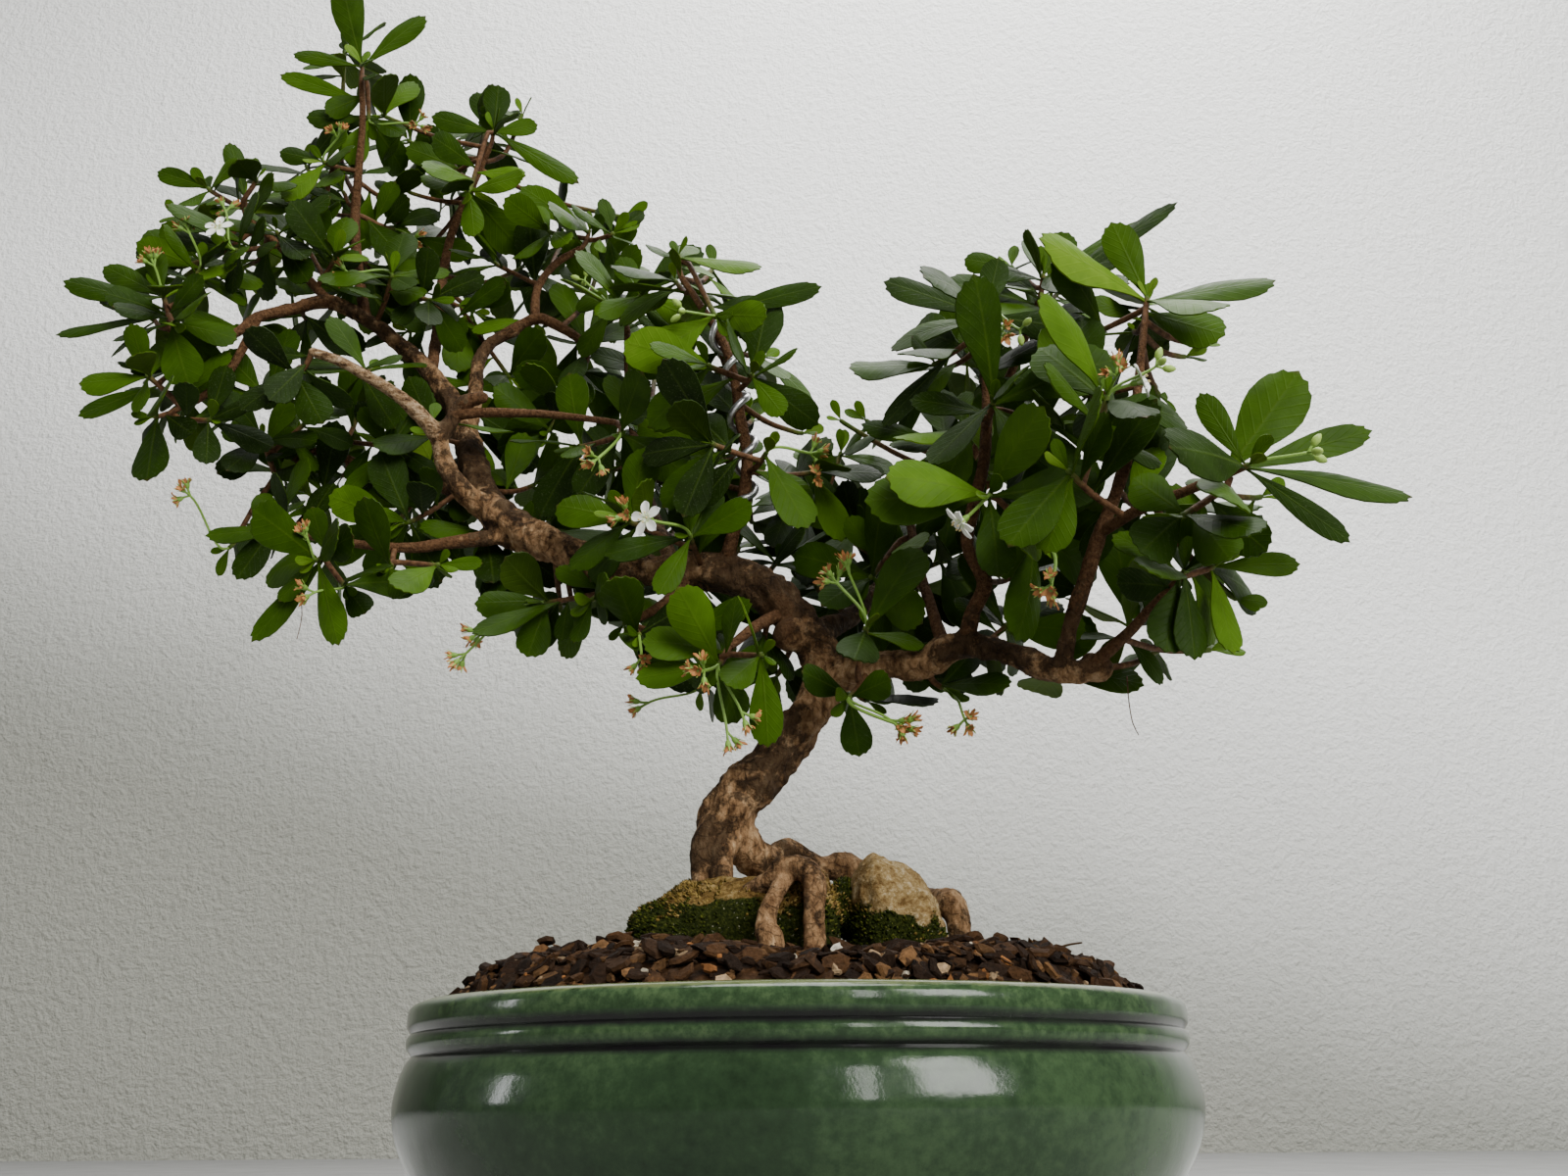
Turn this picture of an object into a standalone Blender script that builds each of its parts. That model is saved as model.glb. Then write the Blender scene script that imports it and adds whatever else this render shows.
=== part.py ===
"""A fukien tea bonsai, rooted over two stones in a glazed oval pot.

+X is to the right, +Y away from the viewer and +Z up. The origin is the centre of the pot's flat base.
Lengths are in millimetres, and become Blender's metres where a mesh is made. The places of limbs, leafy
tips and flowers are read off one front view of the tree: how far across and down it, in its pixels, and
how deep along +Y in millimetres. The function seen turns such a place into a point in space.
"""

import math
import random

import bmesh
import bpy
from mathutils import Vector, noise
from mathutils.bvhtree import BVHTree

MM = 0.001
UP = Vector((0, 0, 1))
RIGHT = Vector((1, 0, 0))
GAP = 0.45  # between pieces that touch
FLATNESS = 0.01  # how far out of flat a four-sided face may be

# The front view: a picture 1600 pixels wide and 1200 high, and the eye that sees it
VIEW_CENTRE = (800, 600)
VIEW_FOCAL = 1400
VIEW_PITCH = math.radians(20.5)
VIEW_ROLL = math.radians(-0.4)
VIEW_EYE = Vector((-2.7, -396, 55.5))

# The pot
POT_HALF_LENGTH = 105
POT_HALF_DEPTH = 89
POT_HEIGHT = 80
POT_SIDES = 30
# How far in from the rim's widest oval, and how high, from the base up to the lip
POT_OUTSIDE = (
    (31, 0), (29, 4), (15, 22), (2.4, 40), (-1.8, 51.6), (-1.2, 60), (0.6, 65.2), (1.8, 66.8),
    (0.4, 68.6), (0.3, 71.2), (1.2, 72.4), (0.2, 73.8), (0.4, 78.4), (2.6, 80),
)
# From the lip down the inside to the floor
POT_INSIDE = ((6.5, 80), (7.4, 77), (5.6, 52), (9.8, 40), (22, 22), (38, 7))
FLOOR_HEIGHT = 7
DRAIN_PLACES = (-45, 45)
DRAIN_RADIUS = 6
SCREEN_SIDE = 22
SCREEN_THICKNESS = 0.8
SCREEN_SLOT = (2.4, 15)
SCREEN_SLOT_PITCH = 4.6
SCREEN_SLOT_PLACES = (-1.5, -0.5, 0.5, 1.5)  # in pitches from the screen's middle

# The soil: share of the way out from the middle, and height over the rim
SOIL_MOUND = ((0, 14.5), (0.3, 14.2), (0.52, 13.4), (0.72, 12), (0.88, 7.5), (1, -2.5))
SOIL_ROUGHNESS = 1.0
SOIL_DIP = (Vector((8, -52, 0)), 42, 7)  # the hollow in front of the stones: middle, radius, depth

# The stones: middle, half sizes, rise to the right, roundness (0 a box, 1 a ball), seed of the roughness
STONES = {
    "stone_left": (Vector((-17, 0, 88)), Vector((32.2, 27, 29)), 0.19, 0.48, 3),
    "stone_right": (Vector((28.4, 0, 92)), Vector((14.9, 20, 29.4)), -0.34, 0.75, 8),
}
STONE_SEGMENTS = 14
STONE_RINGS = 9

# Wood, as (across, down, deep, radius). The roots and the trunk come first
WOOD = {
    "trunk": (
        (738, 860, 1, 7.2), (741, 836, 1, 7.8), (754, 812, 1, 8.2), (774, 793, 2, 7.3),
        (794, 770, 2, 6.6), (815, 743, 3, 6.4), (834, 716, 4, 6.2), (843, 690, 4, 6.0),
        (832, 660, 3, 6.0), (810, 630, 3, 6.4), (780, 602, 4, 6.1), (742, 586, 6, 6.0),
        (692, 582, 9, 5.6), (632, 579, 13, 5.4), (578, 563, 18, 6.0), (534, 545, 24, 6.6),
        (503, 520, 29, 6.4), (486, 488, 34, 5.0),
    ),
    "leg_left": (
        (744, 832, 0, 5.4), (728, 850, -2, 5.0), (718, 870, -4, 4.0), (717, 890, -5, 3.4),
        (718, 905, -6, 3.2), (724, 922, -8, 2.6),
    ),
    "leg_middle": (
        (744, 846, 0, 4.8), (738, 868, -5, 4.0), (736, 890, -9, 3.4), (740, 910, -12, 3.1),
        (760, 912, -18, 2.9), (785, 899, -23, 2.8), (808, 886, -25, 3.4), (826, 890, -28, 3.2),
        (832, 908, -30, 2.9), (831, 930, -31, 2.7), (831, 950, -32, 2.8), (832, 966, -33, 3.0),
        (830, 992, -33, 2.2),
    ),
    "root_front": (
        (808, 886, -24, 2.8), (795, 906, -28, 2.5), (785, 926, -31, 2.5), (781, 942, -32, 2.9),
        (786, 957, -34, 3.7), (790, 976, -35, 3.1), (791, 998, -35, 2.2),
    ),
    "root_back": (
        (744, 842, 2, 6.8), (758, 863, 4, 6.6), (774, 878, 7, 5.8), (788, 879, 11, 4.6),
        (803, 871, 15, 4.3), (818, 877, 17, 4.0), (833, 885, 19, 3.7), (848, 886, 21, 4.1),
        (863, 885, 23, 4.8), (882, 896, 27, 4.0), (912, 906, 29, 3.2), (942, 918, 25, 3.4),
        (958, 920, 19, 3.8), (970, 923, 13, 4.0), (977, 938, 10, 3.6), (980, 958, 9, 2.9),
        (982, 996, 9, 2.0),
    ),
    "limb_left": (
        (488, 494, 33, 5.0), (478, 455, 40, 4.6), (463, 415, 45, 4.0), (440, 382, 48, 3.5),
        (408, 352, 48, 3.2), (374, 326, 46, 2.9), (335, 308, 42, 2.5), (297, 316, 36, 2.2),
        (262, 324, 30, 1.9), (232, 343, 24, 1.6), (172, 336, 18, 1.1),
    ),
    "limb_curled": (
        (476, 452, 40, 3.0), (484, 410, 48, 2.8), (488, 372, 53, 2.5), (500, 351, 54, 2.4),
        (524, 337, 54, 2.3), (548, 325, 53, 2.1), (572, 334, 50, 1.9), (600, 352, 52, 1.4),
    ),
    "limb_curled_up": (
        (546, 328, 53, 1.8), (548, 296, 55, 1.6), (566, 270, 56, 1.4), (592, 254, 55, 1.2),
    ),
    "apex": (
        (374, 328, 46, 2.4), (366, 282, 50, 2.1), (362, 230, 51, 1.9), (366, 175, 48, 1.6),
        (370, 125, 44, 1.3), (369, 84, 41, 1.1),
    ),
    "apex_right": (
        (440, 382, 48, 2.3), (447, 330, 56, 2.0), (452, 280, 60, 1.8), (462, 235, 59, 1.6),
        (480, 195, 55, 1.4), (499, 152, 52, 1.1),
    ),
    "left_high": (
        (337, 309, 42, 1.8), (310, 280, 45, 1.6), (284, 250, 44, 1.4), (252, 222, 40, 1.1),
    ),
    "left_low": (
        (264, 323, 30, 1.7), (236, 376, 28, 1.5), (208, 404, 23, 1.2), (184, 416, 20, 1.0),
    ),
    "dead_stub": (
        (500, 522, 27, 4.4), (474, 503, 21, 3.7), (455, 475, 18, 3.1), (447, 447, 16, 2.9),
        (430, 425, 13, 2.5), (405, 403, 10, 2.1), (375, 384, 7, 1.9), (345, 368, 5, 1.7),
        (318, 359, 3, 1.5),
    ),
    "stub_fork": (
        (448, 450, 16, 2.6), (462, 427, 16, 2.6), (475, 411, 15, 2.4), (494, 405, 13, 1.9),
    ),
    "stub_twig": (
        (464, 424, 16, 1.9), (496, 421, 14, 1.6), (560, 423, 11, 1.3), (628, 431, 6, 1.0),
    ),
    "left_inner": (
        (503, 520, 30, 2.6), (450, 496, 44, 2.1), (385, 482, 50, 1.8), (326, 460, 46, 1.5),
        (282, 486, 40, 1.2),
    ),
    "left_under": (
        (522, 546, 25, 2.9), (466, 553, 19, 2.2), (420, 559, 15, 1.8), (372, 556, 14, 1.4),
        (318, 548, 22, 1.1),
    ),
    "middle_up": (
        (738, 588, 6, 2.5), (748, 545, 2, 2.1), (760, 500, -4, 2.0), (762, 462, -8, 1.9),
        (755, 425, -10, 1.8), (750, 388, -10, 1.6), (738, 350, -10, 1.4), (715, 312, -9, 1.2),
        (696, 284, -8, 1.0),
    ),
    "middle_back": (
        (690, 582, 10, 2.6), (668, 530, 30, 2.2), (652, 470, 44, 1.9), (642, 400, 50, 1.5),
        (640, 335, 46, 1.1),
    ),
    "middle_low": (
        (704, 586, 8, 2.2), (680, 614, -1, 1.7), (650, 632, -4, 1.2),
    ),
    "middle_front": (
        (800, 625, 3, 2.2), (770, 640, -10, 1.7), (745, 660, -15, 1.2),
    ),
    "limb_right": (
        (836, 698, 4, 5.0), (868, 686, -2, 4.5), (906, 678, -8, 4.1), (944, 679, -13, 3.9),
        (968, 661, -16, 4.0), (1006, 660, -20, 3.7), (1040, 670, -24, 3.4), (1080, 686, -28, 3.5),
        (1122, 682, -31, 3.3),
    ),
    "right_back": (
        (829, 658, 3, 4.0), (846, 640, 14, 3.7), (868, 630, 24, 3.1), (895, 600, 34, 2.5),
        (930, 560, 42, 2.1), (972, 520, 44, 1.7), (1012, 492, 40, 1.3),
    ),
    "right_high": (
        (960, 532, 44, 1.8), (1000, 450, 30, 1.6), (1036, 370, 10, 1.4), (1060, 308, -4, 1.1),
    ),
    "right_up": (
        (984, 662, -18, 2.8), (993, 624, -22, 2.4), (1005, 594, -26, 2.3), (987, 556, -29, 2.0),
        (994, 515, -31, 1.9), (1004, 470, -32, 1.8), (1007, 420, -32, 1.6), (1006, 372, -32, 1.3),
        (1006, 346, -31, 1.1),
    ),
    "right_far": (
        (1083, 684, -28, 2.6), (1092, 640, -34, 2.3), (1108, 590, -40, 2.2), (1122, 545, -46, 2.0),
        (1140, 500, -50, 1.8), (1153, 450, -52, 1.6), (1161, 395, -52, 1.3), (1168, 328, -49, 1.0),
    ),
    "right_tip": (
        (1124, 543, -46, 1.7), (1162, 520, -58, 1.5), (1205, 503, -68, 1.3), (1242, 488, -77, 1.2),
    ),
    "right_low": (
        (1108, 683, -30, 2.1), (1145, 652, -40, 1.6), (1175, 620, -49, 1.3), (1194, 600, -54, 1.1),
    ),
    "right_inner": (
        (966, 666, -16, 2.2), (950, 620, -8, 1.8), (936, 570, 0, 1.5), (926, 510, 7, 1.2),
        (932, 470, 9, 1.0),
    ),
}
ROOTS = ("leg_left", "leg_middle", "root_front", "root_back")
SMOOTH_LIMBS = ("middle_up",)  # its round surface carries the wire
THICK_WOOD = 4.0  # a limb that starts this thick gets more sides
LIMB_STEP = 9.5
TWIG_STEP = 21

# Leafy sprays: in each, two or three rosettes as (across, down, deep, leaf length)
SPRAYS = (
    ((369, 72, 41, 30), (376, 122, 48, 27)),
    ((503, 136, 52, 28), (478, 196, 46, 28), (455, 180, 62, 24)),
    ((596, 246, 55, 31), (560, 236, 48, 30), (626, 238, 52, 18)),
    ((545, 292, 62, 27), (505, 268, 68, 26)),
    ((330, 165, 42, 24), (330, 205, 56, 24)),
    ((250, 205, 40, 25), (262, 182, 36, 24), (212, 192, 34, 20)),
    ((282, 236, 32, 26), (240, 255, 26, 24)),
    ((166, 300, 14, 27), (176, 330, 12, 25), (205, 272, 26, 25)),
    ((150, 382, 12, 25), (185, 372, 34, 23)),
    ((172, 420, 19, 27), (215, 428, 16, 22)),
    ((400, 205, 62, 25), (425, 245, 72, 25)),
    ((342, 262, 34, 24), (312, 250, 60, 24)),
    ((400, 280, 32, 24), (440, 306, 34, 24)),
    ((300, 384, 6, 24), (262, 404, 42, 24)),
    ((268, 448, 30, 24), (312, 430, 32, 23)),
    ((284, 526, 26, 26), (330, 500, 52, 24)),
    ((322, 572, 8, 27), (352, 598, 14, 26)),
    ((398, 580, 8, 26), (448, 576, 10, 23)),
    ((366, 420, 58, 24), (400, 455, 34, 24)),
    ((484, 318, 74, 25), (520, 385, 66, 25)),
    ((588, 388, 58, 26), (560, 440, 44, 26)),
    ((622, 312, 40, 27), (655, 300, 26, 27), (600, 300, 74, 25)),
    ((632, 440, 2, 27), (590, 455, 16, 26)),
    ((694, 272, -8, 17), (730, 322, -18, 30)),
    ((768, 382, -18, 30), (722, 372, -26, 33)),
    ((690, 430, 32, 28), (668, 380, 60, 26)),
    ((782, 462, -16, 28), (726, 452, -24, 28)),
    ((704, 546, -14, 31), (640, 530, -8, 28)),
    ((604, 612, 2, 27), (556, 614, 12, 25)),
    ((652, 648, -10, 26), (694, 650, 2, 26)),
    ((733, 678, -20, 27), (778, 668, -22, 28)),
    ((866, 712, -14, 28), (884, 640, -20, 29)),
    ((806, 505, 34, 28), (858, 462, 40, 28), (872, 540, 24, 27)),
    ((1006, 330, -31, 37), (952, 372, -24, 36)),
    ((1063, 290, -6, 33), (1032, 272, 8, 28)),
    ((1170, 308, -48, 35), (1122, 336, -38, 32)),
    ((1014, 410, -46, 34), (962, 452, -24, 32), (1072, 432, -40, 33)),
    ((1256, 482, -80, 39), (1206, 526, -82, 36)),
    ((1204, 588, -60, 32), (1238, 578, -58, 30)),
    ((1010, 505, -50, 35), (1058, 548, -40, 32)),
    ((1090, 480, -66, 34), (1130, 405, -66, 32)),
    ((924, 560, 10, 29), (888, 590, 2, 30)),
)

# The crown's outline in the front view, as (across, down). No leaf that is placed by chance passes it
CROWN_OUTLINE = (
    (318, -20), (345, 50), (290, 50), (286, 80), (318, 105), (308, 130), (306, 160), (268, 162),
    (236, 143), (222, 172), (160, 172), (195, 207), (138, 243), (135, 262), (66, 280), (92, 310),
    (68, 336), (120, 322), (110, 360), (80, 390), (82, 420), (150, 405), (124, 440), (148, 487),
    (175, 457), (212, 471), (224, 430), (225, 482), (252, 482), (262, 515), (230, 546), (241, 590),
    (272, 587), (260, 636), (300, 607), (332, 607), (338, 656), (375, 625), (402, 640), (410, 606),
    (440, 606), (490, 574), (486, 612), (535, 668), (586, 654), (592, 622), (638, 656), (650, 693),
    (690, 706), (700, 731), (735, 743), (765, 692), (785, 750), (850, 725), (876, 770), (888, 716),
    (936, 724), (1000, 716), (1022, 742), (1035, 706), (1085, 713), (1130, 713), (1175, 706),
    (1210, 698), (1192, 652), (1225, 670), (1264, 664), (1280, 630), (1312, 615), (1300, 565),
    (1302, 505), (1280, 470), (1250, 430), (1205, 425), (1190, 395), (1185, 382), (1245, 345),
    (1190, 320), (1200, 290), (1165, 225), (1110, 240), (1060, 235), (1035, 262), (970, 255),
    (905, 283), (950, 315), (868, 368), (895, 402), (945, 378), (905, 428), (850, 428), (868, 466),
    (830, 430), (805, 446), (785, 470), (778, 430), (842, 424), (832, 390), (785, 366), (806, 352),
    (800, 310), (836, 288), (825, 277), (752, 302), (736, 270), (706, 240), (690, 245), (640, 262),
    (656, 235), (652, 212), (615, 200), (590, 228), (586, 182), (530, 141), (547, 124), (512, 84),
    (474, 90), (474, 132), (435, 116), (386, 112), (446, 98), (412, 56), (380, 75), (436, 18), (425, 3),
    (378, 30), (378, -20),
)

# Limbs that the front view shows bare: name, and between which shares of its length no leaf hides it
BARE_WOOD = (
    ("trunk", 0.0, 0.62), ("trunk", 0.78, 1.0), ("limb_right", 0.25, 1.0), ("right_back", 0.0, 0.25),
    ("limb_left", 0.0, 0.85), ("limb_curled", 0.0, 0.95), ("dead_stub", 0.0, 1.0), ("stub_fork", 0.0, 1.0),
    ("stub_twig", 0.0, 0.9), ("right_up", 0.0, 0.45), ("right_up", 0.62, 0.8), ("middle_up", 0.15, 0.95),
    ("left_under", 0.1, 0.55), ("apex", 0.8, 1.0), ("apex_right", 0.6, 0.95), ("right_far", 0.3, 0.5),
)
BARE_STEP = 3

# Leaves that the front view shows, by the place of their rosette. For each its tip (across, down, how much
# nearer than the rosette) and its width
LEAF_TIPS = {
    (369, 72): ((343, -22, 2, 14), (432, 14, 3, 11.5), (299, 52, 0, 7), (379, 80, 6, 5)),
    (376, 122): ((287, 73, 4, 8), (428, 60, 2, 14), (313, 120, 5, 9), (411, 136, 4, 9)),
    (503, 136): (
        (509, 86, 4, 11), (547, 125, -2, 8), (588, 183, 3, 9), (478, 205, 4, 13), (440, 119, 4, 9),
    ),
    (478, 196): ((485, 238, 6, 9), (430, 178, 4, 9)),
    (596, 246): ((532, 188, 3, 12), (574, 180, -4, 6.5)),
    (560, 236): ((524, 262, 4, 11), (545, 210, 2, 9)),
    (626, 238): ((616, 201, 0, 6), (656, 215, 2, 8), (595, 228, 4, 7)),
    (505, 268): ((490, 208, 5, 14),),
    (330, 165): ((308, 143, 3, 10), (285, 154, 3, 8), (350, 130, 4, 9)),
    (250, 205): ((237, 144, 3, 8), (222, 174, 4, 8)),
    (212, 192): ((160, 174, 2, 8), (205, 172, 2, 6.5), (185, 208, 6, 8)),
    (282, 236): ((250, 212, 10, 12), (310, 262, 6, 9)),
    (240, 255): ((188, 226, 4, 9), (168, 238, 0, 9)),
    (166, 300): ((68, 281, 3, 9.5), (62, 338, 2, 8), (98, 264, 0, 9), (108, 305, 6, 9)),
    (205, 272): ((138, 246, 3, 10),),
    (176, 330): ((115, 345, 4, 9), (140, 372, 5, 9)),
    (150, 382): ((80, 390, 2, 11), (81, 420, 4, 8), (138, 419, 5, 7)),
    (172, 420): ((148, 488, 4, 14.5), (190, 440, 5, 9)),
    (215, 428): ((210, 471, 5, 9), (230, 372, 3, 9)),
    (268, 448): ((224, 482, 3, 10), (226, 436, 4, 9)),
    (284, 526): ((230, 546, 3, 7.5), (243, 590, 2, 10), (262, 505, 3, 9)),
    (322, 572): ((262, 636, 4, 8), (284, 612, 0, 8), (342, 656, 3, 9.5)),
    (352, 598): ((404, 640, 2, 5.5), (372, 624, 5, 9)),
    (398, 580): ((414, 604, 3, 11), (440, 606, 5, 12)),
    (448, 576): ((491, 574, 3, 5.5),),
    (400, 455): ((351, 500, 6, 8), (445, 481, 6, 7.5), (368, 420, 5, 8)),
    (704, 546): ((766, 514, 6, 11), (617, 561, 6, 9), (664, 600, 5, 8)),
    (733, 678): ((735, 743, 3, 12), (699, 730, 4, 8.5), (650, 693, 2, 8)),
    (778, 668): ((782, 750, 2, 10), (745, 690, 5, 10)),
    (652, 648): ((638, 656, 3, 8), (700, 616, 6, 9)),
    (604, 612): ((586, 654, 4, 6), (560, 645, 4, 10)),
    (556, 614): ((536, 668, 3, 11), (485, 612, 3, 10.5), (505, 645, 4, 9)),
    (866, 712): ((876, 770, 2, 9.5), (826, 700, 8, 10), (900, 700, 6, 9)),
    (806, 505): ((828, 592, 20, 8.5), (792, 555, 18, 9)),
    (768, 382): ((842, 424, 3, 11.5), (806, 355, 4, 5.5), (800, 420, 6, 8)),
    (730, 322): ((836, 287, 2, 7.5), (798, 310, 2, 8.5), (776, 300, -3, 8)),
    (694, 272): ((713, 240, 0, 6.5), (657, 262, 2, 7), (752, 311, 4, 9)),
    (722, 372): ((668, 396, 8, 13.5), (664, 350, 5, 7.5)),
    (655, 300): ((607, 319, 3, 10), (632, 262, 2, 9)),
    (690, 430): ((716, 482, 26, 10), (640, 400, 10, 9)),
    (1006, 330): ((905, 283, 4, 10.5), (950, 260, -3, 11), (1018, 262, 2, 9), (1118, 338, 6, 13)),
    (952, 372): ((868, 372, 3, 14.5), (932, 342, 6, 8.5), (905, 428, 2, 6)),
    (1063, 290): ((1070, 213, -2, 7), (1090, 236, 3, 10.5), (1178, 201, -4, 6.5), (1038, 248, 3, 8)),
    (1032, 272): ((985, 262, 0, 9),),
    (1170, 308): ((1134, 226, 3, 11), (1240, 235, 0, 6.5), (1302, 282, 2, 12.5), (1246, 340, 8, 14)),
    (1122, 336): ((1086, 268, 4, 7), (1100, 365, 6, 10)),
    (1014, 410): ((1112, 478, 6, 11), (950, 470, 6, 9.5), (1050, 470, 8, 9)),
    (962, 452): ((896, 462, 3, 7.5), (880, 430, -2, 8)),
    (1256, 482): (
        (1328, 381, 4, 16), (1404, 430, 2, 8), (1442, 500, 3, 11.5), (1377, 549, 5, 6.5), (1222, 401, 0, 7),
    ),
    (1206, 526): ((1165, 560, 6, 13), (1258, 566, 8, 12), (1170, 480, 6, 12)),
    (1238, 578): ((1313, 612, 3, 12), (1265, 664, 4, 10.5), (1327, 573, 0, 7)),
    (1204, 588): ((1223, 671, 3, 10), (1180, 640, 8, 12)),
    (1010, 505): ((1022, 584, 6, 11),),
    (924, 560): ((960, 520, 4, 8), (955, 580, 6, 10)),
}

# Stems, rosettes and leaves
STEM_RADIUS = 1.0
ROSETTE_RADIUS = 0.85
ROSETTE_HEIGHT = 1.7
LEAF_THICKNESS = 0.7
TOOTHED_FROM = 30  # leaves this long show the teeth at their tip
STEM_TRIES = 12
SHORTEST_STEM = 9
STEM_CLEAR = 0.4  # round a stem, when it is tested against what stands in its way
TIP_CLOSE = 0.5  # a stem goes on from a limb's end if the limb points this squarely at its tip
FORK_KNEE = 2.6
# A side stem's start is better the shorter its reach and the taller its face, up to this height
FORK_REACH_COST = 1 / 120
FORK_HEIGHT_COST = 0.04
FORK_HEIGHT = 4
# A stem's foot is moved to the bark that it looks back at from FOOT_LOOK, if that is within FOOT_REACH
FOOT_LOOK = 6
FOOT_REACH = 12
FOOT_GAP = 0.28
FOOT_STEP = 0.1
FOOT_STEPS = 8
LEAF_TRIES = 24
# How squarely the four sides and the top must look towards the tip of a leaf that the front view shows
LEAST_FACING = (0.35, 0.35, 0.35, 0.35, 0.7)
# In which order the four sides of a rosette and its top get their leaves, by turns
LEAF_ORDERS = ((0, 2, 1, 3, 4), (1, 3, 0, 4, 2), (2, 4, 0, 3, 1), (3, 1, 4, 2, 0))
FULL_ROSETTE_FROM = 25  # rosettes with leaves this long have five of them, the rest four
GROWTH_SEED = 28
LEAF_SWAY = 0.35
MAX_LEAF_WIDTH = 16
LIGHT_WAY = Vector((0, -0.85, 0.2))  # where the leaves turn their upper sides

# Open flowers and withered clusters, as (across, down, deep)
FLOWERS = ((660, 527, -34), (1163, 385, -70), (980, 532, -52), (222, 232, 14))
WITHERED = (
    (607, 470, -12), (832, 462, -4), (850, 588, -26), (925, 742, -24), (1074, 600, -60), (715, 684, -32),
)
FLOWER_RADIUS = 5.4
STALK_RADIUS = 0.55

WIRE_RADIUS = 1.05
WIRE_TURNS = 4.5
WIRE_TURN_STEPS = 7
WIRE_SPAN = (0.2, 0.8)  # share of the wired limb's length

COLOURS = {
    "glaze": ((0.03, 0.13, 0.06, 1), 0.12),
    "soil": ((0.09, 0.05, 0.03, 1), 0.95),
    "stone": ((0.30, 0.24, 0.14, 1), 0.95),
    "bark": ((0.27, 0.17, 0.10, 1), 0.9),
    "leaf": ((0.05, 0.17, 0.02, 1), 0.4),
    "petal": ((0.85, 0.85, 0.78, 1), 0.5),
    "withered": ((0.42, 0.20, 0.08, 1), 0.85),
    "wire": ((0.55, 0.55, 0.56, 1), 0.35),
    "screen": ((0.02, 0.02, 0.02, 1), 0.6),
}
METALS = ("wire",)


def seen(across, down, deep):
    """The point at depth deep that the front view shows this far across and down."""
    u, v = across - VIEW_CENTRE[0], down - VIEW_CENTRE[1]
    right = u * math.cos(VIEW_ROLL) + v * math.sin(VIEW_ROLL)
    rise = u * math.sin(VIEW_ROLL) - v * math.cos(VIEW_ROLL)
    away = VIEW_FOCAL * math.cos(VIEW_PITCH) - rise * math.sin(VIEW_PITCH)
    lift = VIEW_FOCAL * math.sin(VIEW_PITCH) + rise * math.cos(VIEW_PITCH)
    return VIEW_EYE + Vector((right, away, lift)) * ((deep - VIEW_EYE.y) / away)


def front_view(point):
    """How far across and down the front view shows a point. The reverse of seen."""
    to_point = point - VIEW_EYE
    away = to_point.y * math.cos(VIEW_PITCH) + to_point.z * math.sin(VIEW_PITCH)
    rise = (to_point.z * math.cos(VIEW_PITCH) - to_point.y * math.sin(VIEW_PITCH)) * VIEW_FOCAL / away
    right = to_point.x * VIEW_FOCAL / away
    u = right * math.cos(VIEW_ROLL) + rise * math.sin(VIEW_ROLL)
    v = right * math.sin(VIEW_ROLL) - rise * math.cos(VIEW_ROLL)
    return VIEW_CENTRE[0] + u, VIEW_CENTRE[1] + v


def inside(outline, across, down):
    """Whether a closed outline in the front view goes round this place."""
    found = False
    for (u0, v0), (u1, v1) in zip(outline, outline[1:] + outline[:1]):
        if (v0 > down) != (v1 > down) and across < u0 + (down - v0) * (u1 - u0) / (v1 - v0):
            found = not found
    return found


def clear_scene():
    for obj in list(bpy.data.objects):
        bpy.data.objects.remove(obj)


def material(name):
    found = bpy.data.materials.get(name)
    if found:
        return found
    colour, roughness = COLOURS[name]
    made = bpy.data.materials.new(name)
    made.use_nodes = True
    shader = made.node_tree.nodes["Principled BSDF"]
    shader.inputs["Base Color"].default_value = colour
    shader.inputs["Roughness"].default_value = roughness
    shader.inputs["Metallic"].default_value = 1.0 if name in METALS else 0.0
    return made


def split_bent(points, faces):
    """The faces, with each four-sided one that isn't flat cut in two."""
    made = []
    for face in faces:
        if len(face) == 4:
            a, b, c, d = (points[i] for i in face)
            normal = (b - a).cross(c - a)
            if abs(normal.dot(d - a)) > FLATNESS * normal.length:
                made += [face[:3], (face[0], face[2], face[3])]
                continue
        made.append(face)
    return made


def add_object(name, points, faces, material_name, smooth=True):
    """A mesh object from points in millimetres."""
    mesh = bpy.data.meshes.new(name)
    mesh.from_pydata([p * MM for p in points], [], split_bent(points, faces))
    mesh.materials.append(material(material_name))
    obj = bpy.data.objects.new(name, mesh)
    bpy.context.scene.collection.objects.link(obj)
    if smooth:
        mesh.shade_smooth()
        mesh.set_sharp_from_angle(angle=math.radians(40))
    return obj


def boolean(obj, others, operation, solver="EXACT"):
    """Joins others to obj, or cuts them from it, and removes them."""
    group = bpy.data.collections.new("operands")
    for other in others:
        group.objects.link(other)
    modifier = obj.modifiers.new("boolean", "BOOLEAN")
    modifier.operand_type = "COLLECTION"
    modifier.collection = group
    modifier.operation = operation
    modifier.solver = solver
    graph = bpy.context.evaluated_depsgraph_get()
    made = bpy.data.meshes.new_from_object(obj.evaluated_get(graph))
    obj.modifiers.clear()
    obj.data = made
    for other in list(group.objects):
        bpy.data.objects.remove(other)
    bpy.data.collections.remove(group)


def largest_body(obj):
    """Drops loose scraps that a Boolean may leave."""
    mesh = bmesh.new()
    mesh.from_mesh(obj.data)
    bmesh.ops.remove_doubles(mesh, verts=mesh.verts, dist=0.005 * MM)
    left, bodies = set(mesh.verts), []
    while left:
        body, edge = set(), [left.pop()]
        while edge:
            vert = edge.pop()
            body.add(vert)
            for link in vert.link_edges:
                other = link.other_vert(vert)
                if other in left:
                    left.remove(other)
                    edge.append(other)
        bodies.append(body)
    bodies.sort(key=len)
    for body in bodies[:-1]:
        bmesh.ops.delete(mesh, geom=list(body), context="VERTS")
    mesh.to_mesh(obj.data)
    mesh.free()


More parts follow.
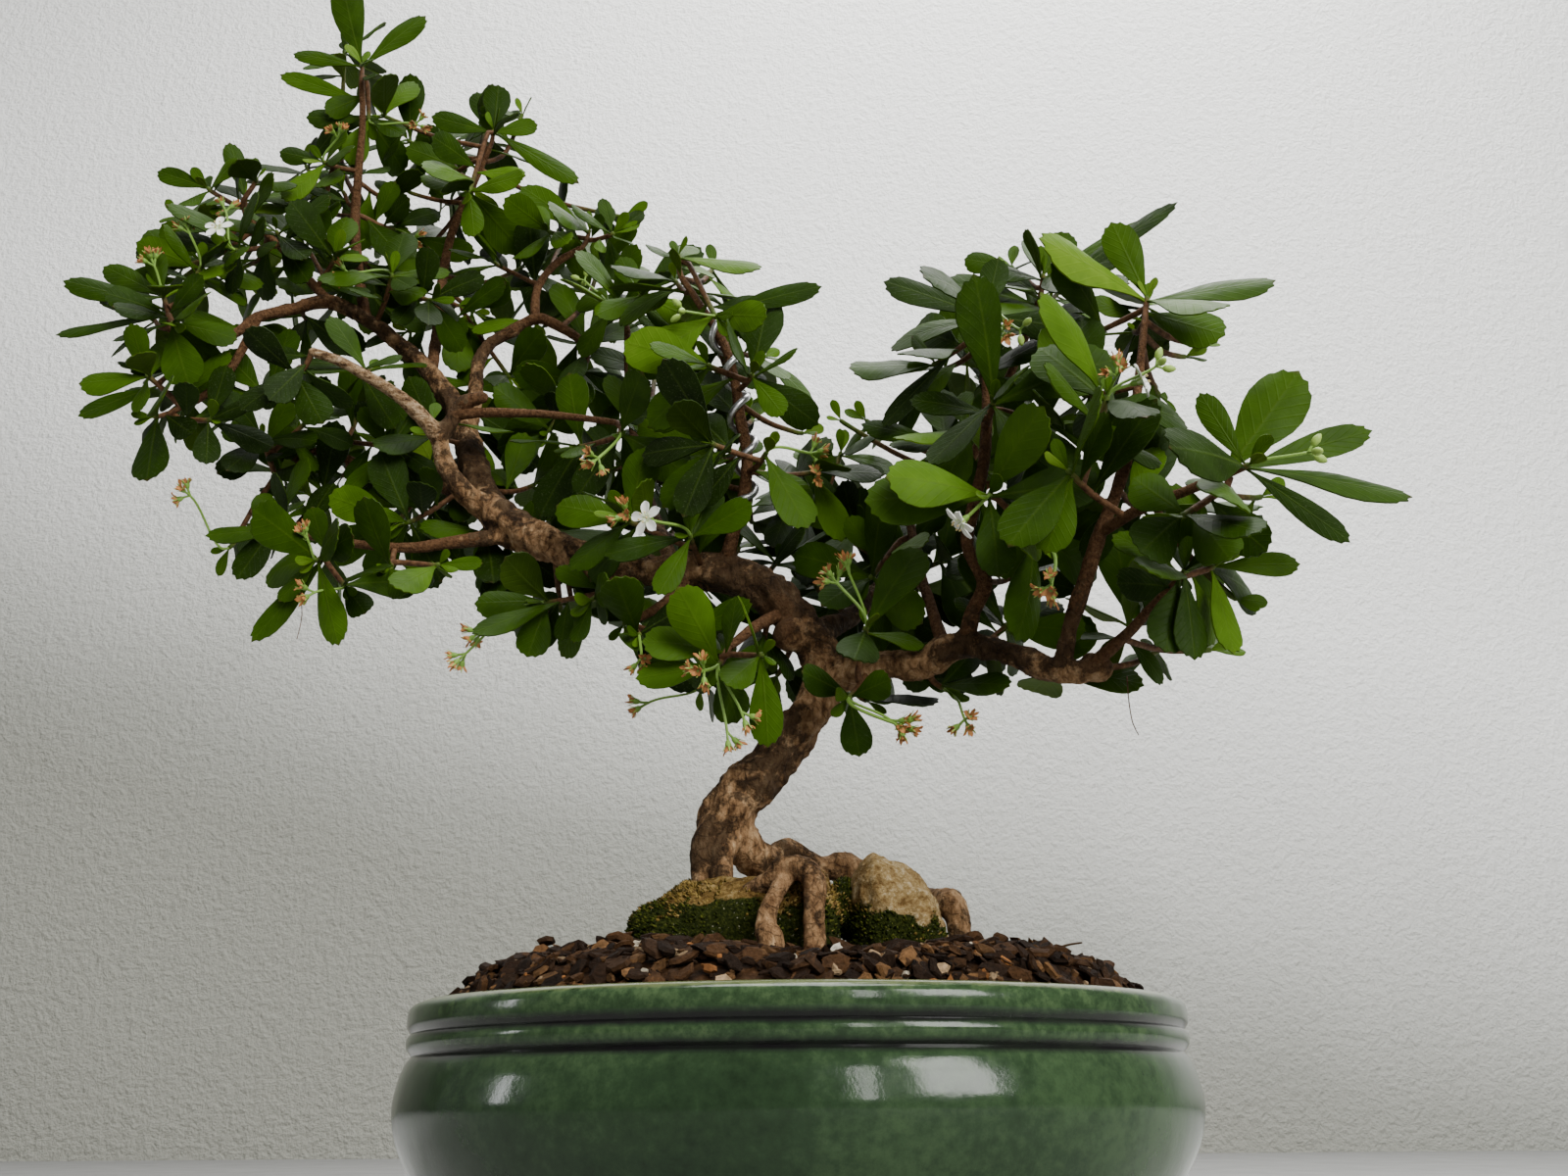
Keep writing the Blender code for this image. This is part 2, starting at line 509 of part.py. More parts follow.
def smooth_path(points, step):
    """Points about step apart on a smooth curve through (place, radius) pairs."""
    made = []
    for i in range(len(points) - 1):
        four = [points[max(0, min(len(points) - 1, i + k))] for k in (-1, 0, 1, 2)]
        length = (four[2][0] - four[1][0]).length
        count = max(1, round(length / step))
        for k in range(count):
            t = k / count
            weights = (
                -0.5 * t + t * t - 0.5 * t**3,
                1 - 2.5 * t * t + 1.5 * t**3,
                0.5 * t + 2 * t * t - 1.5 * t**3,
                -0.5 * t * t + 0.5 * t**3,
            )
            place = sum((w * p[0] for w, p in zip(weights, four)), Vector((0, 0, 0)))
            made.append((place, four[1][1] * (1 - t) + four[2][1] * t))
    made.append(points[-1])
    return made


def limb_path(name):
    """The limb's centre line as (place, radius), where its rings stand."""
    return smooth_path([(seen(*p[:3]), p[3]) for p in WOOD[name]], limb_shape(name)[0])


def divided(path, step):
    """The same straight runs with points about step apart."""
    made = []
    for (start, r0), (end, r1) in zip(path, path[1:]):
        count = max(1, round((end - start).length / step))
        made += [(start.lerp(end, k / count), r0 + (r1 - r0) * k / count) for k in range(count)]
    return made + [path[-1]]


def tangents(places):
    return [
        (places[min(i + 1, len(places) - 1)] - places[max(i - 1, 0)]).normalized()
        for i in range(len(places))
    ]


def side_of(direction, hint):
    """A unit vector square to direction, as near hint as can be."""
    square = hint - direction * hint.dot(direction)
    if square.length < 1e-3:
        square = direction.orthogonal()
    return square.normalized()


def tube(path, sides, wobble=0.0, rng=None, grow=0.0):
    """A closed round tube along (place, radius) pairs, with its radius roughened by a share wobble."""
    places = [p for p, _ in path]
    points, faces = [], []
    x = side_of(tangents(places)[0], UP)
    for (place, radius), along in zip(path, tangents(places)):
        x = side_of(along, x)
        y = along.cross(x)
        for k in range(sides):
            angle = 2 * math.pi * k / sides
            r = (radius + grow) * (1 + (rng.uniform(-wobble, wobble) if rng else 0))
            points.append(place + (x * math.cos(angle) + y * math.sin(angle)) * r)
    for i in range(len(path) - 1):
        for k in range(sides):
            a, b = i * sides + k, i * sides + (k + 1) % sides
            faces.append((a, b, b + sides, a + sides))
    faces.append(tuple(range(sides))[::-1])
    faces.append(tuple(range((len(path) - 1) * sides, len(path) * sides)))
    return points, faces


def oval_ring(inset, height):
    a, b = POT_HALF_LENGTH - inset, POT_HALF_DEPTH - inset
    angles = [2 * math.pi * k / POT_SIDES for k in range(POT_SIDES)]
    return [Vector((a * math.cos(t), b * math.sin(t), height)) for t in angles]


def lofted(rings):
    """A closed body through rings of as many points, with flat ends."""
    sides = len(rings[0])
    faces = []
    for i in range(len(rings) - 1):
        for k in range(sides):
            a, b = i * sides + k, i * sides + (k + 1) % sides
            faces.append((a, b, b + sides, a + sides))
    faces.append(tuple(range(sides))[::-1])
    faces.append(tuple(range((len(rings) - 1) * sides, len(rings) * sides)))
    return [p for ring in rings for p in ring], faces


def box(name, centre, size):
    half = Vector(size) / 2
    bottom = [Vector((x * half.x, y * half.y, -half.z)) for x, y in ((-1, -1), (1, -1), (1, 1), (-1, 1))]
    rings = [[Vector(centre) + p + UP * rise for p in bottom] for rise in (0, size[2])]
    return add_object(name, *lofted(rings), "screen", smooth=False)


def build_pot():
    rings = [oval_ring(*p) for p in POT_OUTSIDE + POT_INSIDE]
    pot = add_object("pot", *lofted(rings), "glaze")
    cutters = []
    for place in DRAIN_PLACES:
        ends = [(Vector((place, 0, z)), DRAIN_RADIUS) for z in (-2, FLOOR_HEIGHT + 2)]
        cutters.append(add_object("drain", *tube(ends, 12), "glaze"))
    boolean(pot, cutters, "DIFFERENCE")
    return pot


def build_screens():
    """A slotted screen over each drain hole keeps the soil in."""
    low = FLOOR_HEIGHT + GAP
    for side, place in zip(("left", "right"), DRAIN_PLACES):
        middle = Vector((place, 0, low + SCREEN_THICKNESS / 2))
        screen = box("drain_screen_" + side, middle, (SCREEN_SIDE, SCREEN_SIDE, SCREEN_THICKNESS))
        slot_size = (*SCREEN_SLOT, 3 * SCREEN_THICKNESS)
        places = [middle + RIGHT * k * SCREEN_SLOT_PITCH for k in SCREEN_SLOT_PLACES]
        slots = [box("slot", slot_place, slot_size) for slot_place in places]
        boolean(screen, slots, "DIFFERENCE")


def soil_height(x, y):
    """The mound's height over the base, with a hollow in front of the stones."""
    edge = POT_INSIDE[1][0] + GAP
    share = min(1, math.hypot(x / (POT_HALF_LENGTH - edge), y / (POT_HALF_DEPTH - edge)))
    middle, radius, depth = SOIL_DIP
    dip = depth * max(0, 1 - math.hypot(x - middle.x, y - middle.y) / radius) * (1 - share**4)
    for (s0, h0), (s1, h1) in zip(SOIL_MOUND, SOIL_MOUND[1:]):
        if share <= s1:
            return POT_HEIGHT + h0 + (h1 - h0) * (share - s0) / (s1 - s0) - dip


def build_soil():
    """The soil fills the pot, and its crumbly mound stands over the rim."""
    rng = random.Random(11)
    inside = [(inset + GAP, max(height, FLOOR_HEIGHT + GAP)) for inset, height in POT_INSIDE[:1:-1]]
    rings = [oval_ring(*p) for p in inside]
    edge = oval_ring(POT_INSIDE[1][0] + GAP, 0)
    for share, _ in SOIL_MOUND[:0:-1]:
        ring = []
        for p in edge:
            wander = SOIL_ROUGHNESS if share < 1 else 0
            out = share * (1 + wander * rng.uniform(-0.02, 0.02))
            x, y = p.x * out, p.y * out
            ring.append(Vector((x, y, soil_height(x, y) + wander * rng.uniform(-1, 1))))
        rings.append(ring)
    soil = add_object("soil", *lofted(rings), "soil", smooth=False)
    pocket_size = (SCREEN_SIDE + 1, SCREEN_SIDE + 1, 2 * (2 * GAP + SCREEN_THICKNESS))
    pockets = [box("pocket", (place, 0, FLOOR_HEIGHT), pocket_size) for place in DRAIN_PLACES]
    boolean(soil, pockets, "DIFFERENCE")
    return soil


def stone_mesh(centre, half, slant, roundness, seed, grow=0.0):
    """A rounded block with a rough skin."""
    def bulge(value):
        return math.copysign(abs(value) ** roundness, value)

    points, faces = [], []
    for ring in range(1, STONE_RINGS):
        for k in range(STONE_SEGMENTS):
            polar, turn = math.pi * ring / STONE_RINGS, 2 * math.pi * k / STONE_SEGMENTS
            unit = Vector((bulge(math.sin(polar)) * bulge(math.cos(turn)),
                           bulge(math.sin(polar)) * bulge(math.sin(turn)), -bulge(math.cos(polar))))
            rough = noise.noise(unit * 1.7 + Vector((seed, seed, seed)))
            size = 0.93 + 0.09 * rough
            place = Vector([u * (h * size + grow) for u, h in zip(unit, half)])
            points.append(centre + place + UP * (place.x * slant))
    for ring in range(STONE_RINGS - 2):
        for k in range(STONE_SEGMENTS):
            a, b = ring * STONE_SEGMENTS + k, ring * STONE_SEGMENTS + (k + 1) % STONE_SEGMENTS
            faces.append((a, b, b + STONE_SEGMENTS, a + STONE_SEGMENTS))
    last = (STONE_RINGS - 2) * STONE_SEGMENTS
    for first, side in ((0, -1), (last, 1)):
        ring = points[first:first + STONE_SEGMENTS]
        points.append(sum(ring, Vector((0, 0, 0))) / STONE_SEGMENTS)
        for k in range(STONE_SEGMENTS):
            fan = (len(points) - 1, first + k, first + (k + 1) % STONE_SEGMENTS)
            faces.append(fan[::side])
    return points, faces


def limb_shape(name):
    """How finely a limb is divided: step along it, sides and roughness."""
    radius = WOOD[name][0][3]
    if name == "trunk":
        return LIMB_STEP, 8, 0.09
    if name in ROOTS:
        return LIMB_STEP, 6, 0.07
    if radius >= THICK_WOOD:
        return LIMB_STEP * 1.1, 6, 0.07
    return TWIG_STEP, 5, 0.0 if name in SMOOTH_LIMBS else 0.04


def build_wood():
    """Roots, trunk and limbs in one piece."""
    limbs = []
    for number, name in enumerate(WOOD):
        _, sides, wobble = limb_shape(name)
        rng = random.Random(100 + number)
        limbs.append(add_object(name, *tube(limb_path(name), sides, wobble, rng), "bark"))
    wood = limbs[0]
    boolean(wood, limbs[1:], "UNION")
    largest_body(wood)
    wood.name = "trunk_and_branches"
    return wood


def root_cutters():
    """The roots again, a little thicker, to seat them in stone and soil."""
    made = []
    for name in ROOTS + ("trunk",):
        _, sides, wobble = limb_shape(name)
        rng = random.Random(100 + list(WOOD).index(name))
        path = limb_path(name)
        if name == "trunk":
            path = path[:4]
        else:
            start, end = path[-2][0], path[-1][0]
            path = path[:-1] + [(end + (end - start).normalized() * GAP, path[-1][1])]
        made.append(add_object("cutter", *tube(path, sides, wobble, rng, grow=GAP * 1.25), "bark"))
    return made


def build_stones(soil):
    for name, shape in STONES.items():
        stone = add_object(name, *stone_mesh(*shape), "stone")
        hollow = add_object("hollow", *stone_mesh(*shape, grow=GAP), "stone")
        boolean(soil, [hollow], "DIFFERENCE")
        for cutter in root_cutters():
            boolean(stone, [cutter], "DIFFERENCE")
        largest_body(stone)
    for cutter in root_cutters():
        boolean(soil, [cutter], "DIFFERENCE")
    largest_body(soil)


class Thicket:
    """What stands in the way of a new leaf."""

    def __init__(self):
        self.things = []

    def add(self, points, faces):
        low = Vector([min(p[i] for p in points) for i in range(3)])
        high = Vector([max(p[i] for p in points) for i in range(3)])
        self.things.append((low, high, BVHTree.FromPolygons(points, faces)))

    def hits(self, points, faces):
        low = Vector([min(p[i] for p in points) for i in range(3)])
        high = Vector([max(p[i] for p in points) for i in range(3)])
        tree = BVHTree.FromPolygons(points, faces)
        for other_low, other_high, other in self.things:
            near = all(low[i] < other_high[i] and high[i] > other_low[i] for i in range(3))
            if near and tree.overlap(other):
                return True
        return False


class Leaf:
    """Where one leaf grows: its root, the way it points, its upper side, its length and width."""

    def __init__(self, root, along, upper, length, width, droop):
        self.root, self.length, self.width = root, length, width
        self.along = along.normalized()
        self.upper = side_of(self.along, upper)
        self.across = self.upper.cross(self.along)
        self.end = (self.along - self.upper * droop).normalized()
        self.end_upper = self.end.cross(self.across)

    def at(self, t, x, z=0.0):
        """The point a share t of the length out, x to the right and z over the middle of the blade."""
        bend = 0.6
        near, far = min(t, bend), max(t - bend, 0)
        upper = self.upper if t <= bend else self.end_upper
        return self.root + (self.along * near + self.end * far) * self.length + self.across * x + upper * z

    def shape_in_view(self):
        """The blade's outline in the front view."""
        wide = self.width / 2
        right = ((0.35, 0.6 * wide), (0.6, wide), (0.92, 0.7 * wide))
        outline = ((0.08, 0), *right, (1, 0), *((t, -x) for t, x in right[::-1]))
        return [front_view(self.at(t, x)) for t, x in outline]

    def hull(self, clear=0.5):
        """The blade, a little thicker and wider, without its root."""
        wide = self.width / 2 + clear
        outline = ((0.06, -0.22 * wide), (0.06, 0.22 * wide), (0.6, wide), (0.92, 0.8 * wide), (1.02, 0),
                   (0.92, -0.8 * wide), (0.6, -wide))
        half = LEAF_THICKNESS / 2 + clear
        points = [self.at(t, x, z) for z in (half, -half) for t, x in outline]
        flat = ((0, 1, 2), (0, 2, 6), (6, 2, 3), (6, 3, 5), (3, 4, 5))
        n = len(outline)
        faces = list(flat) + [tuple(n + i for i in f) for f in flat]
        faces += [(i, (i + 1) % n, n + (i + 1) % n, n + i) for i in range(n)]
        return points, faces


class Rosette:
    """A leafy tip: its last stem joint, the way it points and its leaves."""

    def __init__(self, place, axis, x, leaf_length, seen_tips):
        self.place, self.axis, self.leaf_length, self.seen_tips = place, axis, leaf_length, seen_tips
        self.x = side_of(axis, x)
        self.y = axis.cross(self.x)
        self.leaves = {}

    def side(self, j):
        return (-self.y, self.x, self.y, -self.x)[j]

    def root(self, slot):
        if slot == 4:
            return self.place
        return self.place - self.axis * ROSETTE_HEIGHT / 2 + self.side(slot) * ROSETTE_RADIUS * 0.7

    def facing(self, slot, tip):
        """How squarely a side looks towards tip: 1 straight, 0 sideways."""
        return (self.axis if slot == 4 else self.side(slot)).dot((tip - self.root(slot)).normalized())

    def seen_leaf(self, rng, slot, tip, width, stray):
        """A leaf from a side to tip, or up to about stray beside it."""
        off = Vector((rng.uniform(-0.3, 0.3), rng.uniform(-1, 1), rng.uniform(-0.3, 0.3))) * stray
        way = tip + off - self.root(slot)
        sway = Vector([rng.uniform(-LEAF_SWAY, LEAF_SWAY) for _ in range(3)])
        return Leaf(self.root(slot), way, LIGHT_WAY + sway, way.length, width, 0.12)

    def leaf(self, rng, slot):
        """A leaf for one of the four sides, or for the top as slot 4."""
        if slot == 4:
            lean = rng.uniform(0, 2 * math.pi)
            out = self.x * math.cos(lean) + self.y * math.sin(lean)
            angle, size = rng.uniform(8, 26), 0.8
        else:
            out = self.side(slot)
            turn = rng.uniform(-0.42, 0.42)
            out = out * math.cos(turn) + self.axis.cross(out) * math.sin(turn)
            angle, size = rng.uniform(32, 88), 1.0
        angle = math.radians(angle)
        along = self.axis * math.cos(angle) + out * math.sin(angle)
        sway = Vector([rng.uniform(-LEAF_SWAY, LEAF_SWAY) for _ in range(3)])
        upper = LIGHT_WAY + self.axis * 0.3 - out * 0.2 + sway
        length = self.leaf_length * size * rng.uniform(0.84, 1.12)
        width = min(MAX_LEAF_WIDTH, length * rng.uniform(0.42, 0.52))
        return Leaf(self.root(slot), along, upper, length, width, rng.uniform(0.1, 0.5))


class Spray:
    """A leafy spray in one piece: stems, rosettes and leaves grown face from face."""

    def __init__(self, number):
        self.number = number
        self.points, self.quads, self.faces = [], {}, []
        self.rosettes = []
        self.caps = []

    def ring(self, place, x, y, radius):
        start = len(self.points)
        r = radius * math.sqrt(0.5)
        self.points += [place + x * sx * r + y * sy * r for sx, sy in ((-1, -1), (1, -1), (1, 1), (-1, 1))]
        return tuple(range(start, start + 4))

    def stem(self, ring, places, radii, x):
        """Grows on from a ring of four points through places. Returns the last ring, its axis and x."""
        key = len(self.quads)
        previous = sum((self.points[i] for i in ring), Vector((0, 0, 0))) / 4
        for n, (place, radius) in enumerate(zip(places, radii)):
            after = places[min(n + 1, len(places) - 1)]
            along = (after - previous).normalized()
            x = side_of(along, x)
            new = self.ring(place, x, along.cross(x), radius)
            for j in range(4):
                k = (j + 1) % 4
                self.quads[(key, n, j)] = (ring[j], ring[k], new[k], new[j])
            ring, previous = new, place
        return ring, along, x, key

    def leaf(self, quad, leaf):
        """Grows a leaf out of a quad (low left, low right, high right, high left)."""
        turned = [quad[k:] + quad[:k] for k in range(4)]
        b0, b1, t1, t0 = max(turned, key=lambda q: (self.points[q[3]] - self.points[q[0]]).dot(leaf.upper))
        w = leaf.width
        if leaf.length >= TOOTHED_FROM:
            right = ((0.6, w / 2), (0.89, 0.4 * w), (0.91, 0.2 * w))
            outline = (*right, (1, 0), *((t, -x) for t, x in right[::-1]))
            flat = ((0, 1, 2), (0, 2, 8), (8, 2, 4), (8, 4, 6), (2, 3, 4), (6, 7, 8), (4, 5, 6))
        else:
            outline = ((0.6, w / 2), (0.88, 0.38 * w), (1, 0), (0.88, -0.38 * w), (0.6, -w / 2))
            flat = ((0, 1, 2), (0, 2, 6), (6, 2, 3), (6, 3, 5), (3, 4, 5))
        half = LEAF_THICKNESS / 2
        top, bottom = [t0, t1], [b0, b1]
        for t, x in outline:
            top.append(len(self.points))
            self.points.append(leaf.at(t, x, half))
            bottom.append(len(self.points))
            self.points.append(leaf.at(t, x, -half))
        self.faces += [(top[c], top[b], top[a]) for a, b, c in flat]
        self.faces += [(bottom[a], bottom[b], bottom[c]) for a, b, c in flat]
        n = len(top)
        self.faces += [(bottom[i], top[i], top[(i + 1) % n], bottom[(i + 1) % n]) for i in range(1, n)]

    def solid(self):
        return self.points, list(self.quads.values()) + self.faces + self.caps


def spots_on_wood(target):
    """Limb points, nearest to target first: place, radius, the limb's way, whether it is the limb's end."""
    spots = []
    for name in WOOD:
        if name in ROOTS:
            continue
        path = divided(limb_path(name), 5)
        ways = tangents([p for p, _ in path])
        for i, (place, radius) in enumerate(path):
            distance = (place - target).length - radius
            spots.append((distance, name, i, place, radius, ways[i], i == len(path) - 1))
    return [spot[3:] for spot in sorted(spots, key=lambda spot: spot[:3])]


def curve(start, start_way, end, end_way, count):
    """Places on a smooth curve from start to end, without start."""
    reach = (end - start).length * 0.35
    a, b = start + start_way * reach, end - end_way * reach
    made = []
    for k in range(1, count + 1):
        t = k / count
        made.append(start * (1 - t) ** 3 + a * 3 * t * (1 - t) ** 2 + b * 3 * t * t * (1 - t) + end * t**3)
    return made


def heading(base, tip):
    """The way a leafy tip points: on from its stem, and a little to the light."""
    return ((tip - base).normalized() + LIGHT_WAY * 0.45).normalized()


class Growth:
    """All leafy sprays, placed so that no leaf cuts another piece."""

    def __init__(self):
        self.rng = random.Random(GROWTH_SEED)
        self.thicket = Thicket()
        self.sprays = []
        self.wire = Thicket()
        self.wire.add(*tube(wire_path(), 5, grow=0.6))
        self.thicket.add(*tube(wire_path(), 5, grow=0.6))
        for name in WOOD:
            self.thicket.add(*tube(limb_path(name), 6, grow=0.9))
        self.bare = []
        for name, first, last in BARE_WOOD:
            path = divided(limb_path(name), BARE_STEP)
            for place, radius in path[round(first * (len(path) - 1)):round(last * (len(path) - 1)) + 1]:
                for off in (-UP, -RIGHT, Vector(), RIGHT, UP):
                    self.bare.append((*front_view(place + off * radius * 0.8), place.y))

    def in_front_view(self, leaf):
        """Whether the leaf stays inside the crown's outline and hides no bare wood."""
        shape = leaf.shape_in_view()
        deep = leaf.at(0.6, 0).y
        if not all(inside(CROWN_OUTLINE, *place) for place in shape):
            return False
        return not any(y > deep and inside(shape, u, v) for u, v, y in self.bare)

    def clear_way(self, start, start_way, end, end_way, count):
        """A curve from start to end, and whether it crosses nothing."""
        places = curve(start, start_way, end, end_way, count)
        path = [(start + start_way * 2.5, STEM_RADIUS)] + [(p, STEM_RADIUS) for p in places]
        return places, not self.thicket.hits(*tube(path, 4, grow=STEM_CLEAR))

    def add_stems(self, number, tips):
        spray = Spray(number)
        tip = seen(*tips[0][:3])
        for base, radius, along, at_end in spots_on_wood(tip)[:STEM_TRIES]:
            reach = tip - base
            tip = base + reach.normalized() * max(reach.length, SHORTEST_STEM)
            at_end = at_end and reach.normalized().dot(along) > TIP_CLOSE
            way = along if at_end else side_of(along, reach)
            start = base + way * ((0 if at_end else radius) + GAP)
            end_way = heading(start, tip)
            places, clear = self.clear_way(start, way, tip - end_way * ROSETTE_HEIGHT, end_way, 2)
            foot = [(start, STEM_RADIUS), (start + way * 3, STEM_RADIUS)]
            if clear and not self.wire.hits(*tube(foot, 4, grow=STEM_CLEAR)):
                break
        spray.base, spray.way = start, way
        x = side_of(way, UP)
        ring = spray.ring(start, x, way.cross(x), STEM_RADIUS)
        spray.base_ring = ring
        spray.caps.append(ring[::-1])
        self.grow_stem(spray, ring, start, way, x, places + [tip], tips[0])
        for fork in tips[1:]:
            self.add_fork(spray, fork)
        self.sprays.append(spray)

    def grow_stem(self, spray, ring, start, way, x, places, rosette_place):
        """A stem from a ring through places, with a rosette on its last joint."""
        count = len(places) - 1
        radii = [STEM_RADIUS * 0.9] * (count - 1) + [ROSETTE_RADIUS] * 2
        ring, axis, x, key = spray.stem(ring, places, radii, x)
        across, down, deep, leaf_length = rosette_place
        tips = LEAF_TIPS.get((across, down), ())
        seen_tips = [(seen(u, v, deep - nearer), width) for u, v, nearer, width in tips]
        rosette = Rosette(places[-1], axis, x, leaf_length, seen_tips)
        rosette.slots = {j: (key, count, j) for j in range(4)}
        spray.quads[(key, count, 4)] = ring
        rosette.slots[4] = (key, count, 4)
        spray.rosettes.append(rosette)
        path = [(start + way * 1.5, STEM_RADIUS)] + [(p, STEM_RADIUS) for p in places[:-1]]
        self.thicket.add(*tube(path, 4, grow=STEM_CLEAR))

    def add_fork(self, spray, rosette_place):
        """A side stem out of the free face that best looks towards its rosette, if it can get there."""
        tip = seen(*rosette_place[:3])
        faces = []
        for key, quad in spray.quads.items():
            if key[2] == 4 or key[1] not in (0, 1):
                continue
            corners = [spray.points[i] for i in quad]
            middle = sum(corners, Vector((0, 0, 0))) / 4
            normal = (corners[1] - corners[0]).cross(corners[3] - corners[0]).normalized()
            reach, tall = tip - middle, (corners[3] - corners[0]).length
            score = normal.dot(reach.normalized()) - reach.length * FORK_REACH_COST
            score -= FORK_HEIGHT_COST * max(0, FORK_HEIGHT - tall)
            faces.append((-score, str(key), key, middle, normal, (corners[1] - corners[0]).normalized()))
        for _, _, key, middle, normal, across in sorted(faces, key=lambda face: face[:2]):
            knee = middle + normal * FORK_KNEE
            way = (normal + (tip - middle).normalized()).normalized()
            end_way = heading(knee, tip)
            places, clear = self.clear_way(knee, way, tip - end_way * ROSETTE_HEIGHT, end_way, 1)
            if clear:
                break
        else:
            return
        ring = spray.quads.pop(key)
        x = side_of(way, across)
        bent = spray.ring(knee, x, way.cross(x), STEM_RADIUS * 0.9)
        for j in range(4):
            k = (j + 1) % 4
            spray.quads[(key, -1, j)] = (ring[j], ring[k], bent[k], bent[j])
        self.grow_stem(spray, bent, knee, way, x, places + [tip], rosette_place)

    def add_stalk(self, place, head_height):
        """A thin stalk to a flower, from a leafy tip near it. Returns the stalk's end and way."""
        free = [(s, r) for s in self.sprays for r in s.rosettes if 4 in r.slots]
        free.sort(key=lambda pair: (pair[1].place - place).length)
        for spray, rosette in free[:STEM_TRIES]:
            way = ((place - rosette.place).normalized() + UP * 0.15).normalized()
            end = place - way * head_height
            places, clear = self.clear_way(rosette.place, rosette.axis, end, way, 3)
            if clear:
                break
        ring = spray.quads.pop(rosette.slots.pop(4))
        ring, way, _, _ = spray.stem(ring, places, [STALK_RADIUS] * 3, rosette.x)
        spray.caps.append(ring)
        path = [(rosette.place, STALK_RADIUS)] + [(p, STALK_RADIUS) for p in places]
        self.thicket.add(*tube(path, 4, grow=STEM_CLEAR))
        return end, way

    def add_seen_leaves(self):
        """The leaves that the front view shows, each from the side of its rosette that faces it best."""
        for spray in self.sprays:
            for rosette in spray.rosettes:
                tips = rosette.seen_tips
                pairs = []
                for n, (tip, _) in enumerate(tips):
                    pairs += [(rosette.facing(slot, tip), n, slot) for slot in rosette.slots]
                grown = set()
                for facing, n, slot in sorted(pairs, reverse=True):
                    if facing < LEAST_FACING[slot] or n in grown or rosette.slots[slot] not in spray.quads:
                        continue
                    tip, width = tips[n]
                    strays = range(LEAF_TRIES)
                    tries = (rosette.seen_leaf(self.rng, slot, tip, width, stray) for stray in strays)
                    if self.grow_leaf(spray, rosette, slot, tries):
                        grown.add(n)

    def add_leaves(self, wanted):
        """The widest-spread sides first, one leaf for each rosette in turn."""
        for slot_number in range(wanted):
            for spray in self.sprays:
                for number, rosette in enumerate(spray.rosettes):
                    slot = LEAF_ORDERS[(spray.number + number) % len(LEAF_ORDERS)][slot_number]
                    if slot_number == 4 and rosette.leaf_length < FULL_ROSETTE_FROM:
                        continue
                    if rosette.slots.get(slot) in spray.quads:
                        tries = (rosette.leaf(self.rng, slot) for _ in range(LEAF_TRIES))
                        self.grow_leaf(spray, rosette, slot, filter(self.in_front_view, tries))

    def grow_leaf(self, spray, rosette, slot, tries):
        """Grows the first of the tried leaves that cuts nothing, if there is one."""
        for leaf in tries:
            hull = leaf.hull()
            if not self.thicket.hits(*hull):
                self.thicket.add(*hull)
                rosette.leaves[slot] = leaf
                spray.leaf(spray.quads.pop(rosette.slots[slot]), leaf)
                return True
        return False


def wire_path():
    """The training wire's turns round the limb that grows up from the middle."""
    limb = divided(limb_path("middle_up"), 3)
    first, last = (round(share * (len(limb) - 1)) for share in WIRE_SPAN)
    ways = tangents([p for p, _ in limb])
    x = side_of(ways[first], UP)
    steps = round(WIRE_TURNS * WIRE_TURN_STEPS)
    path = []
    for k in range(steps + 1):
        spot = first + (last - first) * k / steps
        i = min(int(spot), len(limb) - 2)
        place = limb[i][0].lerp(limb[i + 1][0], spot - i)
        radius = limb[i][1] + WIRE_RADIUS + GAP
        x = side_of(ways[i], x)
        turn = 2 * math.pi * WIRE_TURNS * k / steps
        out = x * math.cos(turn) + ways[i].cross(x) * math.sin(turn)
        path.append((place + out * radius, WIRE_RADIUS))
    return path


def petal_star(place, way, radius):
    """Five oblong petals round a short tube."""
    x = side_of(way, UP)
    y = way.cross(x)
    outline = []
    for petal in range(5):
        for turn, reach, rise in ((-36, 0.3, 0), (-14, 0.96, 0.5), (14, 0.96, 0.5)):
            angle = math.radians(72 * petal + turn)
            flat = (x * math.cos(angle) + y * math.sin(angle)) * radius * reach
            outline.append(place + flat + way * (3 + rise))
    n = len(outline)
    points = outline + [p - way * 0.7 for p in outline]
    points += [place + way * 2.6, place]
    faces = []
    for i in range(n):
        j = (i + 1) % n
        faces += [(i, j, 2 * n), (n + j, n + i, 2 * n + 1), (n + i, n + j, j, i)]
    return points, faces


def withered_cluster(place, way, rng):
    """A knot with withered bells on its sides."""
    x = side_of(way, UP)
    y = way.cross(x)
    size = 1.2
    square = [x * sx + y * sy for sx, sy in ((-1, -1), (1, -1), (1, 1), (-1, 1))]
    points = [place + (corner + way * rise) * size for rise in (0, 2) for corner in square]
    faces = [(3, 2, 1, 0)]
    sides = [(0, 1, 5, 4), (1, 2, 6, 5), (2, 3, 7, 6), (3, 0, 4, 7), (4, 5, 6, 7)]
    for number, quad in enumerate(sides):
        if number in (1, 3):
            faces.append(quad)
            continue
        four = [points[i] for i in quad]
        middle = sum(four, Vector((0, 0, 0))) / 4
        out = ((four[1] - four[0]).cross(four[3] - four[0]).normalized() + way * 0.5).normalized()
        ring = quad
        for reach, spread in ((2.6, 0.9), (4.6, 1.75)):
            start = len(points)
            far = [middle + out * (reach + rng.uniform(-0.4, 0.4)) for _ in four]
            points += [q + (p - middle) * spread for p, q in zip(four, far)]
            new = tuple(range(start, start + 4))
            faces += [(ring[j], ring[(j + 1) % 4], new[(j + 1) % 4], new[j]) for j in range(4)]
            ring = new
        points.append(middle + out * 3)
        faces += [(ring[j], ring[(j + 1) % 4], len(points) - 1) for j in range(4)]
    return points, faces


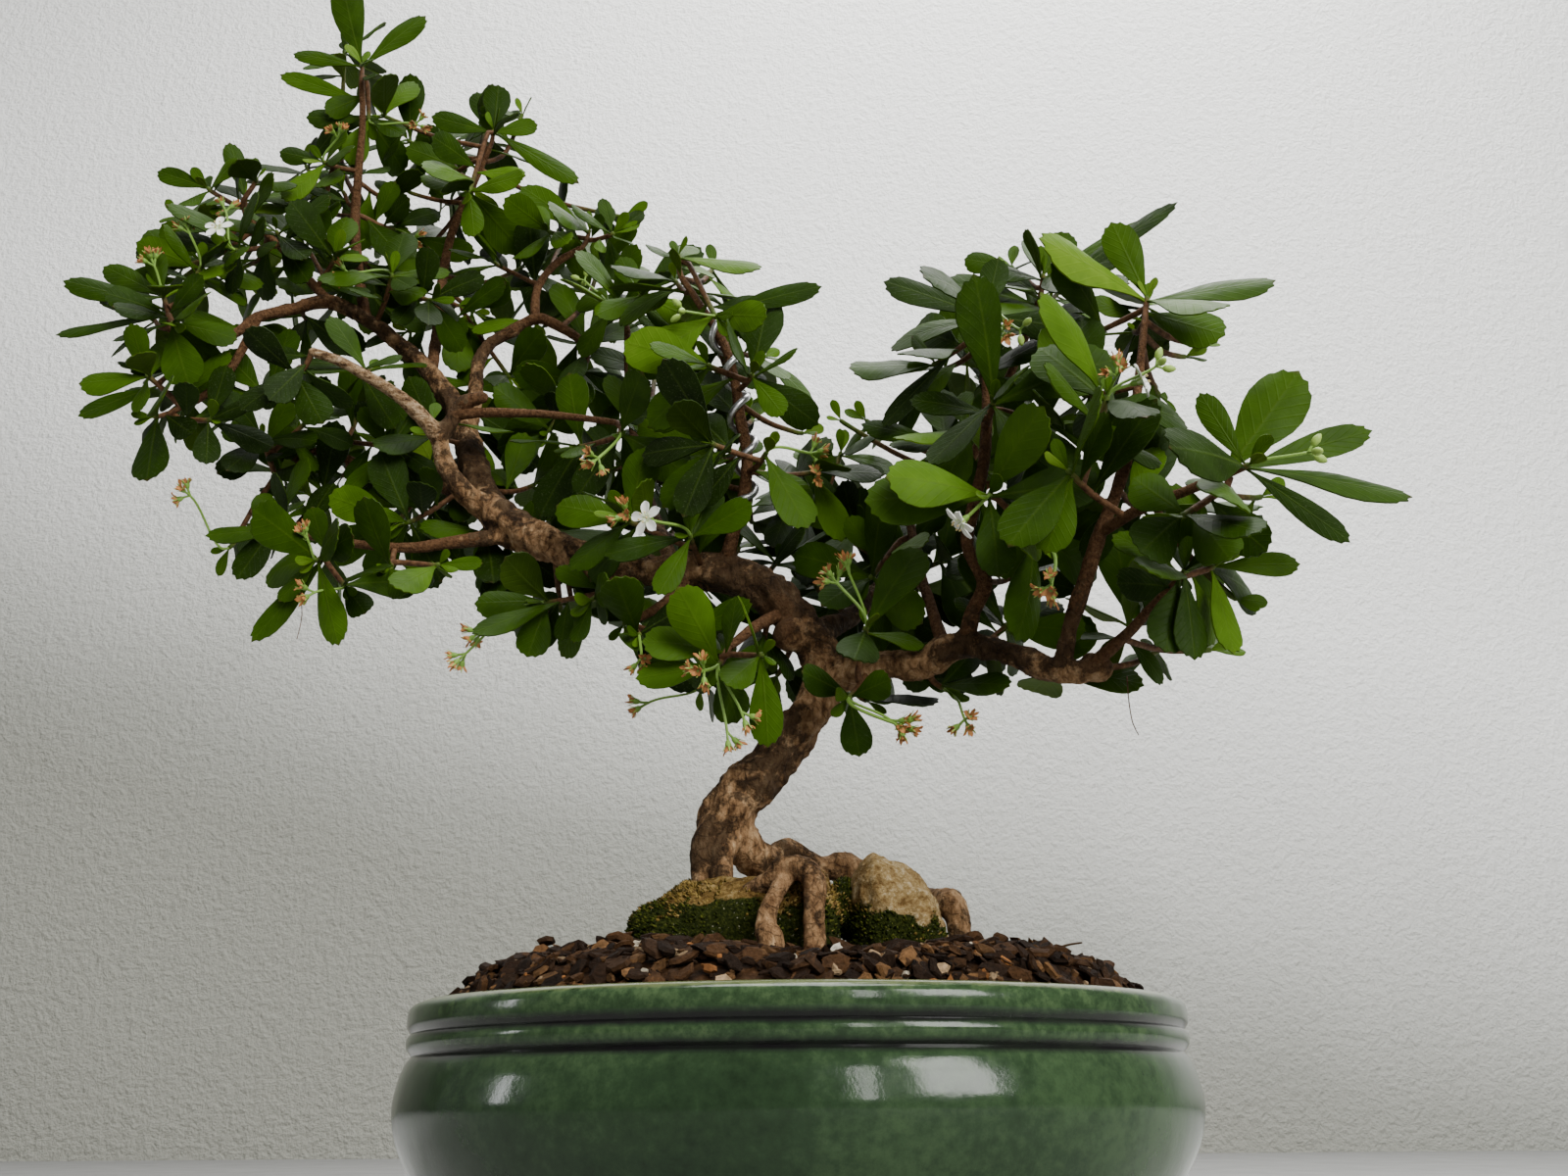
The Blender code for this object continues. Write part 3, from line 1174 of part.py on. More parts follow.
def seat_on_wood(spray, wood_tree):
    """Moves the spray's first ring along its own line until it stands just clear of the bark."""
    origin = spray.base + spray.way * FOOT_LOOK
    hit, _, _, distance = wood_tree.ray_cast(origin * MM, -spray.way)
    if hit is None or distance > FOOT_REACH * MM:
        return
    ring = [spray.points[i].copy() for i in spray.base_ring]
    for step in range(FOOT_STEPS):
        shift = hit / MM + spray.way * (GAP * 0.8 + FOOT_STEP * step) - spray.base
        moved = [p + shift for p in ring]
        reach = min(wood_tree.find_nearest(p * MM)[3] for p in moved)
        ahead = [wood_tree.ray_cast(p * MM, spray.way, 3 * MM)[0] for p in moved]
        if reach > FOOT_GAP * MM and not any(ahead):
            break
    for i, p in zip(spray.base_ring, moved):
        spray.points[i] = p


def build_foliage(wood):
    growth = Growth()
    for number, tips in enumerate(SPRAYS):
        growth.add_stems(number, tips)
    heads = []
    for number, place in enumerate(FLOWERS):
        end, way = growth.add_stalk(seen(*place), 3)
        heads.append(("flower_%d" % (number + 1), petal_star(end + way * GAP, way, FLOWER_RADIUS), "petal"))
    for number, place in enumerate(WITHERED):
        end, way = growth.add_stalk(seen(*place), 2)
        shape = withered_cluster(end + way * GAP, way, random.Random(60 + number))
        heads.append(("withered_flowers_%d" % (number + 1), shape, "withered"))
    for name, shape, colour in heads:
        centre = sum(shape[0], Vector((0, 0, 0))) / len(shape[0])
        growth.thicket.add([centre + (p - centre) * 1.15 for p in shape[0]], shape[1])
        add_object(name, *shape, colour, smooth=False)
    growth.add_seen_leaves()
    growth.add_leaves(5)
    tree = BVHTree.FromObject(wood, bpy.context.evaluated_depsgraph_get())
    for spray in growth.sprays:
        seat_on_wood(spray, tree)
        add_object("leafy_spray_%02d" % (spray.number + 1), *spray.solid(), "leaf", smooth=False)
    return growth


def main():
    clear_scene()
    build_pot()
    build_screens()
    soil = build_soil()
    build_stones(soil)
    wood = build_wood()
    add_object("training_wire", *tube(wire_path(), 5), "wire")
    build_foliage(wood)


main()
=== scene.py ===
"""The looks of a fukien tea bonsai in its glazed pot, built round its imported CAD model.

Lengths are in millimetres, and become metres where a mesh is made. Leafy tips grow by the same steps as
the solids do, so each fine leaf lies where its plain solid is. Places on limbs, tips and flowers are read
off one front view of the tree: how far across and down it, in its pixels, and how deep along +Y.
"""

import math
import random
from collections import namedtuple

import bmesh
import bpy
from mathutils import Matrix, Vector, noise
from mathutils.bvhtree import BVHTree
from mathutils.kdtree import KDTree


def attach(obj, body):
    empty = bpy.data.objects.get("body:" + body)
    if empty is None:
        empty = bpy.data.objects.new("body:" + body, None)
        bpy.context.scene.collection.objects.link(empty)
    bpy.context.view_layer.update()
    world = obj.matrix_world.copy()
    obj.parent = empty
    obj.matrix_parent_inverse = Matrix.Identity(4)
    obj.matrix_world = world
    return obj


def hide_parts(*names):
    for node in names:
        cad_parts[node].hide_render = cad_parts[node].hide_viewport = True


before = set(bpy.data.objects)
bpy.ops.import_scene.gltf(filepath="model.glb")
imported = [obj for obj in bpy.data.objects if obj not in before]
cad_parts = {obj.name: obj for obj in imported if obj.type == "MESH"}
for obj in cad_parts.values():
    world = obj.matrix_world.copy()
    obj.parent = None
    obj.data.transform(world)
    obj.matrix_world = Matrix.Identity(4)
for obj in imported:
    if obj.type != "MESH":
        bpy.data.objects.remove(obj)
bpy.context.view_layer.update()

MM = 0.001
UP = Vector((0, 0, 1))
RIGHT = Vector((1, 0, 0))
GAP = 0.45  # between pieces that touch

# The front view: a picture 1600 pixels wide and 1200 high, and the eye that sees it
VIEW_CENTRE = (800, 600)
VIEW_FOCAL = 1400
VIEW_PITCH = math.radians(20.5)
VIEW_ROLL = math.radians(-0.4)
VIEW_EYE = Vector((-2.7, -396, 55.5))

# The pot
POT_HALF_LENGTH = 105
POT_HALF_DEPTH = 89
POT_HEIGHT = 80
# How far in from the rim's widest oval, and how high, from the base up to the lip
POT_OUTSIDE = (
    (31, 0), (29, 4), (15, 22), (2.4, 40), (-1.8, 51.6), (-1.2, 60), (0.6, 65.2), (1.8, 66.8),
    (0.4, 68.6), (0.3, 71.2), (1.2, 72.4), (0.2, 73.8), (0.4, 78.4), (2.6, 80),
)
# From the lip down the inside to the floor
POT_INSIDE = ((6.5, 80), (7.4, 77), (5.6, 52), (9.8, 40), (22, 22), (38, 7))
FLOOR_HEIGHT = 7
DRAIN_PLACES = (-45, 45)
DRAIN_RADIUS = 6

# The soil: share of the way out from the middle, and height over the rim
SOIL_MOUND = ((0, 14.5), (0.3, 14.2), (0.52, 13.4), (0.72, 12), (0.88, 7.5), (1, -2.5))
SOIL_DIP = (Vector((8, -52, 0)), 42, 7)  # the hollow in front of the stones: middle, radius, depth

# The stones: middle, half sizes, rise to the right, roundness (0 a box, 1 a ball), seed of the roughness
STONES = {
    "stone_left": (Vector((-17, 0, 88)), Vector((32.2, 27, 29)), 0.19, 0.48, 3),
    "stone_right": (Vector((28.4, 0, 92)), Vector((14.9, 20, 29.4)), -0.34, 0.75, 8),
}

# Wood, as (across, down, deep, radius). The roots and the trunk come first
WOOD = {
    "trunk": (
        (738, 860, 1, 7.2), (741, 836, 1, 7.8), (754, 812, 1, 8.2), (774, 793, 2, 7.3),
        (794, 770, 2, 6.6), (815, 743, 3, 6.4), (834, 716, 4, 6.2), (843, 690, 4, 6.0),
        (832, 660, 3, 6.0), (810, 630, 3, 6.4), (780, 602, 4, 6.1), (742, 586, 6, 6.0),
        (692, 582, 9, 5.6), (632, 579, 13, 5.4), (578, 563, 18, 6.0), (534, 545, 24, 6.6),
        (503, 520, 29, 6.4), (486, 488, 34, 5.0),
    ),
    "leg_left": (
        (744, 832, 0, 5.4), (728, 850, -2, 5.0), (718, 870, -4, 4.0), (717, 890, -5, 3.4),
        (718, 905, -6, 3.2), (724, 922, -8, 2.6),
    ),
    "leg_middle": (
        (744, 846, 0, 4.8), (738, 868, -5, 4.0), (736, 890, -9, 3.4), (740, 910, -12, 3.1),
        (760, 912, -18, 2.9), (785, 899, -23, 2.8), (808, 886, -25, 3.4), (826, 890, -28, 3.2),
        (832, 908, -30, 2.9), (831, 930, -31, 2.7), (831, 950, -32, 2.8), (832, 966, -33, 3.0),
        (830, 992, -33, 2.2),
    ),
    "root_front": (
        (808, 886, -24, 2.8), (795, 906, -28, 2.5), (785, 926, -31, 2.5), (781, 942, -32, 2.9),
        (786, 957, -34, 3.7), (790, 976, -35, 3.1), (791, 998, -35, 2.2),
    ),
    "root_back": (
        (744, 842, 2, 6.8), (758, 863, 4, 6.6), (774, 878, 7, 5.8), (788, 879, 11, 4.6),
        (803, 871, 15, 4.3), (818, 877, 17, 4.0), (833, 885, 19, 3.7), (848, 886, 21, 4.1),
        (863, 885, 23, 4.8), (882, 896, 27, 4.0), (912, 906, 29, 3.2), (942, 918, 25, 3.4),
        (958, 920, 19, 3.8), (970, 923, 13, 4.0), (977, 938, 10, 3.6), (980, 958, 9, 2.9),
        (982, 996, 9, 2.0),
    ),
    "limb_left": (
        (488, 494, 33, 5.0), (478, 455, 40, 4.6), (463, 415, 45, 4.0), (440, 382, 48, 3.5),
        (408, 352, 48, 3.2), (374, 326, 46, 2.9), (335, 308, 42, 2.5), (297, 316, 36, 2.2),
        (262, 324, 30, 1.9), (232, 343, 24, 1.6), (172, 336, 18, 1.1),
    ),
    "limb_curled": (
        (476, 452, 40, 3.0), (484, 410, 48, 2.8), (488, 372, 53, 2.5), (500, 351, 54, 2.4),
        (524, 337, 54, 2.3), (548, 325, 53, 2.1), (572, 334, 50, 1.9), (600, 352, 52, 1.4),
    ),
    "limb_curled_up": (
        (546, 328, 53, 1.8), (548, 296, 55, 1.6), (566, 270, 56, 1.4), (592, 254, 55, 1.2),
    ),
    "apex": (
        (374, 328, 46, 2.4), (366, 282, 50, 2.1), (362, 230, 51, 1.9), (366, 175, 48, 1.6),
        (370, 125, 44, 1.3), (369, 84, 41, 1.1),
    ),
    "apex_right": (
        (440, 382, 48, 2.3), (447, 330, 56, 2.0), (452, 280, 60, 1.8), (462, 235, 59, 1.6),
        (480, 195, 55, 1.4), (499, 152, 52, 1.1),
    ),
    "left_high": (
        (337, 309, 42, 1.8), (310, 280, 45, 1.6), (284, 250, 44, 1.4), (252, 222, 40, 1.1),
    ),
    "left_low": (
        (264, 323, 30, 1.7), (236, 376, 28, 1.5), (208, 404, 23, 1.2), (184, 416, 20, 1.0),
    ),
    "dead_stub": (
        (500, 522, 27, 4.4), (474, 503, 21, 3.7), (455, 475, 18, 3.1), (447, 447, 16, 2.9),
        (430, 425, 13, 2.5), (405, 403, 10, 2.1), (375, 384, 7, 1.9), (345, 368, 5, 1.7),
        (318, 359, 3, 1.5),
    ),
    "stub_fork": (
        (448, 450, 16, 2.6), (462, 427, 16, 2.6), (475, 411, 15, 2.4), (494, 405, 13, 1.9),
    ),
    "stub_twig": (
        (464, 424, 16, 1.9), (496, 421, 14, 1.6), (560, 423, 11, 1.3), (628, 431, 6, 1.0),
    ),
    "left_inner": (
        (503, 520, 30, 2.6), (450, 496, 44, 2.1), (385, 482, 50, 1.8), (326, 460, 46, 1.5),
        (282, 486, 40, 1.2),
    ),
    "left_under": (
        (522, 546, 25, 2.9), (466, 553, 19, 2.2), (420, 559, 15, 1.8), (372, 556, 14, 1.4),
        (318, 548, 22, 1.1),
    ),
    "middle_up": (
        (738, 588, 6, 2.5), (748, 545, 2, 2.1), (760, 500, -4, 2.0), (762, 462, -8, 1.9),
        (755, 425, -10, 1.8), (750, 388, -10, 1.6), (738, 350, -10, 1.4), (715, 312, -9, 1.2),
        (696, 284, -8, 1.0),
    ),
    "middle_back": (
        (690, 582, 10, 2.6), (668, 530, 30, 2.2), (652, 470, 44, 1.9), (642, 400, 50, 1.5),
        (640, 335, 46, 1.1),
    ),
    "middle_low": (
        (704, 586, 8, 2.2), (680, 614, -1, 1.7), (650, 632, -4, 1.2),
    ),
    "middle_front": (
        (800, 625, 3, 2.2), (770, 640, -10, 1.7), (745, 660, -15, 1.2),
    ),
    "limb_right": (
        (836, 698, 4, 5.0), (868, 686, -2, 4.5), (906, 678, -8, 4.1), (944, 679, -13, 3.9),
        (968, 661, -16, 4.0), (1006, 660, -20, 3.7), (1040, 670, -24, 3.4), (1080, 686, -28, 3.5),
        (1122, 682, -31, 3.3),
    ),
    "right_back": (
        (829, 658, 3, 4.0), (846, 640, 14, 3.7), (868, 630, 24, 3.1), (895, 600, 34, 2.5),
        (930, 560, 42, 2.1), (972, 520, 44, 1.7), (1012, 492, 40, 1.3),
    ),
    "right_high": (
        (960, 532, 44, 1.8), (1000, 450, 30, 1.6), (1036, 370, 10, 1.4), (1060, 308, -4, 1.1),
    ),
    "right_up": (
        (984, 662, -18, 2.8), (993, 624, -22, 2.4), (1005, 594, -26, 2.3), (987, 556, -29, 2.0),
        (994, 515, -31, 1.9), (1004, 470, -32, 1.8), (1007, 420, -32, 1.6), (1006, 372, -32, 1.3),
        (1006, 346, -31, 1.1),
    ),
    "right_far": (
        (1083, 684, -28, 2.6), (1092, 640, -34, 2.3), (1108, 590, -40, 2.2), (1122, 545, -46, 2.0),
        (1140, 500, -50, 1.8), (1153, 450, -52, 1.6), (1161, 395, -52, 1.3), (1168, 328, -49, 1.0),
    ),
    "right_tip": (
        (1124, 543, -46, 1.7), (1162, 520, -58, 1.5), (1205, 503, -68, 1.3), (1242, 488, -77, 1.2),
    ),
    "right_low": (
        (1108, 683, -30, 2.1), (1145, 652, -40, 1.6), (1175, 620, -49, 1.3), (1194, 600, -54, 1.1),
    ),
    "right_inner": (
        (966, 666, -16, 2.2), (950, 620, -8, 1.8), (936, 570, 0, 1.5), (926, 510, 7, 1.2),
        (932, 470, 9, 1.0),
    ),
}
ROOTS = ("leg_left", "leg_middle", "root_front", "root_back")
SMOOTH_LIMBS = ("middle_up",)  # its round surface carries the wire
THICK_WOOD = 4.0  # a limb that starts this thick has shorter steps
LIMB_STEP = 9.5
TWIG_STEP = 21

# Leafy sprays: in each, two or three rosettes as (across, down, deep, leaf length)
SPRAYS = (
    ((369, 72, 41, 30), (376, 122, 48, 27)),
    ((503, 136, 52, 28), (478, 196, 46, 28), (455, 180, 62, 24)),
    ((596, 246, 55, 31), (560, 236, 48, 30), (626, 238, 52, 18)),
    ((545, 292, 62, 27), (505, 268, 68, 26)),
    ((330, 165, 42, 24), (330, 205, 56, 24)),
    ((250, 205, 40, 25), (262, 182, 36, 24), (212, 192, 34, 20)),
    ((282, 236, 32, 26), (240, 255, 26, 24)),
    ((166, 300, 14, 27), (176, 330, 12, 25), (205, 272, 26, 25)),
    ((150, 382, 12, 25), (185, 372, 34, 23)),
    ((172, 420, 19, 27), (215, 428, 16, 22)),
    ((400, 205, 62, 25), (425, 245, 72, 25)),
    ((342, 262, 34, 24), (312, 250, 60, 24)),
    ((400, 280, 32, 24), (440, 306, 34, 24)),
    ((300, 384, 6, 24), (262, 404, 42, 24)),
    ((268, 448, 30, 24), (312, 430, 32, 23)),
    ((284, 526, 26, 26), (330, 500, 52, 24)),
    ((322, 572, 8, 27), (352, 598, 14, 26)),
    ((398, 580, 8, 26), (448, 576, 10, 23)),
    ((366, 420, 58, 24), (400, 455, 34, 24)),
    ((484, 318, 74, 25), (520, 385, 66, 25)),
    ((588, 388, 58, 26), (560, 440, 44, 26)),
    ((622, 312, 40, 27), (655, 300, 26, 27), (600, 300, 74, 25)),
    ((632, 440, 2, 27), (590, 455, 16, 26)),
    ((694, 272, -8, 17), (730, 322, -18, 30)),
    ((768, 382, -18, 30), (722, 372, -26, 33)),
    ((690, 430, 32, 28), (668, 380, 60, 26)),
    ((782, 462, -16, 28), (726, 452, -24, 28)),
    ((704, 546, -14, 31), (640, 530, -8, 28)),
    ((604, 612, 2, 27), (556, 614, 12, 25)),
    ((652, 648, -10, 26), (694, 650, 2, 26)),
    ((733, 678, -20, 27), (778, 668, -22, 28)),
    ((866, 712, -14, 28), (884, 640, -20, 29)),
    ((806, 505, 34, 28), (858, 462, 40, 28), (872, 540, 24, 27)),
    ((1006, 330, -31, 37), (952, 372, -24, 36)),
    ((1063, 290, -6, 33), (1032, 272, 8, 28)),
    ((1170, 308, -48, 35), (1122, 336, -38, 32)),
    ((1014, 410, -46, 34), (962, 452, -24, 32), (1072, 432, -40, 33)),
    ((1256, 482, -80, 39), (1206, 526, -82, 36)),
    ((1204, 588, -60, 32), (1238, 578, -58, 30)),
    ((1010, 505, -50, 35), (1058, 548, -40, 32)),
    ((1090, 480, -66, 34), (1130, 405, -66, 32)),
    ((924, 560, 10, 29), (888, 590, 2, 30)),
)

# The crown's outline in the front view, as (across, down). No leaf that is placed by chance passes it
CROWN_OUTLINE = (
    (318, -20), (345, 50), (290, 50), (286, 80), (318, 105), (308, 130), (306, 160), (268, 162),
    (236, 143), (222, 172), (160, 172), (195, 207), (138, 243), (135, 262), (66, 280), (92, 310),
    (68, 336), (120, 322), (110, 360), (80, 390), (82, 420), (150, 405), (124, 440), (148, 487),
    (175, 457), (212, 471), (224, 430), (225, 482), (252, 482), (262, 515), (230, 546), (241, 590),
    (272, 587), (260, 636), (300, 607), (332, 607), (338, 656), (375, 625), (402, 640), (410, 606),
    (440, 606), (490, 574), (486, 612), (535, 668), (586, 654), (592, 622), (638, 656), (650, 693),
    (690, 706), (700, 731), (735, 743), (765, 692), (785, 750), (850, 725), (876, 770), (888, 716),
    (936, 724), (1000, 716), (1022, 742), (1035, 706), (1085, 713), (1130, 713), (1175, 706),
    (1210, 698), (1192, 652), (1225, 670), (1264, 664), (1280, 630), (1312, 615), (1300, 565),
    (1302, 505), (1280, 470), (1250, 430), (1205, 425), (1190, 395), (1185, 382), (1245, 345),
    (1190, 320), (1200, 290), (1165, 225), (1110, 240), (1060, 235), (1035, 262), (970, 255),
    (905, 283), (950, 315), (868, 368), (895, 402), (945, 378), (905, 428), (850, 428), (868, 466),
    (830, 430), (805, 446), (785, 470), (778, 430), (842, 424), (832, 390), (785, 366), (806, 352),
    (800, 310), (836, 288), (825, 277), (752, 302), (736, 270), (706, 240), (690, 245), (640, 262),
    (656, 235), (652, 212), (615, 200), (590, 228), (586, 182), (530, 141), (547, 124), (512, 84),
    (474, 90), (474, 132), (435, 116), (386, 112), (446, 98), (412, 56), (380, 75), (436, 18), (425, 3),
    (378, 30), (378, -20),
)

# Limbs that the front view shows bare: name, and between which shares of its length no leaf hides it
BARE_WOOD = (
    ("trunk", 0.0, 0.62), ("trunk", 0.78, 1.0), ("limb_right", 0.25, 1.0), ("right_back", 0.0, 0.25),
    ("limb_left", 0.0, 0.85), ("limb_curled", 0.0, 0.95), ("dead_stub", 0.0, 1.0), ("stub_fork", 0.0, 1.0),
    ("stub_twig", 0.0, 0.9), ("right_up", 0.0, 0.45), ("right_up", 0.62, 0.8), ("middle_up", 0.15, 0.95),
    ("left_under", 0.1, 0.55), ("apex", 0.8, 1.0), ("apex_right", 0.6, 0.95), ("right_far", 0.3, 0.5),
)
BARE_STEP = 3

# Leaves that the front view shows, by the place of their rosette. For each its tip (across, down, how much
# nearer than the rosette) and its width
LEAF_TIPS = {
    (369, 72): ((343, -22, 2, 14), (432, 14, 3, 11.5), (299, 52, 0, 7), (379, 80, 6, 5)),
    (376, 122): ((287, 73, 4, 8), (428, 60, 2, 14), (313, 120, 5, 9), (411, 136, 4, 9)),
    (503, 136): (
        (509, 86, 4, 11), (547, 125, -2, 8), (588, 183, 3, 9), (478, 205, 4, 13), (440, 119, 4, 9),
    ),
    (478, 196): ((485, 238, 6, 9), (430, 178, 4, 9)),
    (596, 246): ((532, 188, 3, 12), (574, 180, -4, 6.5)),
    (560, 236): ((524, 262, 4, 11), (545, 210, 2, 9)),
    (626, 238): ((616, 201, 0, 6), (656, 215, 2, 8), (595, 228, 4, 7)),
    (505, 268): ((490, 208, 5, 14),),
    (330, 165): ((308, 143, 3, 10), (285, 154, 3, 8), (350, 130, 4, 9)),
    (250, 205): ((237, 144, 3, 8), (222, 174, 4, 8)),
    (212, 192): ((160, 174, 2, 8), (205, 172, 2, 6.5), (185, 208, 6, 8)),
    (282, 236): ((250, 212, 10, 12), (310, 262, 6, 9)),
    (240, 255): ((188, 226, 4, 9), (168, 238, 0, 9)),
    (166, 300): ((68, 281, 3, 9.5), (62, 338, 2, 8), (98, 264, 0, 9), (108, 305, 6, 9)),
    (205, 272): ((138, 246, 3, 10),),
    (176, 330): ((115, 345, 4, 9), (140, 372, 5, 9)),
    (150, 382): ((80, 390, 2, 11), (81, 420, 4, 8), (138, 419, 5, 7)),
    (172, 420): ((148, 488, 4, 14.5), (190, 440, 5, 9)),
    (215, 428): ((210, 471, 5, 9), (230, 372, 3, 9)),
    (268, 448): ((224, 482, 3, 10), (226, 436, 4, 9)),
    (284, 526): ((230, 546, 3, 7.5), (243, 590, 2, 10), (262, 505, 3, 9)),
    (322, 572): ((262, 636, 4, 8), (284, 612, 0, 8), (342, 656, 3, 9.5)),
    (352, 598): ((404, 640, 2, 5.5), (372, 624, 5, 9)),
    (398, 580): ((414, 604, 3, 11), (440, 606, 5, 12)),
    (448, 576): ((491, 574, 3, 5.5),),
    (400, 455): ((351, 500, 6, 8), (445, 481, 6, 7.5), (368, 420, 5, 8)),
    (704, 546): ((766, 514, 6, 11), (617, 561, 6, 9), (664, 600, 5, 8)),
    (733, 678): ((735, 743, 3, 12), (699, 730, 4, 8.5), (650, 693, 2, 8)),
    (778, 668): ((782, 750, 2, 10), (745, 690, 5, 10)),
    (652, 648): ((638, 656, 3, 8), (700, 616, 6, 9)),
    (604, 612): ((586, 654, 4, 6), (560, 645, 4, 10)),
    (556, 614): ((536, 668, 3, 11), (485, 612, 3, 10.5), (505, 645, 4, 9)),
    (866, 712): ((876, 770, 2, 9.5), (826, 700, 8, 10), (900, 700, 6, 9)),
    (806, 505): ((828, 592, 20, 8.5), (792, 555, 18, 9)),
    (768, 382): ((842, 424, 3, 11.5), (806, 355, 4, 5.5), (800, 420, 6, 8)),
    (730, 322): ((836, 287, 2, 7.5), (798, 310, 2, 8.5), (776, 300, -3, 8)),
    (694, 272): ((713, 240, 0, 6.5), (657, 262, 2, 7), (752, 311, 4, 9)),
    (722, 372): ((668, 396, 8, 13.5), (664, 350, 5, 7.5)),
    (655, 300): ((607, 319, 3, 10), (632, 262, 2, 9)),
    (690, 430): ((716, 482, 26, 10), (640, 400, 10, 9)),
    (1006, 330): ((905, 283, 4, 10.5), (950, 260, -3, 11), (1018, 262, 2, 9), (1118, 338, 6, 13)),
    (952, 372): ((868, 372, 3, 14.5), (932, 342, 6, 8.5), (905, 428, 2, 6)),
    (1063, 290): ((1070, 213, -2, 7), (1090, 236, 3, 10.5), (1178, 201, -4, 6.5), (1038, 248, 3, 8)),
    (1032, 272): ((985, 262, 0, 9),),
    (1170, 308): ((1134, 226, 3, 11), (1240, 235, 0, 6.5), (1302, 282, 2, 12.5), (1246, 340, 8, 14)),
    (1122, 336): ((1086, 268, 4, 7), (1100, 365, 6, 10)),
    (1014, 410): ((1112, 478, 6, 11), (950, 470, 6, 9.5), (1050, 470, 8, 9)),
    (962, 452): ((896, 462, 3, 7.5), (880, 430, -2, 8)),
    (1256, 482): (
        (1328, 381, 4, 16), (1404, 430, 2, 8), (1442, 500, 3, 11.5), (1377, 549, 5, 6.5), (1222, 401, 0, 7),
    ),
    (1206, 526): ((1165, 560, 6, 13), (1258, 566, 8, 12), (1170, 480, 6, 12)),
    (1238, 578): ((1313, 612, 3, 12), (1265, 664, 4, 10.5), (1327, 573, 0, 7)),
    (1204, 588): ((1223, 671, 3, 10), (1180, 640, 8, 12)),
    (1010, 505): ((1022, 584, 6, 11),),
    (924, 560): ((960, 520, 4, 8), (955, 580, 6, 10)),
}

# Stems, rosettes and leaves
STEM_RADIUS = 1.0
ROSETTE_RADIUS = 0.85
ROSETTE_HEIGHT = 1.7
LEAF_THICKNESS = 0.7
STEM_TRIES = 12
SHORTEST_STEM = 9
STEM_CLEAR = 0.4  # round a stem, when it is tested against what stands in its way
TIP_CLOSE = 0.5  # a stem goes on from a limb's end if the limb points this squarely at its tip
FORK_KNEE = 2.6
# A side stem's start is better the shorter its reach and the taller its face, up to this height
FORK_REACH_COST = 1 / 120
FORK_HEIGHT_COST = 0.04
FORK_HEIGHT = 4
LEAF_TRIES = 24
# How squarely the four sides and the top must look towards the tip of a leaf that the front view shows
LEAST_FACING = (0.35, 0.35, 0.35, 0.35, 0.7)
# In which order the four sides of a rosette and its top get their leaves, by turns
LEAF_ORDERS = ((0, 2, 1, 3, 4), (1, 3, 0, 4, 2), (2, 4, 0, 3, 1), (3, 1, 4, 2, 0))
FULL_ROSETTE_FROM = 25  # rosettes with leaves this long have five of them, the rest four
GROWTH_SEED = 28
LEAF_SWAY = 0.35
MAX_LEAF_WIDTH = 16
LIGHT_WAY = Vector((0, -0.85, 0.2))  # where the leaves turn their upper sides

# Open flowers and withered clusters, as (across, down, deep)
FLOWERS = ((660, 527, -34), (1163, 385, -70), (980, 532, -52), (222, 232, 14))
WITHERED = (
    (607, 470, -12), (832, 462, -4), (850, 588, -26), (925, 742, -24), (1074, 600, -60), (715, 684, -32),
)
FLOWER_RADIUS = 5.4
STALK_RADIUS = 0.55

WIRE_RADIUS = 1.05
WIRE_TURNS = 4.5
WIRE_TURN_STEPS = 7
WIRE_SPAN = (0.2, 0.8)  # share of the wired limb's length
STEM_FOOT = 1.6  # how far a stem's foot goes into the wood
FORK_FOOT = 3.0

# Leaves: the rows and columns of a blade, and its outline
LEAF_COLUMNS = (-1, -0.62, -0.25, 0, 0.25, 0.62, 1)
BACK_LEAF_COLUMNS = (-1, -0.45, 0, 0.45, 1)
LEAF_ROWS = (0, 0.05, 0.12, 0.22, 0.34, 0.46, 0.58, 0.70)
LEAF_CAP = ((22, 1), (40, 1.02), (49, 0.95), (64, 1.03), (73, 0.94))  # degrees round the tip, reach
LEAF_WIDEST = 0.72
LEAF_BEND = 0.4
PETIOLE = 0.05
PETIOLE_WIDTH = 0.09
LEAF_TINTS = (0.2, 0.5)
LEAF_SPREAD = (-0.2, 0.2)
LIT_SHARE = 0.14
LIT_LEAF = 0.28
EXTRA_LEAVES = 6
EXTRA_TRIES = 12
EXTRA_CLEAR = 0.25  # round an extra leaf

# More leafy tips, where the front view would show the wall through the crown: a grid of places in its
# pixels, how deep behind the nearest wood a tip stands, and how long its leaves are on the left and right
FILL_STEP = 13
FILL_DEPTH = (4, 26)
FILL_DEEPEST = 84
FILL_LEAF = (23, 30)
FILL_MOST = 115
FILL_TOGETHER = 12  # tips in one piece
# A leaf of the front view is missed if no leaf ends this near its tip
MISSED_BY = 9
MISSED_TRIES = 40

# Wood
THIN_WOOD = 2.4
WOOD_VOXEL = 0.95
DEAD_WOOD = ("dead_stub",)
DEAD_WOOD_FROM = -117
PALE_WOOD = (*ROOTS, "limb_right", "dead_stub")
FLUTED = ("trunk", "limb_right", "limb_left", "right_back")
FLUTES = 4
FLUTE_TWIST = 0.11
# Knots in the wood, as (across, down, deep, radius)
KNOTS = (
    (1122, 682, -31, 3.9), (1113, 675, -30, 2.7), (806, 648, 0, 5.6), (770, 802, -1, 6.2),
    (748, 824, -2, 6.2), (822, 727, 0, 5.0), (700, 577, 6, 4.9), (640, 572, 10, 4.7),
    (560, 553, 18, 5.2), (508, 525, 24, 5.8), (962, 662, -18, 3.4), (1006, 664, -22, 3.3),
    (878, 888, 24, 3.4), (812, 884, -27, 3.1), (798, 884, -25, 3.1),
)

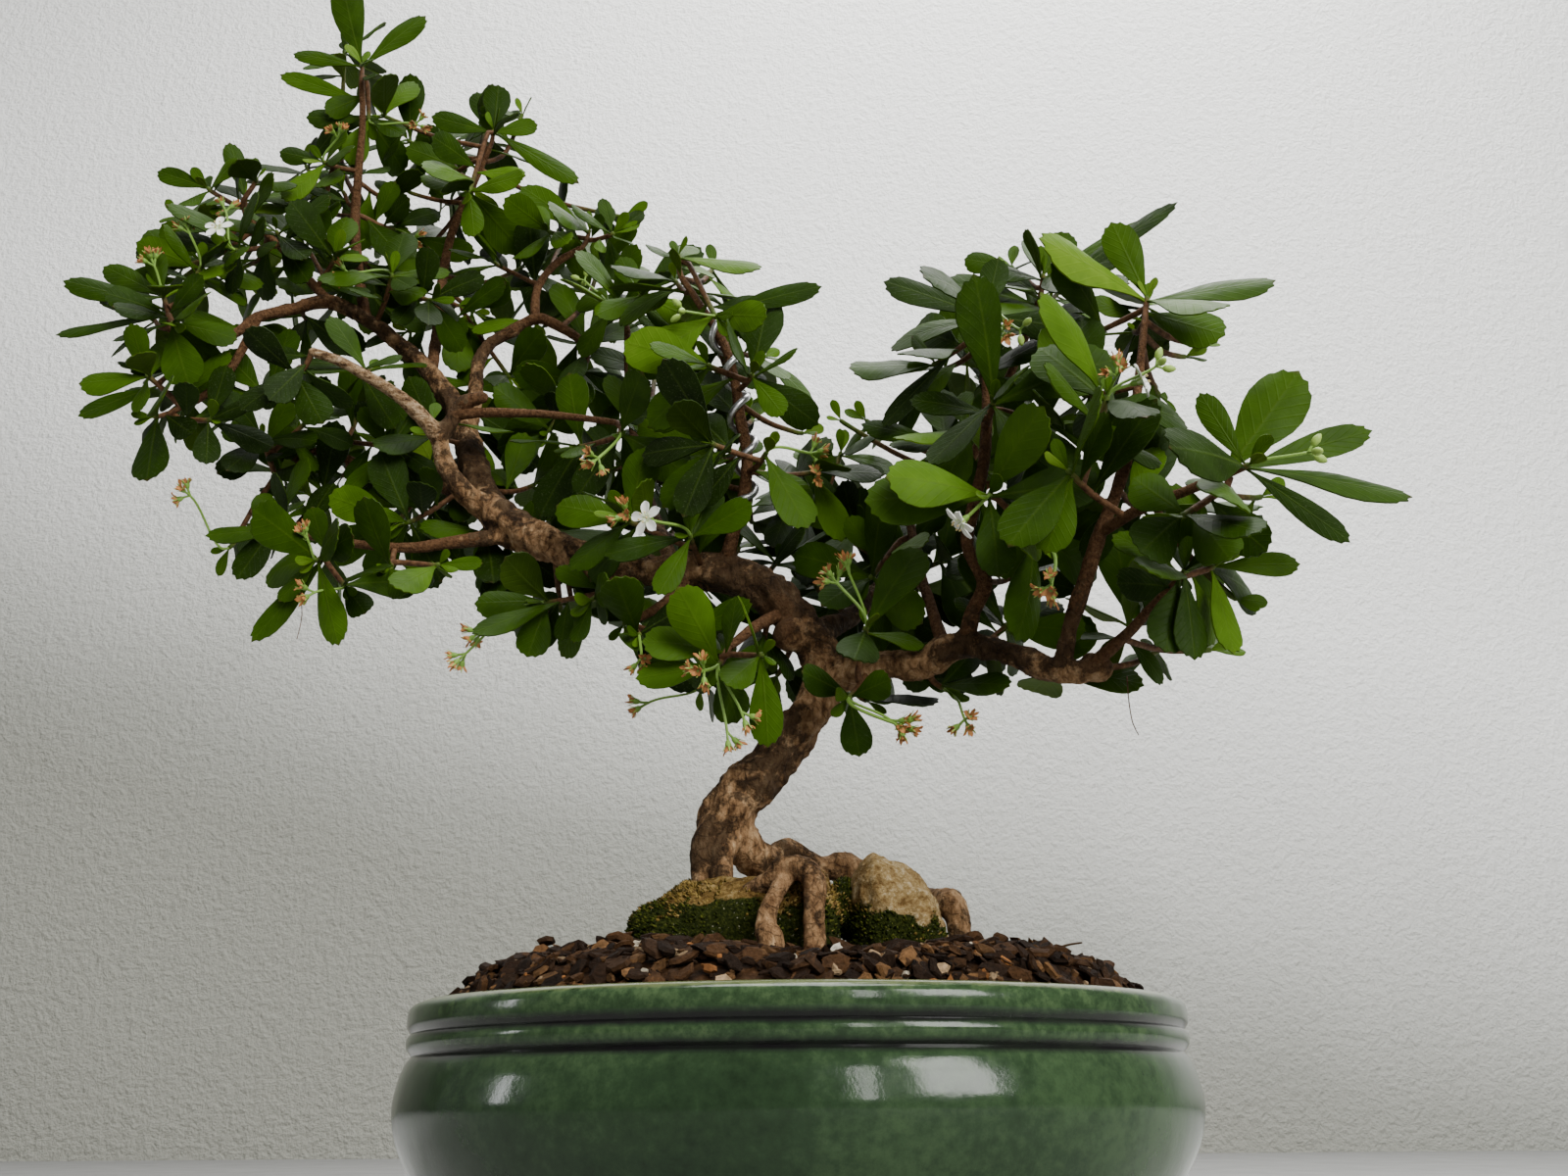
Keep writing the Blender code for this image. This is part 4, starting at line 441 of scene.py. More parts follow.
# Pot, stones and soil
FINE_POT_SIDES = 112
POT_LIP = ((4.6, 80.2),)
MOSS_LINE = {"stone_left": 105, "stone_right": 103}
MOSS_SLOPE = {"stone_left": -0.04, "stone_right": -0.32}
PLUG_PLACE = (862, 926, 2)  # the mossy earth between the stones
PLUG_HALF = (4.5, 9, 8)
FINE_STONE_SIDES = 150
FINE_STONE_RINGS = 96
MOSS_FROM = {"stone_left": -1.6, "stone_right": -0.1}
MOSS_TUFTS = 7500
MOSS_COLOURS = ((0.005, 0.008, 0.0008), (0.012, 0.018, 0.0015), (0.024, 0.032, 0.003),
                (0.055, 0.060, 0.008))
DRY_MOSS_COLOURS = ((0.05, 0.032, 0.006), (0.12, 0.080, 0.018), (0.20, 0.135, 0.04), (0.03, 0.022, 0.004))
SOIL_RINGS = 60
SOIL_SIDES = 180
SOIL_CHIPS = 3400
RIM_CHIPS = 1100
# How common, colour, half length from and to, thickness as a share
SOIL_COLOURS = (
    (34, (0.011, 0.005, 0.002), (1.8, 5.4), 0.2),
    (24, (0.035, 0.016, 0.006), (1.8, 6.0), 0.22),
    (15, (0.085, 0.042, 0.016), (1.6, 4.6), 0.25),
    (8, (0.17, 0.068, 0.020), (1.2, 3.0), 0.25),
    (6, (0.20, 0.135, 0.075), (1.0, 3.2), 0.45),
    (3, (0.36, 0.31, 0.23), (0.8, 1.7), 0.75),
    (18, (0.026, 0.014, 0.007), (0.6, 1.3), 0.7),
)
# Chips that stand out, as (across, down, deep, half length, thickness as a share, colour)
BIG_CHIPS = (
    (765, 978, -44, 5.4, 0.5, (0.20, 0.115, 0.05)), (724, 968, -36, 4.4, 0.35, (0.025, 0.012, 0.006)),
    (702, 972, -42, 3.6, 0.4, (0.15, 0.062, 0.02)), (671, 988, -50, 5.4, 0.25, (0.06, 0.036, 0.018)),
    (552, 972, -10, 4.2, 0.25, (0.11, 0.052, 0.02)), (558, 960, -8, 3.2, 0.25, (0.03, 0.015, 0.007)),
    (855, 970, -38, 2.0, 0.8, (0.50, 0.46, 0.38)), (795, 992, -46, 2.6, 0.3, (0.19, 0.08, 0.024)),
    (932, 986, -42, 3.0, 0.3, (0.19, 0.08, 0.024)), (960, 974, -34, 3.4, 0.3, (0.17, 0.105, 0.05)),
    (620, 985, -40, 4.0, 0.25, (0.022, 0.011, 0.005)), (885, 990, -46, 3.6, 0.25, (0.03, 0.014, 0.006)),
)
# Loose rootlets, each through (across, down, deep, radius)
SOIL_STRINGS = (
    ((1070, 990, -8, 0.45), (1066, 979, -8, 0.4), (1084, 966, -10, 0.35), (1104, 962, -12, 0.25)),
    ((1022, 975, -6, 0.4), (1032, 966, -8, 0.35), (1044, 964, -9, 0.35), (1052, 974, -9, 0.3)),
)

# Spent flowers, buds and dry threads that the solids leave out
EXTRA_SPENT = (
    (640, 525, -24, 3), (1023, 338, -46, 3), (1140, 383, -74, 3), (985, 735, -26, 3), (742, 748, -18, 2),
    (757, 728, -20, 2), (660, 718, -6, 2), (655, 672, -16, 3), (490, 645, 10, 3), (474, 668, 8, 3),
    (320, 605, 6, 3), (313, 550, 2, 3), (193, 505, 20, 3), (157, 270, 8, 3), (425, 127, 44, 3),
    (345, 140, 36, 3), (420, 244, 54, 4), (356, 280, 28, 3), (230, 215, 26, 3), (193, 237, 20, 3),
    (833, 486, -8, 2), (866, 584, -28, 2), (910, 736, -22, 2),
)
OPEN_PETAL = 0.3  # an open flower's petals are this thick, and finer than the others
BUDS = ((597, 287, 48, 3), (700, 318, -22, 3), (1333, 462, -90, 3), (1178, 375, -74, 3),
        (1040, 336, -44, 2))
THREADS = (
    ((1150, 690, -34, 0.2), (1152, 716, -35, 0.16), (1156, 738, -36, 0.16), (1162, 750, -36, 0.12)),
    ((306, 600, 12, 0.16), (308, 628, 12, 0.14), (303, 652, 12, 0.12)),
)

# Stage, in metres. Lights: name, place, what it points at, size, power, colour
WALL_DISTANCE = 1.2
# Painted shade on the wall, from its foot and left end, darker, to its top right, paler
WALL_PAINTED_SHADE = (
    (0.1, (0.315, 0.315, 0.275)), (0.38, (0.29, 0.29, 0.255)), (0.46, (0.33, 0.333, 0.30)),
    (0.66, (0.60, 0.60, 0.575)), (0.84, (0.80, 0.80, 0.785)), (1.0, (0.95, 0.95, 0.935)),
)
# The floor's painted shade along Y, from 3.5 m before the pot to 1.5 m behind it: darker and paler bands that
# set how the floor shows in the glaze, and darker towards the wall's foot
FLOOR_PAINTED_SHADE = ((0.1, 0.9), (0.4, 0.4), (0.66, 0.36), (0.72, 0.8), (0.8, 0.6), (0.86, 0.4), (0.94, 0.36))
LIGHTS = (
    ("window_top", (1.1, -1.35, 1.3), (0, 0, 0.25), (0.62, 0.5), 15, (1.0, 1.0, 0.97)),
    ("window_low", (1.1, -1.35, 0.72), (0, 0, 0.25), (0.62, 0.5), 15, (1.0, 1.0, 0.97)),
    ("window_side", (0.5, -1.7, 0.8), (0, 0, 0.25), (0.14, 0.9), 5, (1.0, 1.0, 0.97)),
    ("window_left", (-2.6, -0.45, 0.7), (0, 0, 0.15), (0.2, 0.7), 6, (0.97, 0.98, 1.0)),
    ("soft_front", (0.7, -1.7, 1.2), (0, 0, 0.25), (1.5, 1.2), 40, (1.0, 1.0, 0.98)),
    ("ceiling", (0.3, 0.5, 2.3), (0.1, 0.6, 0), (2.2, 1.2), 82, (1.0, 1.0, 0.98)),
)
FILL_LIGHT = "soft_front"  # lights evenly and shows in no reflection
WORLD_COLOUR = (0.85, 0.85, 0.82)
WORLD_STRENGTH = 0.32


def seen(across, down, deep):
    """The point at depth deep that the front view shows this far across and down."""
    u, v = across - VIEW_CENTRE[0], down - VIEW_CENTRE[1]
    right = u * math.cos(VIEW_ROLL) + v * math.sin(VIEW_ROLL)
    rise = u * math.sin(VIEW_ROLL) - v * math.cos(VIEW_ROLL)
    away = VIEW_FOCAL * math.cos(VIEW_PITCH) - rise * math.sin(VIEW_PITCH)
    lift = VIEW_FOCAL * math.sin(VIEW_PITCH) + rise * math.cos(VIEW_PITCH)
    return VIEW_EYE + Vector((right, away, lift)) * ((deep - VIEW_EYE.y) / away)


def front_view(point):
    """How far across and down the front view shows a point. The reverse of seen."""
    to_point = point - VIEW_EYE
    away = to_point.y * math.cos(VIEW_PITCH) + to_point.z * math.sin(VIEW_PITCH)
    rise = (to_point.z * math.cos(VIEW_PITCH) - to_point.y * math.sin(VIEW_PITCH)) * VIEW_FOCAL / away
    right = to_point.x * VIEW_FOCAL / away
    u = right * math.cos(VIEW_ROLL) + rise * math.sin(VIEW_ROLL)
    v = right * math.sin(VIEW_ROLL) - rise * math.cos(VIEW_ROLL)
    return VIEW_CENTRE[0] + u, VIEW_CENTRE[1] + v


def inside(outline, across, down):
    """Whether a closed outline in the front view goes round this place."""
    found = False
    for (u0, v0), (u1, v1) in zip(outline, outline[1:] + outline[:1]):
        if (v0 > down) != (v1 > down) and across < u0 + (down - v0) * (u1 - u0) / (v1 - v0):
            found = not found
    return found


def smooth_path(points, step):
    """Points about step apart on a smooth curve through (place, radius) pairs."""
    made = []
    for i in range(len(points) - 1):
        four = [points[max(0, min(len(points) - 1, i + k))] for k in (-1, 0, 1, 2)]
        length = (four[2][0] - four[1][0]).length
        count = max(1, round(length / step))
        for k in range(count):
            t = k / count
            weights = (
                -0.5 * t + t * t - 0.5 * t**3,
                1 - 2.5 * t * t + 1.5 * t**3,
                0.5 * t + 2 * t * t - 1.5 * t**3,
                -0.5 * t * t + 0.5 * t**3,
            )
            place = sum((w * p[0] for w, p in zip(weights, four)), Vector((0, 0, 0)))
            made.append((place, four[1][1] * (1 - t) + four[2][1] * t))
    made.append(points[-1])
    return made


def limb_path(name):
    """The limb's centre line as (place, radius), where its rings stand."""
    return smooth_path([(seen(*p[:3]), p[3]) for p in WOOD[name]], limb_step(name))


def divided(path, step):
    """The same straight runs with points about step apart."""
    made = []
    for (start, r0), (end, r1) in zip(path, path[1:]):
        count = max(1, round((end - start).length / step))
        made += [(start.lerp(end, k / count), r0 + (r1 - r0) * k / count) for k in range(count)]
    return made + [path[-1]]


def tangents(places):
    return [
        (places[min(i + 1, len(places) - 1)] - places[max(i - 1, 0)]).normalized()
        for i in range(len(places))
    ]


def side_of(direction, hint):
    """A unit vector square to direction, as near hint as can be."""
    square = hint - direction * hint.dot(direction)
    if square.length < 1e-3:
        square = direction.orthogonal()
    return square.normalized()


def lofted(rings):
    """A closed body through rings of as many points, with flat ends."""
    sides = len(rings[0])
    faces = []
    for i in range(len(rings) - 1):
        for k in range(sides):
            a, b = i * sides + k, i * sides + (k + 1) % sides
            faces.append((a, b, b + sides, a + sides))
    faces.append(tuple(range(sides))[::-1])
    faces.append(tuple(range((len(rings) - 1) * sides, len(rings) * sides)))
    return [p for ring in rings for p in ring], faces


def turned(x, y, angle):
    """The way that lies angle round from x towards y."""
    return x * math.cos(angle) + y * math.sin(angle)


def turns(count):
    """Angles evenly spread over a full turn."""
    return [2 * math.pi * k / count for k in range(count)]


def tube(path, sides, wobble=0.0, rng=None, grow=0.0):
    """A closed round tube along (place, radius) pairs, with its radius roughened by a share wobble."""
    rings = []
    ways = tangents([p for p, _ in path])
    x = side_of(ways[0], UP)
    for (place, radius), along in zip(path, ways):
        x = side_of(along, x)
        y = along.cross(x)
        ring = []
        for angle in turns(sides):
            r = (radius + grow) * (1 + (rng.uniform(-wobble, wobble) if rng else 0))
            ring.append(place + turned(x, y, angle) * r)
        rings.append(ring)
    return lofted(rings)


def soil_height(x, y):
    """The mound's height over the base, with a hollow in front of the stones."""
    edge = POT_INSIDE[1][0] + GAP
    share = min(1, math.hypot(x / (POT_HALF_LENGTH - edge), y / (POT_HALF_DEPTH - edge)))
    middle, radius, depth = SOIL_DIP
    dip = depth * max(0, 1 - math.hypot(x - middle.x, y - middle.y) / radius) * (1 - share**4)
    for (s0, h0), (s1, h1) in zip(SOIL_MOUND, SOIL_MOUND[1:]):
        if share <= s1:
            return POT_HEIGHT + h0 + (h1 - h0) * (share - s0) / (s1 - s0) - dip


def stone_mesh(centre, half, slant, roundness, seed, segments, rings):
    """A rounded block with a rough skin."""
    def bulge(value):
        return math.copysign(abs(value) ** roundness, value)

    points, faces = [], []
    for ring in range(1, rings):
        for k in range(segments):
            polar, turn = math.pi * ring / rings, 2 * math.pi * k / segments
            unit = Vector((bulge(math.sin(polar)) * bulge(math.cos(turn)),
                           bulge(math.sin(polar)) * bulge(math.sin(turn)), -bulge(math.cos(polar))))
            rough = noise.noise(unit * 1.7 + Vector((seed, seed, seed)))
            size = 0.93 + 0.09 * rough
            place = Vector([u * (h * size) for u, h in zip(unit, half)])
            points.append(centre + place + UP * (place.x * slant))
    for ring in range(rings - 2):
        for k in range(segments):
            a, b = ring * segments + k, ring * segments + (k + 1) % segments
            faces.append((a, b, b + segments, a + segments))
    last = (rings - 2) * segments
    for first, side in ((0, -1), (last, 1)):
        ring = points[first:first + segments]
        points.append(sum(ring, Vector((0, 0, 0))) / segments)
        for k in range(segments):
            fan = (len(points) - 1, first + k, first + (k + 1) % segments)
            faces.append(fan[::side])
    return points, faces


def limb_step(name):
    """How far apart a limb's rings stand."""
    if name == "trunk" or name in ROOTS:
        return LIMB_STEP
    return LIMB_STEP * 1.1 if WOOD[name][0][3] >= THICK_WOOD else TWIG_STEP


class Thicket:
    """What stands in the way of a new leaf."""

    def __init__(self):
        self.things = []

    @staticmethod
    def boxed(points, faces):
        """The lowest and highest corner of a shape, and a tree that finds what it cuts."""
        low, high = [Vector([pick(p[i] for p in points) for i in range(3)]) for pick in (min, max)]
        return low, high, BVHTree.FromPolygons(points, faces)

    def add(self, points, faces):
        self.things.append(self.boxed(points, faces))

    def hits(self, points, faces):
        low, high, tree = self.boxed(points, faces)
        for other_low, other_high, other in self.things:
            near = all(low[i] < other_high[i] and high[i] > other_low[i] for i in range(3))
            if near and tree.overlap(other):
                return True
        return False


def sway_by_chance(rng):
    """A small turn of a leaf's upper side."""
    return Vector([rng.uniform(-LEAF_SWAY, LEAF_SWAY) for _ in range(3)])


class Leaf:
    """Where one leaf grows: its root, the way it points, its upper side, its length and width."""

    def __init__(self, root, along, upper, length, width, droop):
        self.root, self.length, self.width = root, length, width
        self.along = along.normalized()
        self.upper = side_of(self.along, upper)
        self.across = self.upper.cross(self.along)
        self.end = (self.along - self.upper * droop).normalized()
        self.end_upper = self.end.cross(self.across)

    def at(self, t, x, z=0.0):
        """The point a share t of the length out, x to the right and z over the middle of the blade."""
        bend = 0.6
        near, far = min(t, bend), max(t - bend, 0)
        upper = self.upper if t <= bend else self.end_upper
        return self.root + (self.along * near + self.end * far) * self.length + self.across * x + upper * z

    def shape_in_view(self):
        """The blade's outline in the front view."""
        wide = self.width / 2
        right = ((0.35, 0.6 * wide), (0.6, wide), (0.92, 0.7 * wide))
        outline = ((0.08, 0), *right, (1, 0), *((t, -x) for t, x in right[::-1]))
        return [front_view(self.at(t, x)) for t, x in outline]

    def hull(self, clear=0.5):
        """The blade, a little thicker and wider, without its root."""
        wide = self.width / 2 + clear
        outline = ((0.06, -0.22 * wide), (0.06, 0.22 * wide), (0.6, wide), (0.92, 0.8 * wide), (1.02, 0),
                   (0.92, -0.8 * wide), (0.6, -wide))
        half = LEAF_THICKNESS / 2 + clear
        points = [self.at(t, x, z) for z in (half, -half) for t, x in outline]
        flat = ((0, 1, 2), (0, 2, 6), (6, 2, 3), (6, 3, 5), (3, 4, 5))
        n = len(outline)
        faces = list(flat) + [tuple(n + i for i in f) for f in flat]
        faces += [(i, (i + 1) % n, n + (i + 1) % n, n + i) for i in range(n)]
        return points, faces


class Rosette:
    """A leafy tip: its last stem joint, the way it points and its leaves."""

    def __init__(self, place, axis, x, leaf_length, seen_tips):
        self.place, self.axis, self.leaf_length, self.seen_tips = place, axis, leaf_length, seen_tips
        self.x = side_of(axis, x)
        self.y = axis.cross(self.x)
        self.leaves, self.extras = {}, []

    def side(self, j):
        return (-self.y, self.x, self.y, -self.x)[j]

    def root(self, slot):
        if slot == 4:
            return self.place
        return self.place - self.axis * ROSETTE_HEIGHT / 2 + self.side(slot) * ROSETTE_RADIUS * 0.7

    def facing(self, slot, tip):
        """How squarely a side looks towards tip: 1 straight, 0 sideways."""
        return (self.axis if slot == 4 else self.side(slot)).dot((tip - self.root(slot)).normalized())

    def seen_leaf(self, rng, slot, tip, width, stray):
        """A leaf from a side to tip, or up to about stray beside it."""
        off = Vector((rng.uniform(-0.3, 0.3), rng.uniform(-1, 1), rng.uniform(-0.3, 0.3))) * stray
        way = tip + off - self.root(slot)
        sway = sway_by_chance(rng)
        return Leaf(self.root(slot), way, LIGHT_WAY + sway, way.length, width, 0.12)

    def leaf(self, rng, slot):
        """A leaf for one of the four sides, or for the top as slot 4."""
        if slot == 4:
            lean = rng.uniform(0, 2 * math.pi)
            out = turned(self.x, self.y, lean)
            angle, size = rng.uniform(8, 26), 0.8
        else:
            out = self.side(slot)
            turn = rng.uniform(-0.42, 0.42)
            out = turned(out, self.axis.cross(out), turn)
            angle, size = rng.uniform(32, 88), 1.0
        angle = math.radians(angle)
        along = turned(self.axis, out, angle)
        sway = sway_by_chance(rng)
        upper = LIGHT_WAY + self.axis * 0.3 - out * 0.2 + sway
        length = self.leaf_length * size * rng.uniform(0.84, 1.12)
        width = min(MAX_LEAF_WIDTH, length * rng.uniform(0.42, 0.52))
        return Leaf(self.root(slot), along, upper, length, width, rng.uniform(0.1, 0.5))


class Spray:
    """A leafy spray in one piece: stems, rosettes and leaves grown face from face."""

    def __init__(self, number):
        self.number = number
        self.points, self.quads, self.faces = [], {}, []
        self.rosettes = []

    def ring(self, place, x, y, radius):
        start = len(self.points)
        r = radius * math.sqrt(0.5)
        self.points += [place + x * sx * r + y * sy * r for sx, sy in ((-1, -1), (1, -1), (1, 1), (-1, 1))]
        return tuple(range(start, start + 4))

    def stem(self, ring, places, radii, x):
        """Grows on from four points through places. Returns the last ring, its axis, its x and a key."""
        key = len(self.quads)
        previous = sum((self.points[i] for i in ring), Vector((0, 0, 0))) / 4
        for n, (place, radius) in enumerate(zip(places, radii)):
            after = places[min(n + 1, len(places) - 1)]
            along = (after - previous).normalized()
            x = side_of(along, x)
            new = self.ring(place, x, along.cross(x), radius)
            for j in range(4):
                k = (j + 1) % 4
                self.quads[(key, n, j)] = (ring[j], ring[k], new[k], new[j])
            ring, previous = new, place
        return ring, along, x, key


def spots_on_wood(target):
    """Limb points, nearest to target first: place, radius, the limb's way, whether it is the limb's end."""
    spots = []
    for name in WOOD:
        if name in ROOTS:
            continue
        path = divided(limb_path(name), 5)
        ways = tangents([p for p, _ in path])
        for i, (place, radius) in enumerate(path):
            distance = (place - target).length - radius
            spots.append((distance, name, i, place, radius, ways[i], i == len(path) - 1))
    return [spot[3:] for spot in sorted(spots, key=lambda spot: spot[:3])]


def curve(start, start_way, end, end_way, count):
    """Places on a smooth curve from start to end, without start."""
    reach = (end - start).length * 0.35
    a, b = start + start_way * reach, end - end_way * reach
    made = []
    for k in range(1, count + 1):
        t = k / count
        made.append(start * (1 - t) ** 3 + a * 3 * t * (1 - t) ** 2 + b * 3 * t * t * (1 - t) + end * t**3)
    return made


def heading(base, tip):
    """The way a leafy tip points: on from its stem, and a little to the light."""
    return ((tip - base).normalized() + LIGHT_WAY * 0.45).normalized()


class Growth:
    """All leafy sprays, placed so that no leaf cuts another piece."""

    def __init__(self):
        self.rng = random.Random(GROWTH_SEED)
        self.thicket = Thicket()
        self.sprays = []
        self.wire = Thicket()
        self.wire.add(*tube(wire_path(), 5, grow=0.6))
        self.thicket.add(*tube(wire_path(), 5, grow=0.6))
        for name in WOOD:
            self.thicket.add(*tube(limb_path(name), 6, grow=0.9))
        self.bare = []
        for name, first, last in BARE_WOOD:
            path = divided(limb_path(name), BARE_STEP)
            for place, radius in path[round(first * (len(path) - 1)):round(last * (len(path) - 1)) + 1]:
                for off in (-UP, -RIGHT, Vector(), RIGHT, UP):
                    self.bare.append((*front_view(place + off * radius * 0.8), place.y))

    def in_front_view(self, leaf):
        """Whether the leaf stays inside the crown's outline and hides no bare wood."""
        shape = leaf.shape_in_view()
        deep = leaf.at(0.6, 0).y
        if not all(inside(CROWN_OUTLINE, *place) for place in shape):
            return False
        return not any(y > deep and inside(shape, u, v) for u, v, y in self.bare)

    def clear_way(self, start, start_way, end, end_way, count):
        """A curve from start to end, and whether it crosses nothing."""
        places = curve(start, start_way, end, end_way, count)
        path = [(start + start_way * 2.5, STEM_RADIUS)] + [(p, STEM_RADIUS) for p in places]
        return places, not self.thicket.hits(*tube(path, 4, grow=STEM_CLEAR))

    def add_stems(self, number, tips):
        spray = Spray(number)
        tip = seen(*tips[0][:3])
        for base, radius, along, at_end in spots_on_wood(tip)[:STEM_TRIES]:
            reach = tip - base
            tip = base + reach.normalized() * max(reach.length, SHORTEST_STEM)
            at_end = at_end and reach.normalized().dot(along) > TIP_CLOSE
            way = along if at_end else side_of(along, reach)
            start = base + way * ((0 if at_end else radius) + GAP)
            end_way = heading(start, tip)
            places, clear = self.clear_way(start, way, tip - end_way * ROSETTE_HEIGHT, end_way, 2)
            foot = [(start, STEM_RADIUS), (start + way * 3, STEM_RADIUS)]
            if clear and not self.wire.hits(*tube(foot, 4, grow=STEM_CLEAR)):
                break
        else:
            if number >= len(SPRAYS):
                return False
        x = side_of(way, UP)
        ring = spray.ring(start, x, way.cross(x), STEM_RADIUS)
        self.grow_stem(spray, ring, start, way, x, places + [tip], tips[0])
        for fork in tips[1:]:
            self.add_fork(spray, fork)
        self.sprays.append(spray)
        return True

    def grow_stem(self, spray, ring, start, way, x, places, rosette_place):
        """A stem from a ring through places, with a rosette on its last joint."""
        count = len(places) - 1
        radii = [STEM_RADIUS * 0.9] * (count - 1) + [ROSETTE_RADIUS] * 2
        ring, axis, x, key = spray.stem(ring, places, radii, x)
        across, down, deep, leaf_length = rosette_place
        tips = LEAF_TIPS.get((across, down), ())
        seen_tips = [(seen(u, v, deep - nearer), width) for u, v, nearer, width in tips]
        rosette = Rosette(places[-1], axis, x, leaf_length, seen_tips)
        rosette.slots = {j: (key, count, j) for j in range(4)}
        spray.quads[(key, count, 4)] = ring
        rosette.slots[4] = (key, count, 4)
        rosette.path = [start - way * (FORK_FOOT if spray.rosettes else STEM_FOOT), start] + places
        spray.rosettes.append(rosette)
        path = [(start + way * 1.5, STEM_RADIUS)] + [(p, STEM_RADIUS) for p in places[:-1]]
        self.thicket.add(*tube(path, 4, grow=STEM_CLEAR))

    def add_fork(self, spray, rosette_place):
        """A side stem out of the free face that best looks towards its rosette, if it can get there."""
        tip = seen(*rosette_place[:3])
        faces = []
        for key, quad in spray.quads.items():
            if key[2] == 4 or key[1] not in (0, 1):
                continue
            corners = [spray.points[i] for i in quad]
            middle = sum(corners, Vector((0, 0, 0))) / 4
            normal = (corners[1] - corners[0]).cross(corners[3] - corners[0]).normalized()
            reach, tall = tip - middle, (corners[3] - corners[0]).length
            score = normal.dot(reach.normalized()) - reach.length * FORK_REACH_COST
            score -= FORK_HEIGHT_COST * max(0, FORK_HEIGHT - tall)
            faces.append((-score, str(key), key, middle, normal, (corners[1] - corners[0]).normalized()))
        for _, _, key, middle, normal, across in sorted(faces, key=lambda face: face[:2]):
            knee = middle + normal * FORK_KNEE
            way = (normal + (tip - middle).normalized()).normalized()
            end_way = heading(knee, tip)
            places, clear = self.clear_way(knee, way, tip - end_way * ROSETTE_HEIGHT, end_way, 1)
            if clear:
                break
        else:
            return
        ring = spray.quads.pop(key)
        x = side_of(way, across)
        bent = spray.ring(knee, x, way.cross(x), STEM_RADIUS * 0.9)
        for j in range(4):
            k = (j + 1) % 4
            spray.quads[(key, -1, j)] = (ring[j], ring[k], bent[k], bent[j])
        self.grow_stem(spray, bent, knee, way, x, places + [tip], rosette_place)

    def add_stalk(self, place, head_height):
        """A thin stalk to a flower, from a leafy tip near it. Returns the stalk's end and way."""
        free = [(s, r) for s in self.sprays for r in s.rosettes if 4 in r.slots]
        free.sort(key=lambda pair: (pair[1].place - place).length)
        for spray, rosette in free[:STEM_TRIES]:
            way = ((place - rosette.place).normalized() + UP * 0.15).normalized()
            end = place - way * head_height
            places, clear = self.clear_way(rosette.place, rosette.axis, end, way, 3)
            if clear:
                break
        ring = spray.quads.pop(rosette.slots.pop(4))
        _, way, _, _ = spray.stem(ring, places, [STALK_RADIUS] * 3, rosette.x)
        path = [(rosette.place, STALK_RADIUS)] + [(p, STALK_RADIUS) for p in places]
        self.thicket.add(*tube(path, 4, grow=STEM_CLEAR))
        return Head(rosette.place, rosette.axis, end, way)

    def add_seen_leaves(self):
        """The leaves that the front view shows, each from the side of its rosette that faces it best."""
        for spray in self.sprays:
            for rosette in spray.rosettes:
                tips = rosette.seen_tips
                pairs = []
                for n, (tip, _) in enumerate(tips):
                    pairs += [(rosette.facing(slot, tip), n, slot) for slot in rosette.slots]
                grown = set()
                for facing, n, slot in sorted(pairs, reverse=True):
                    if facing < LEAST_FACING[slot] or n in grown or rosette.slots[slot] not in spray.quads:
                        continue
                    tip, width = tips[n]
                    strays = range(LEAF_TRIES)
                    tries = (rosette.seen_leaf(self.rng, slot, tip, width, stray) for stray in strays)
                    if self.grow_leaf(spray, rosette, slot, tries):
                        grown.add(n)

    def add_leaves(self, wanted, sprays):
        """The widest-spread sides first, one leaf for each rosette in turn."""
        for slot_number in range(wanted):
            for spray in sprays:
                for number, rosette in enumerate(spray.rosettes):
                    slot = LEAF_ORDERS[(spray.number + number) % len(LEAF_ORDERS)][slot_number]
                    if slot_number == 4 and rosette.leaf_length < FULL_ROSETTE_FROM:
                        continue
                    if rosette.slots.get(slot) in spray.quads:
                        tries = (rosette.leaf(self.rng, slot) for _ in range(LEAF_TRIES))
                        self.grow_leaf(spray, rosette, slot, filter(self.in_front_view, tries))

    def grow_leaf(self, spray, rosette, slot, tries):
        """Grows the first of the tried leaves that cuts nothing, if there is one."""
        for leaf in tries:
            hull = leaf.hull()
            if not self.thicket.hits(*hull):
                self.thicket.add(*hull)
                rosette.leaves[slot] = leaf
                spray.quads.pop(rosette.slots[slot])
                return True
        return False


def wire_path():
    """The training wire's turns round the limb that grows up from the middle."""
    limb = divided(limb_path("middle_up"), 3)
    first, last = (round(share * (len(limb) - 1)) for share in WIRE_SPAN)
    ways = tangents([p for p, _ in limb])
    x = side_of(ways[first], UP)
    steps = round(WIRE_TURNS * WIRE_TURN_STEPS)
    path = []
    for k in range(steps + 1):
        spot = first + (last - first) * k / steps
        i = min(int(spot), len(limb) - 2)
        place = limb[i][0].lerp(limb[i + 1][0], spot - i)
        radius = limb[i][1] + WIRE_RADIUS + GAP
        x = side_of(ways[i], x)
        turn = 2 * math.pi * WIRE_TURNS * k / steps
        out = turned(x, ways[i].cross(x), turn)
        path.append((place + out * radius, WIRE_RADIUS))
    return path


def petal_star(place, way, radius):
    """Five oblong petals round a short tube."""
    x = side_of(way, UP)
    y = way.cross(x)
    outline = []
    for petal in range(5):
        for turn, reach, rise in ((-36, 0.3, 0), (-14, 0.96, 0.5), (14, 0.96, 0.5)):
            angle = math.radians(72 * petal + turn)
            flat = turned(x, y, angle) * radius * reach
            outline.append(place + flat + way * (3 + rise))
    n = len(outline)
    points = outline + [p - way * 0.7 for p in outline]
    points += [place + way * 2.6, place]
    faces = []
    for i in range(n):
        j = (i + 1) % n
        faces += [(i, j, 2 * n), (n + j, n + i, 2 * n + 1), (n + i, n + j, j, i)]
    return points, faces


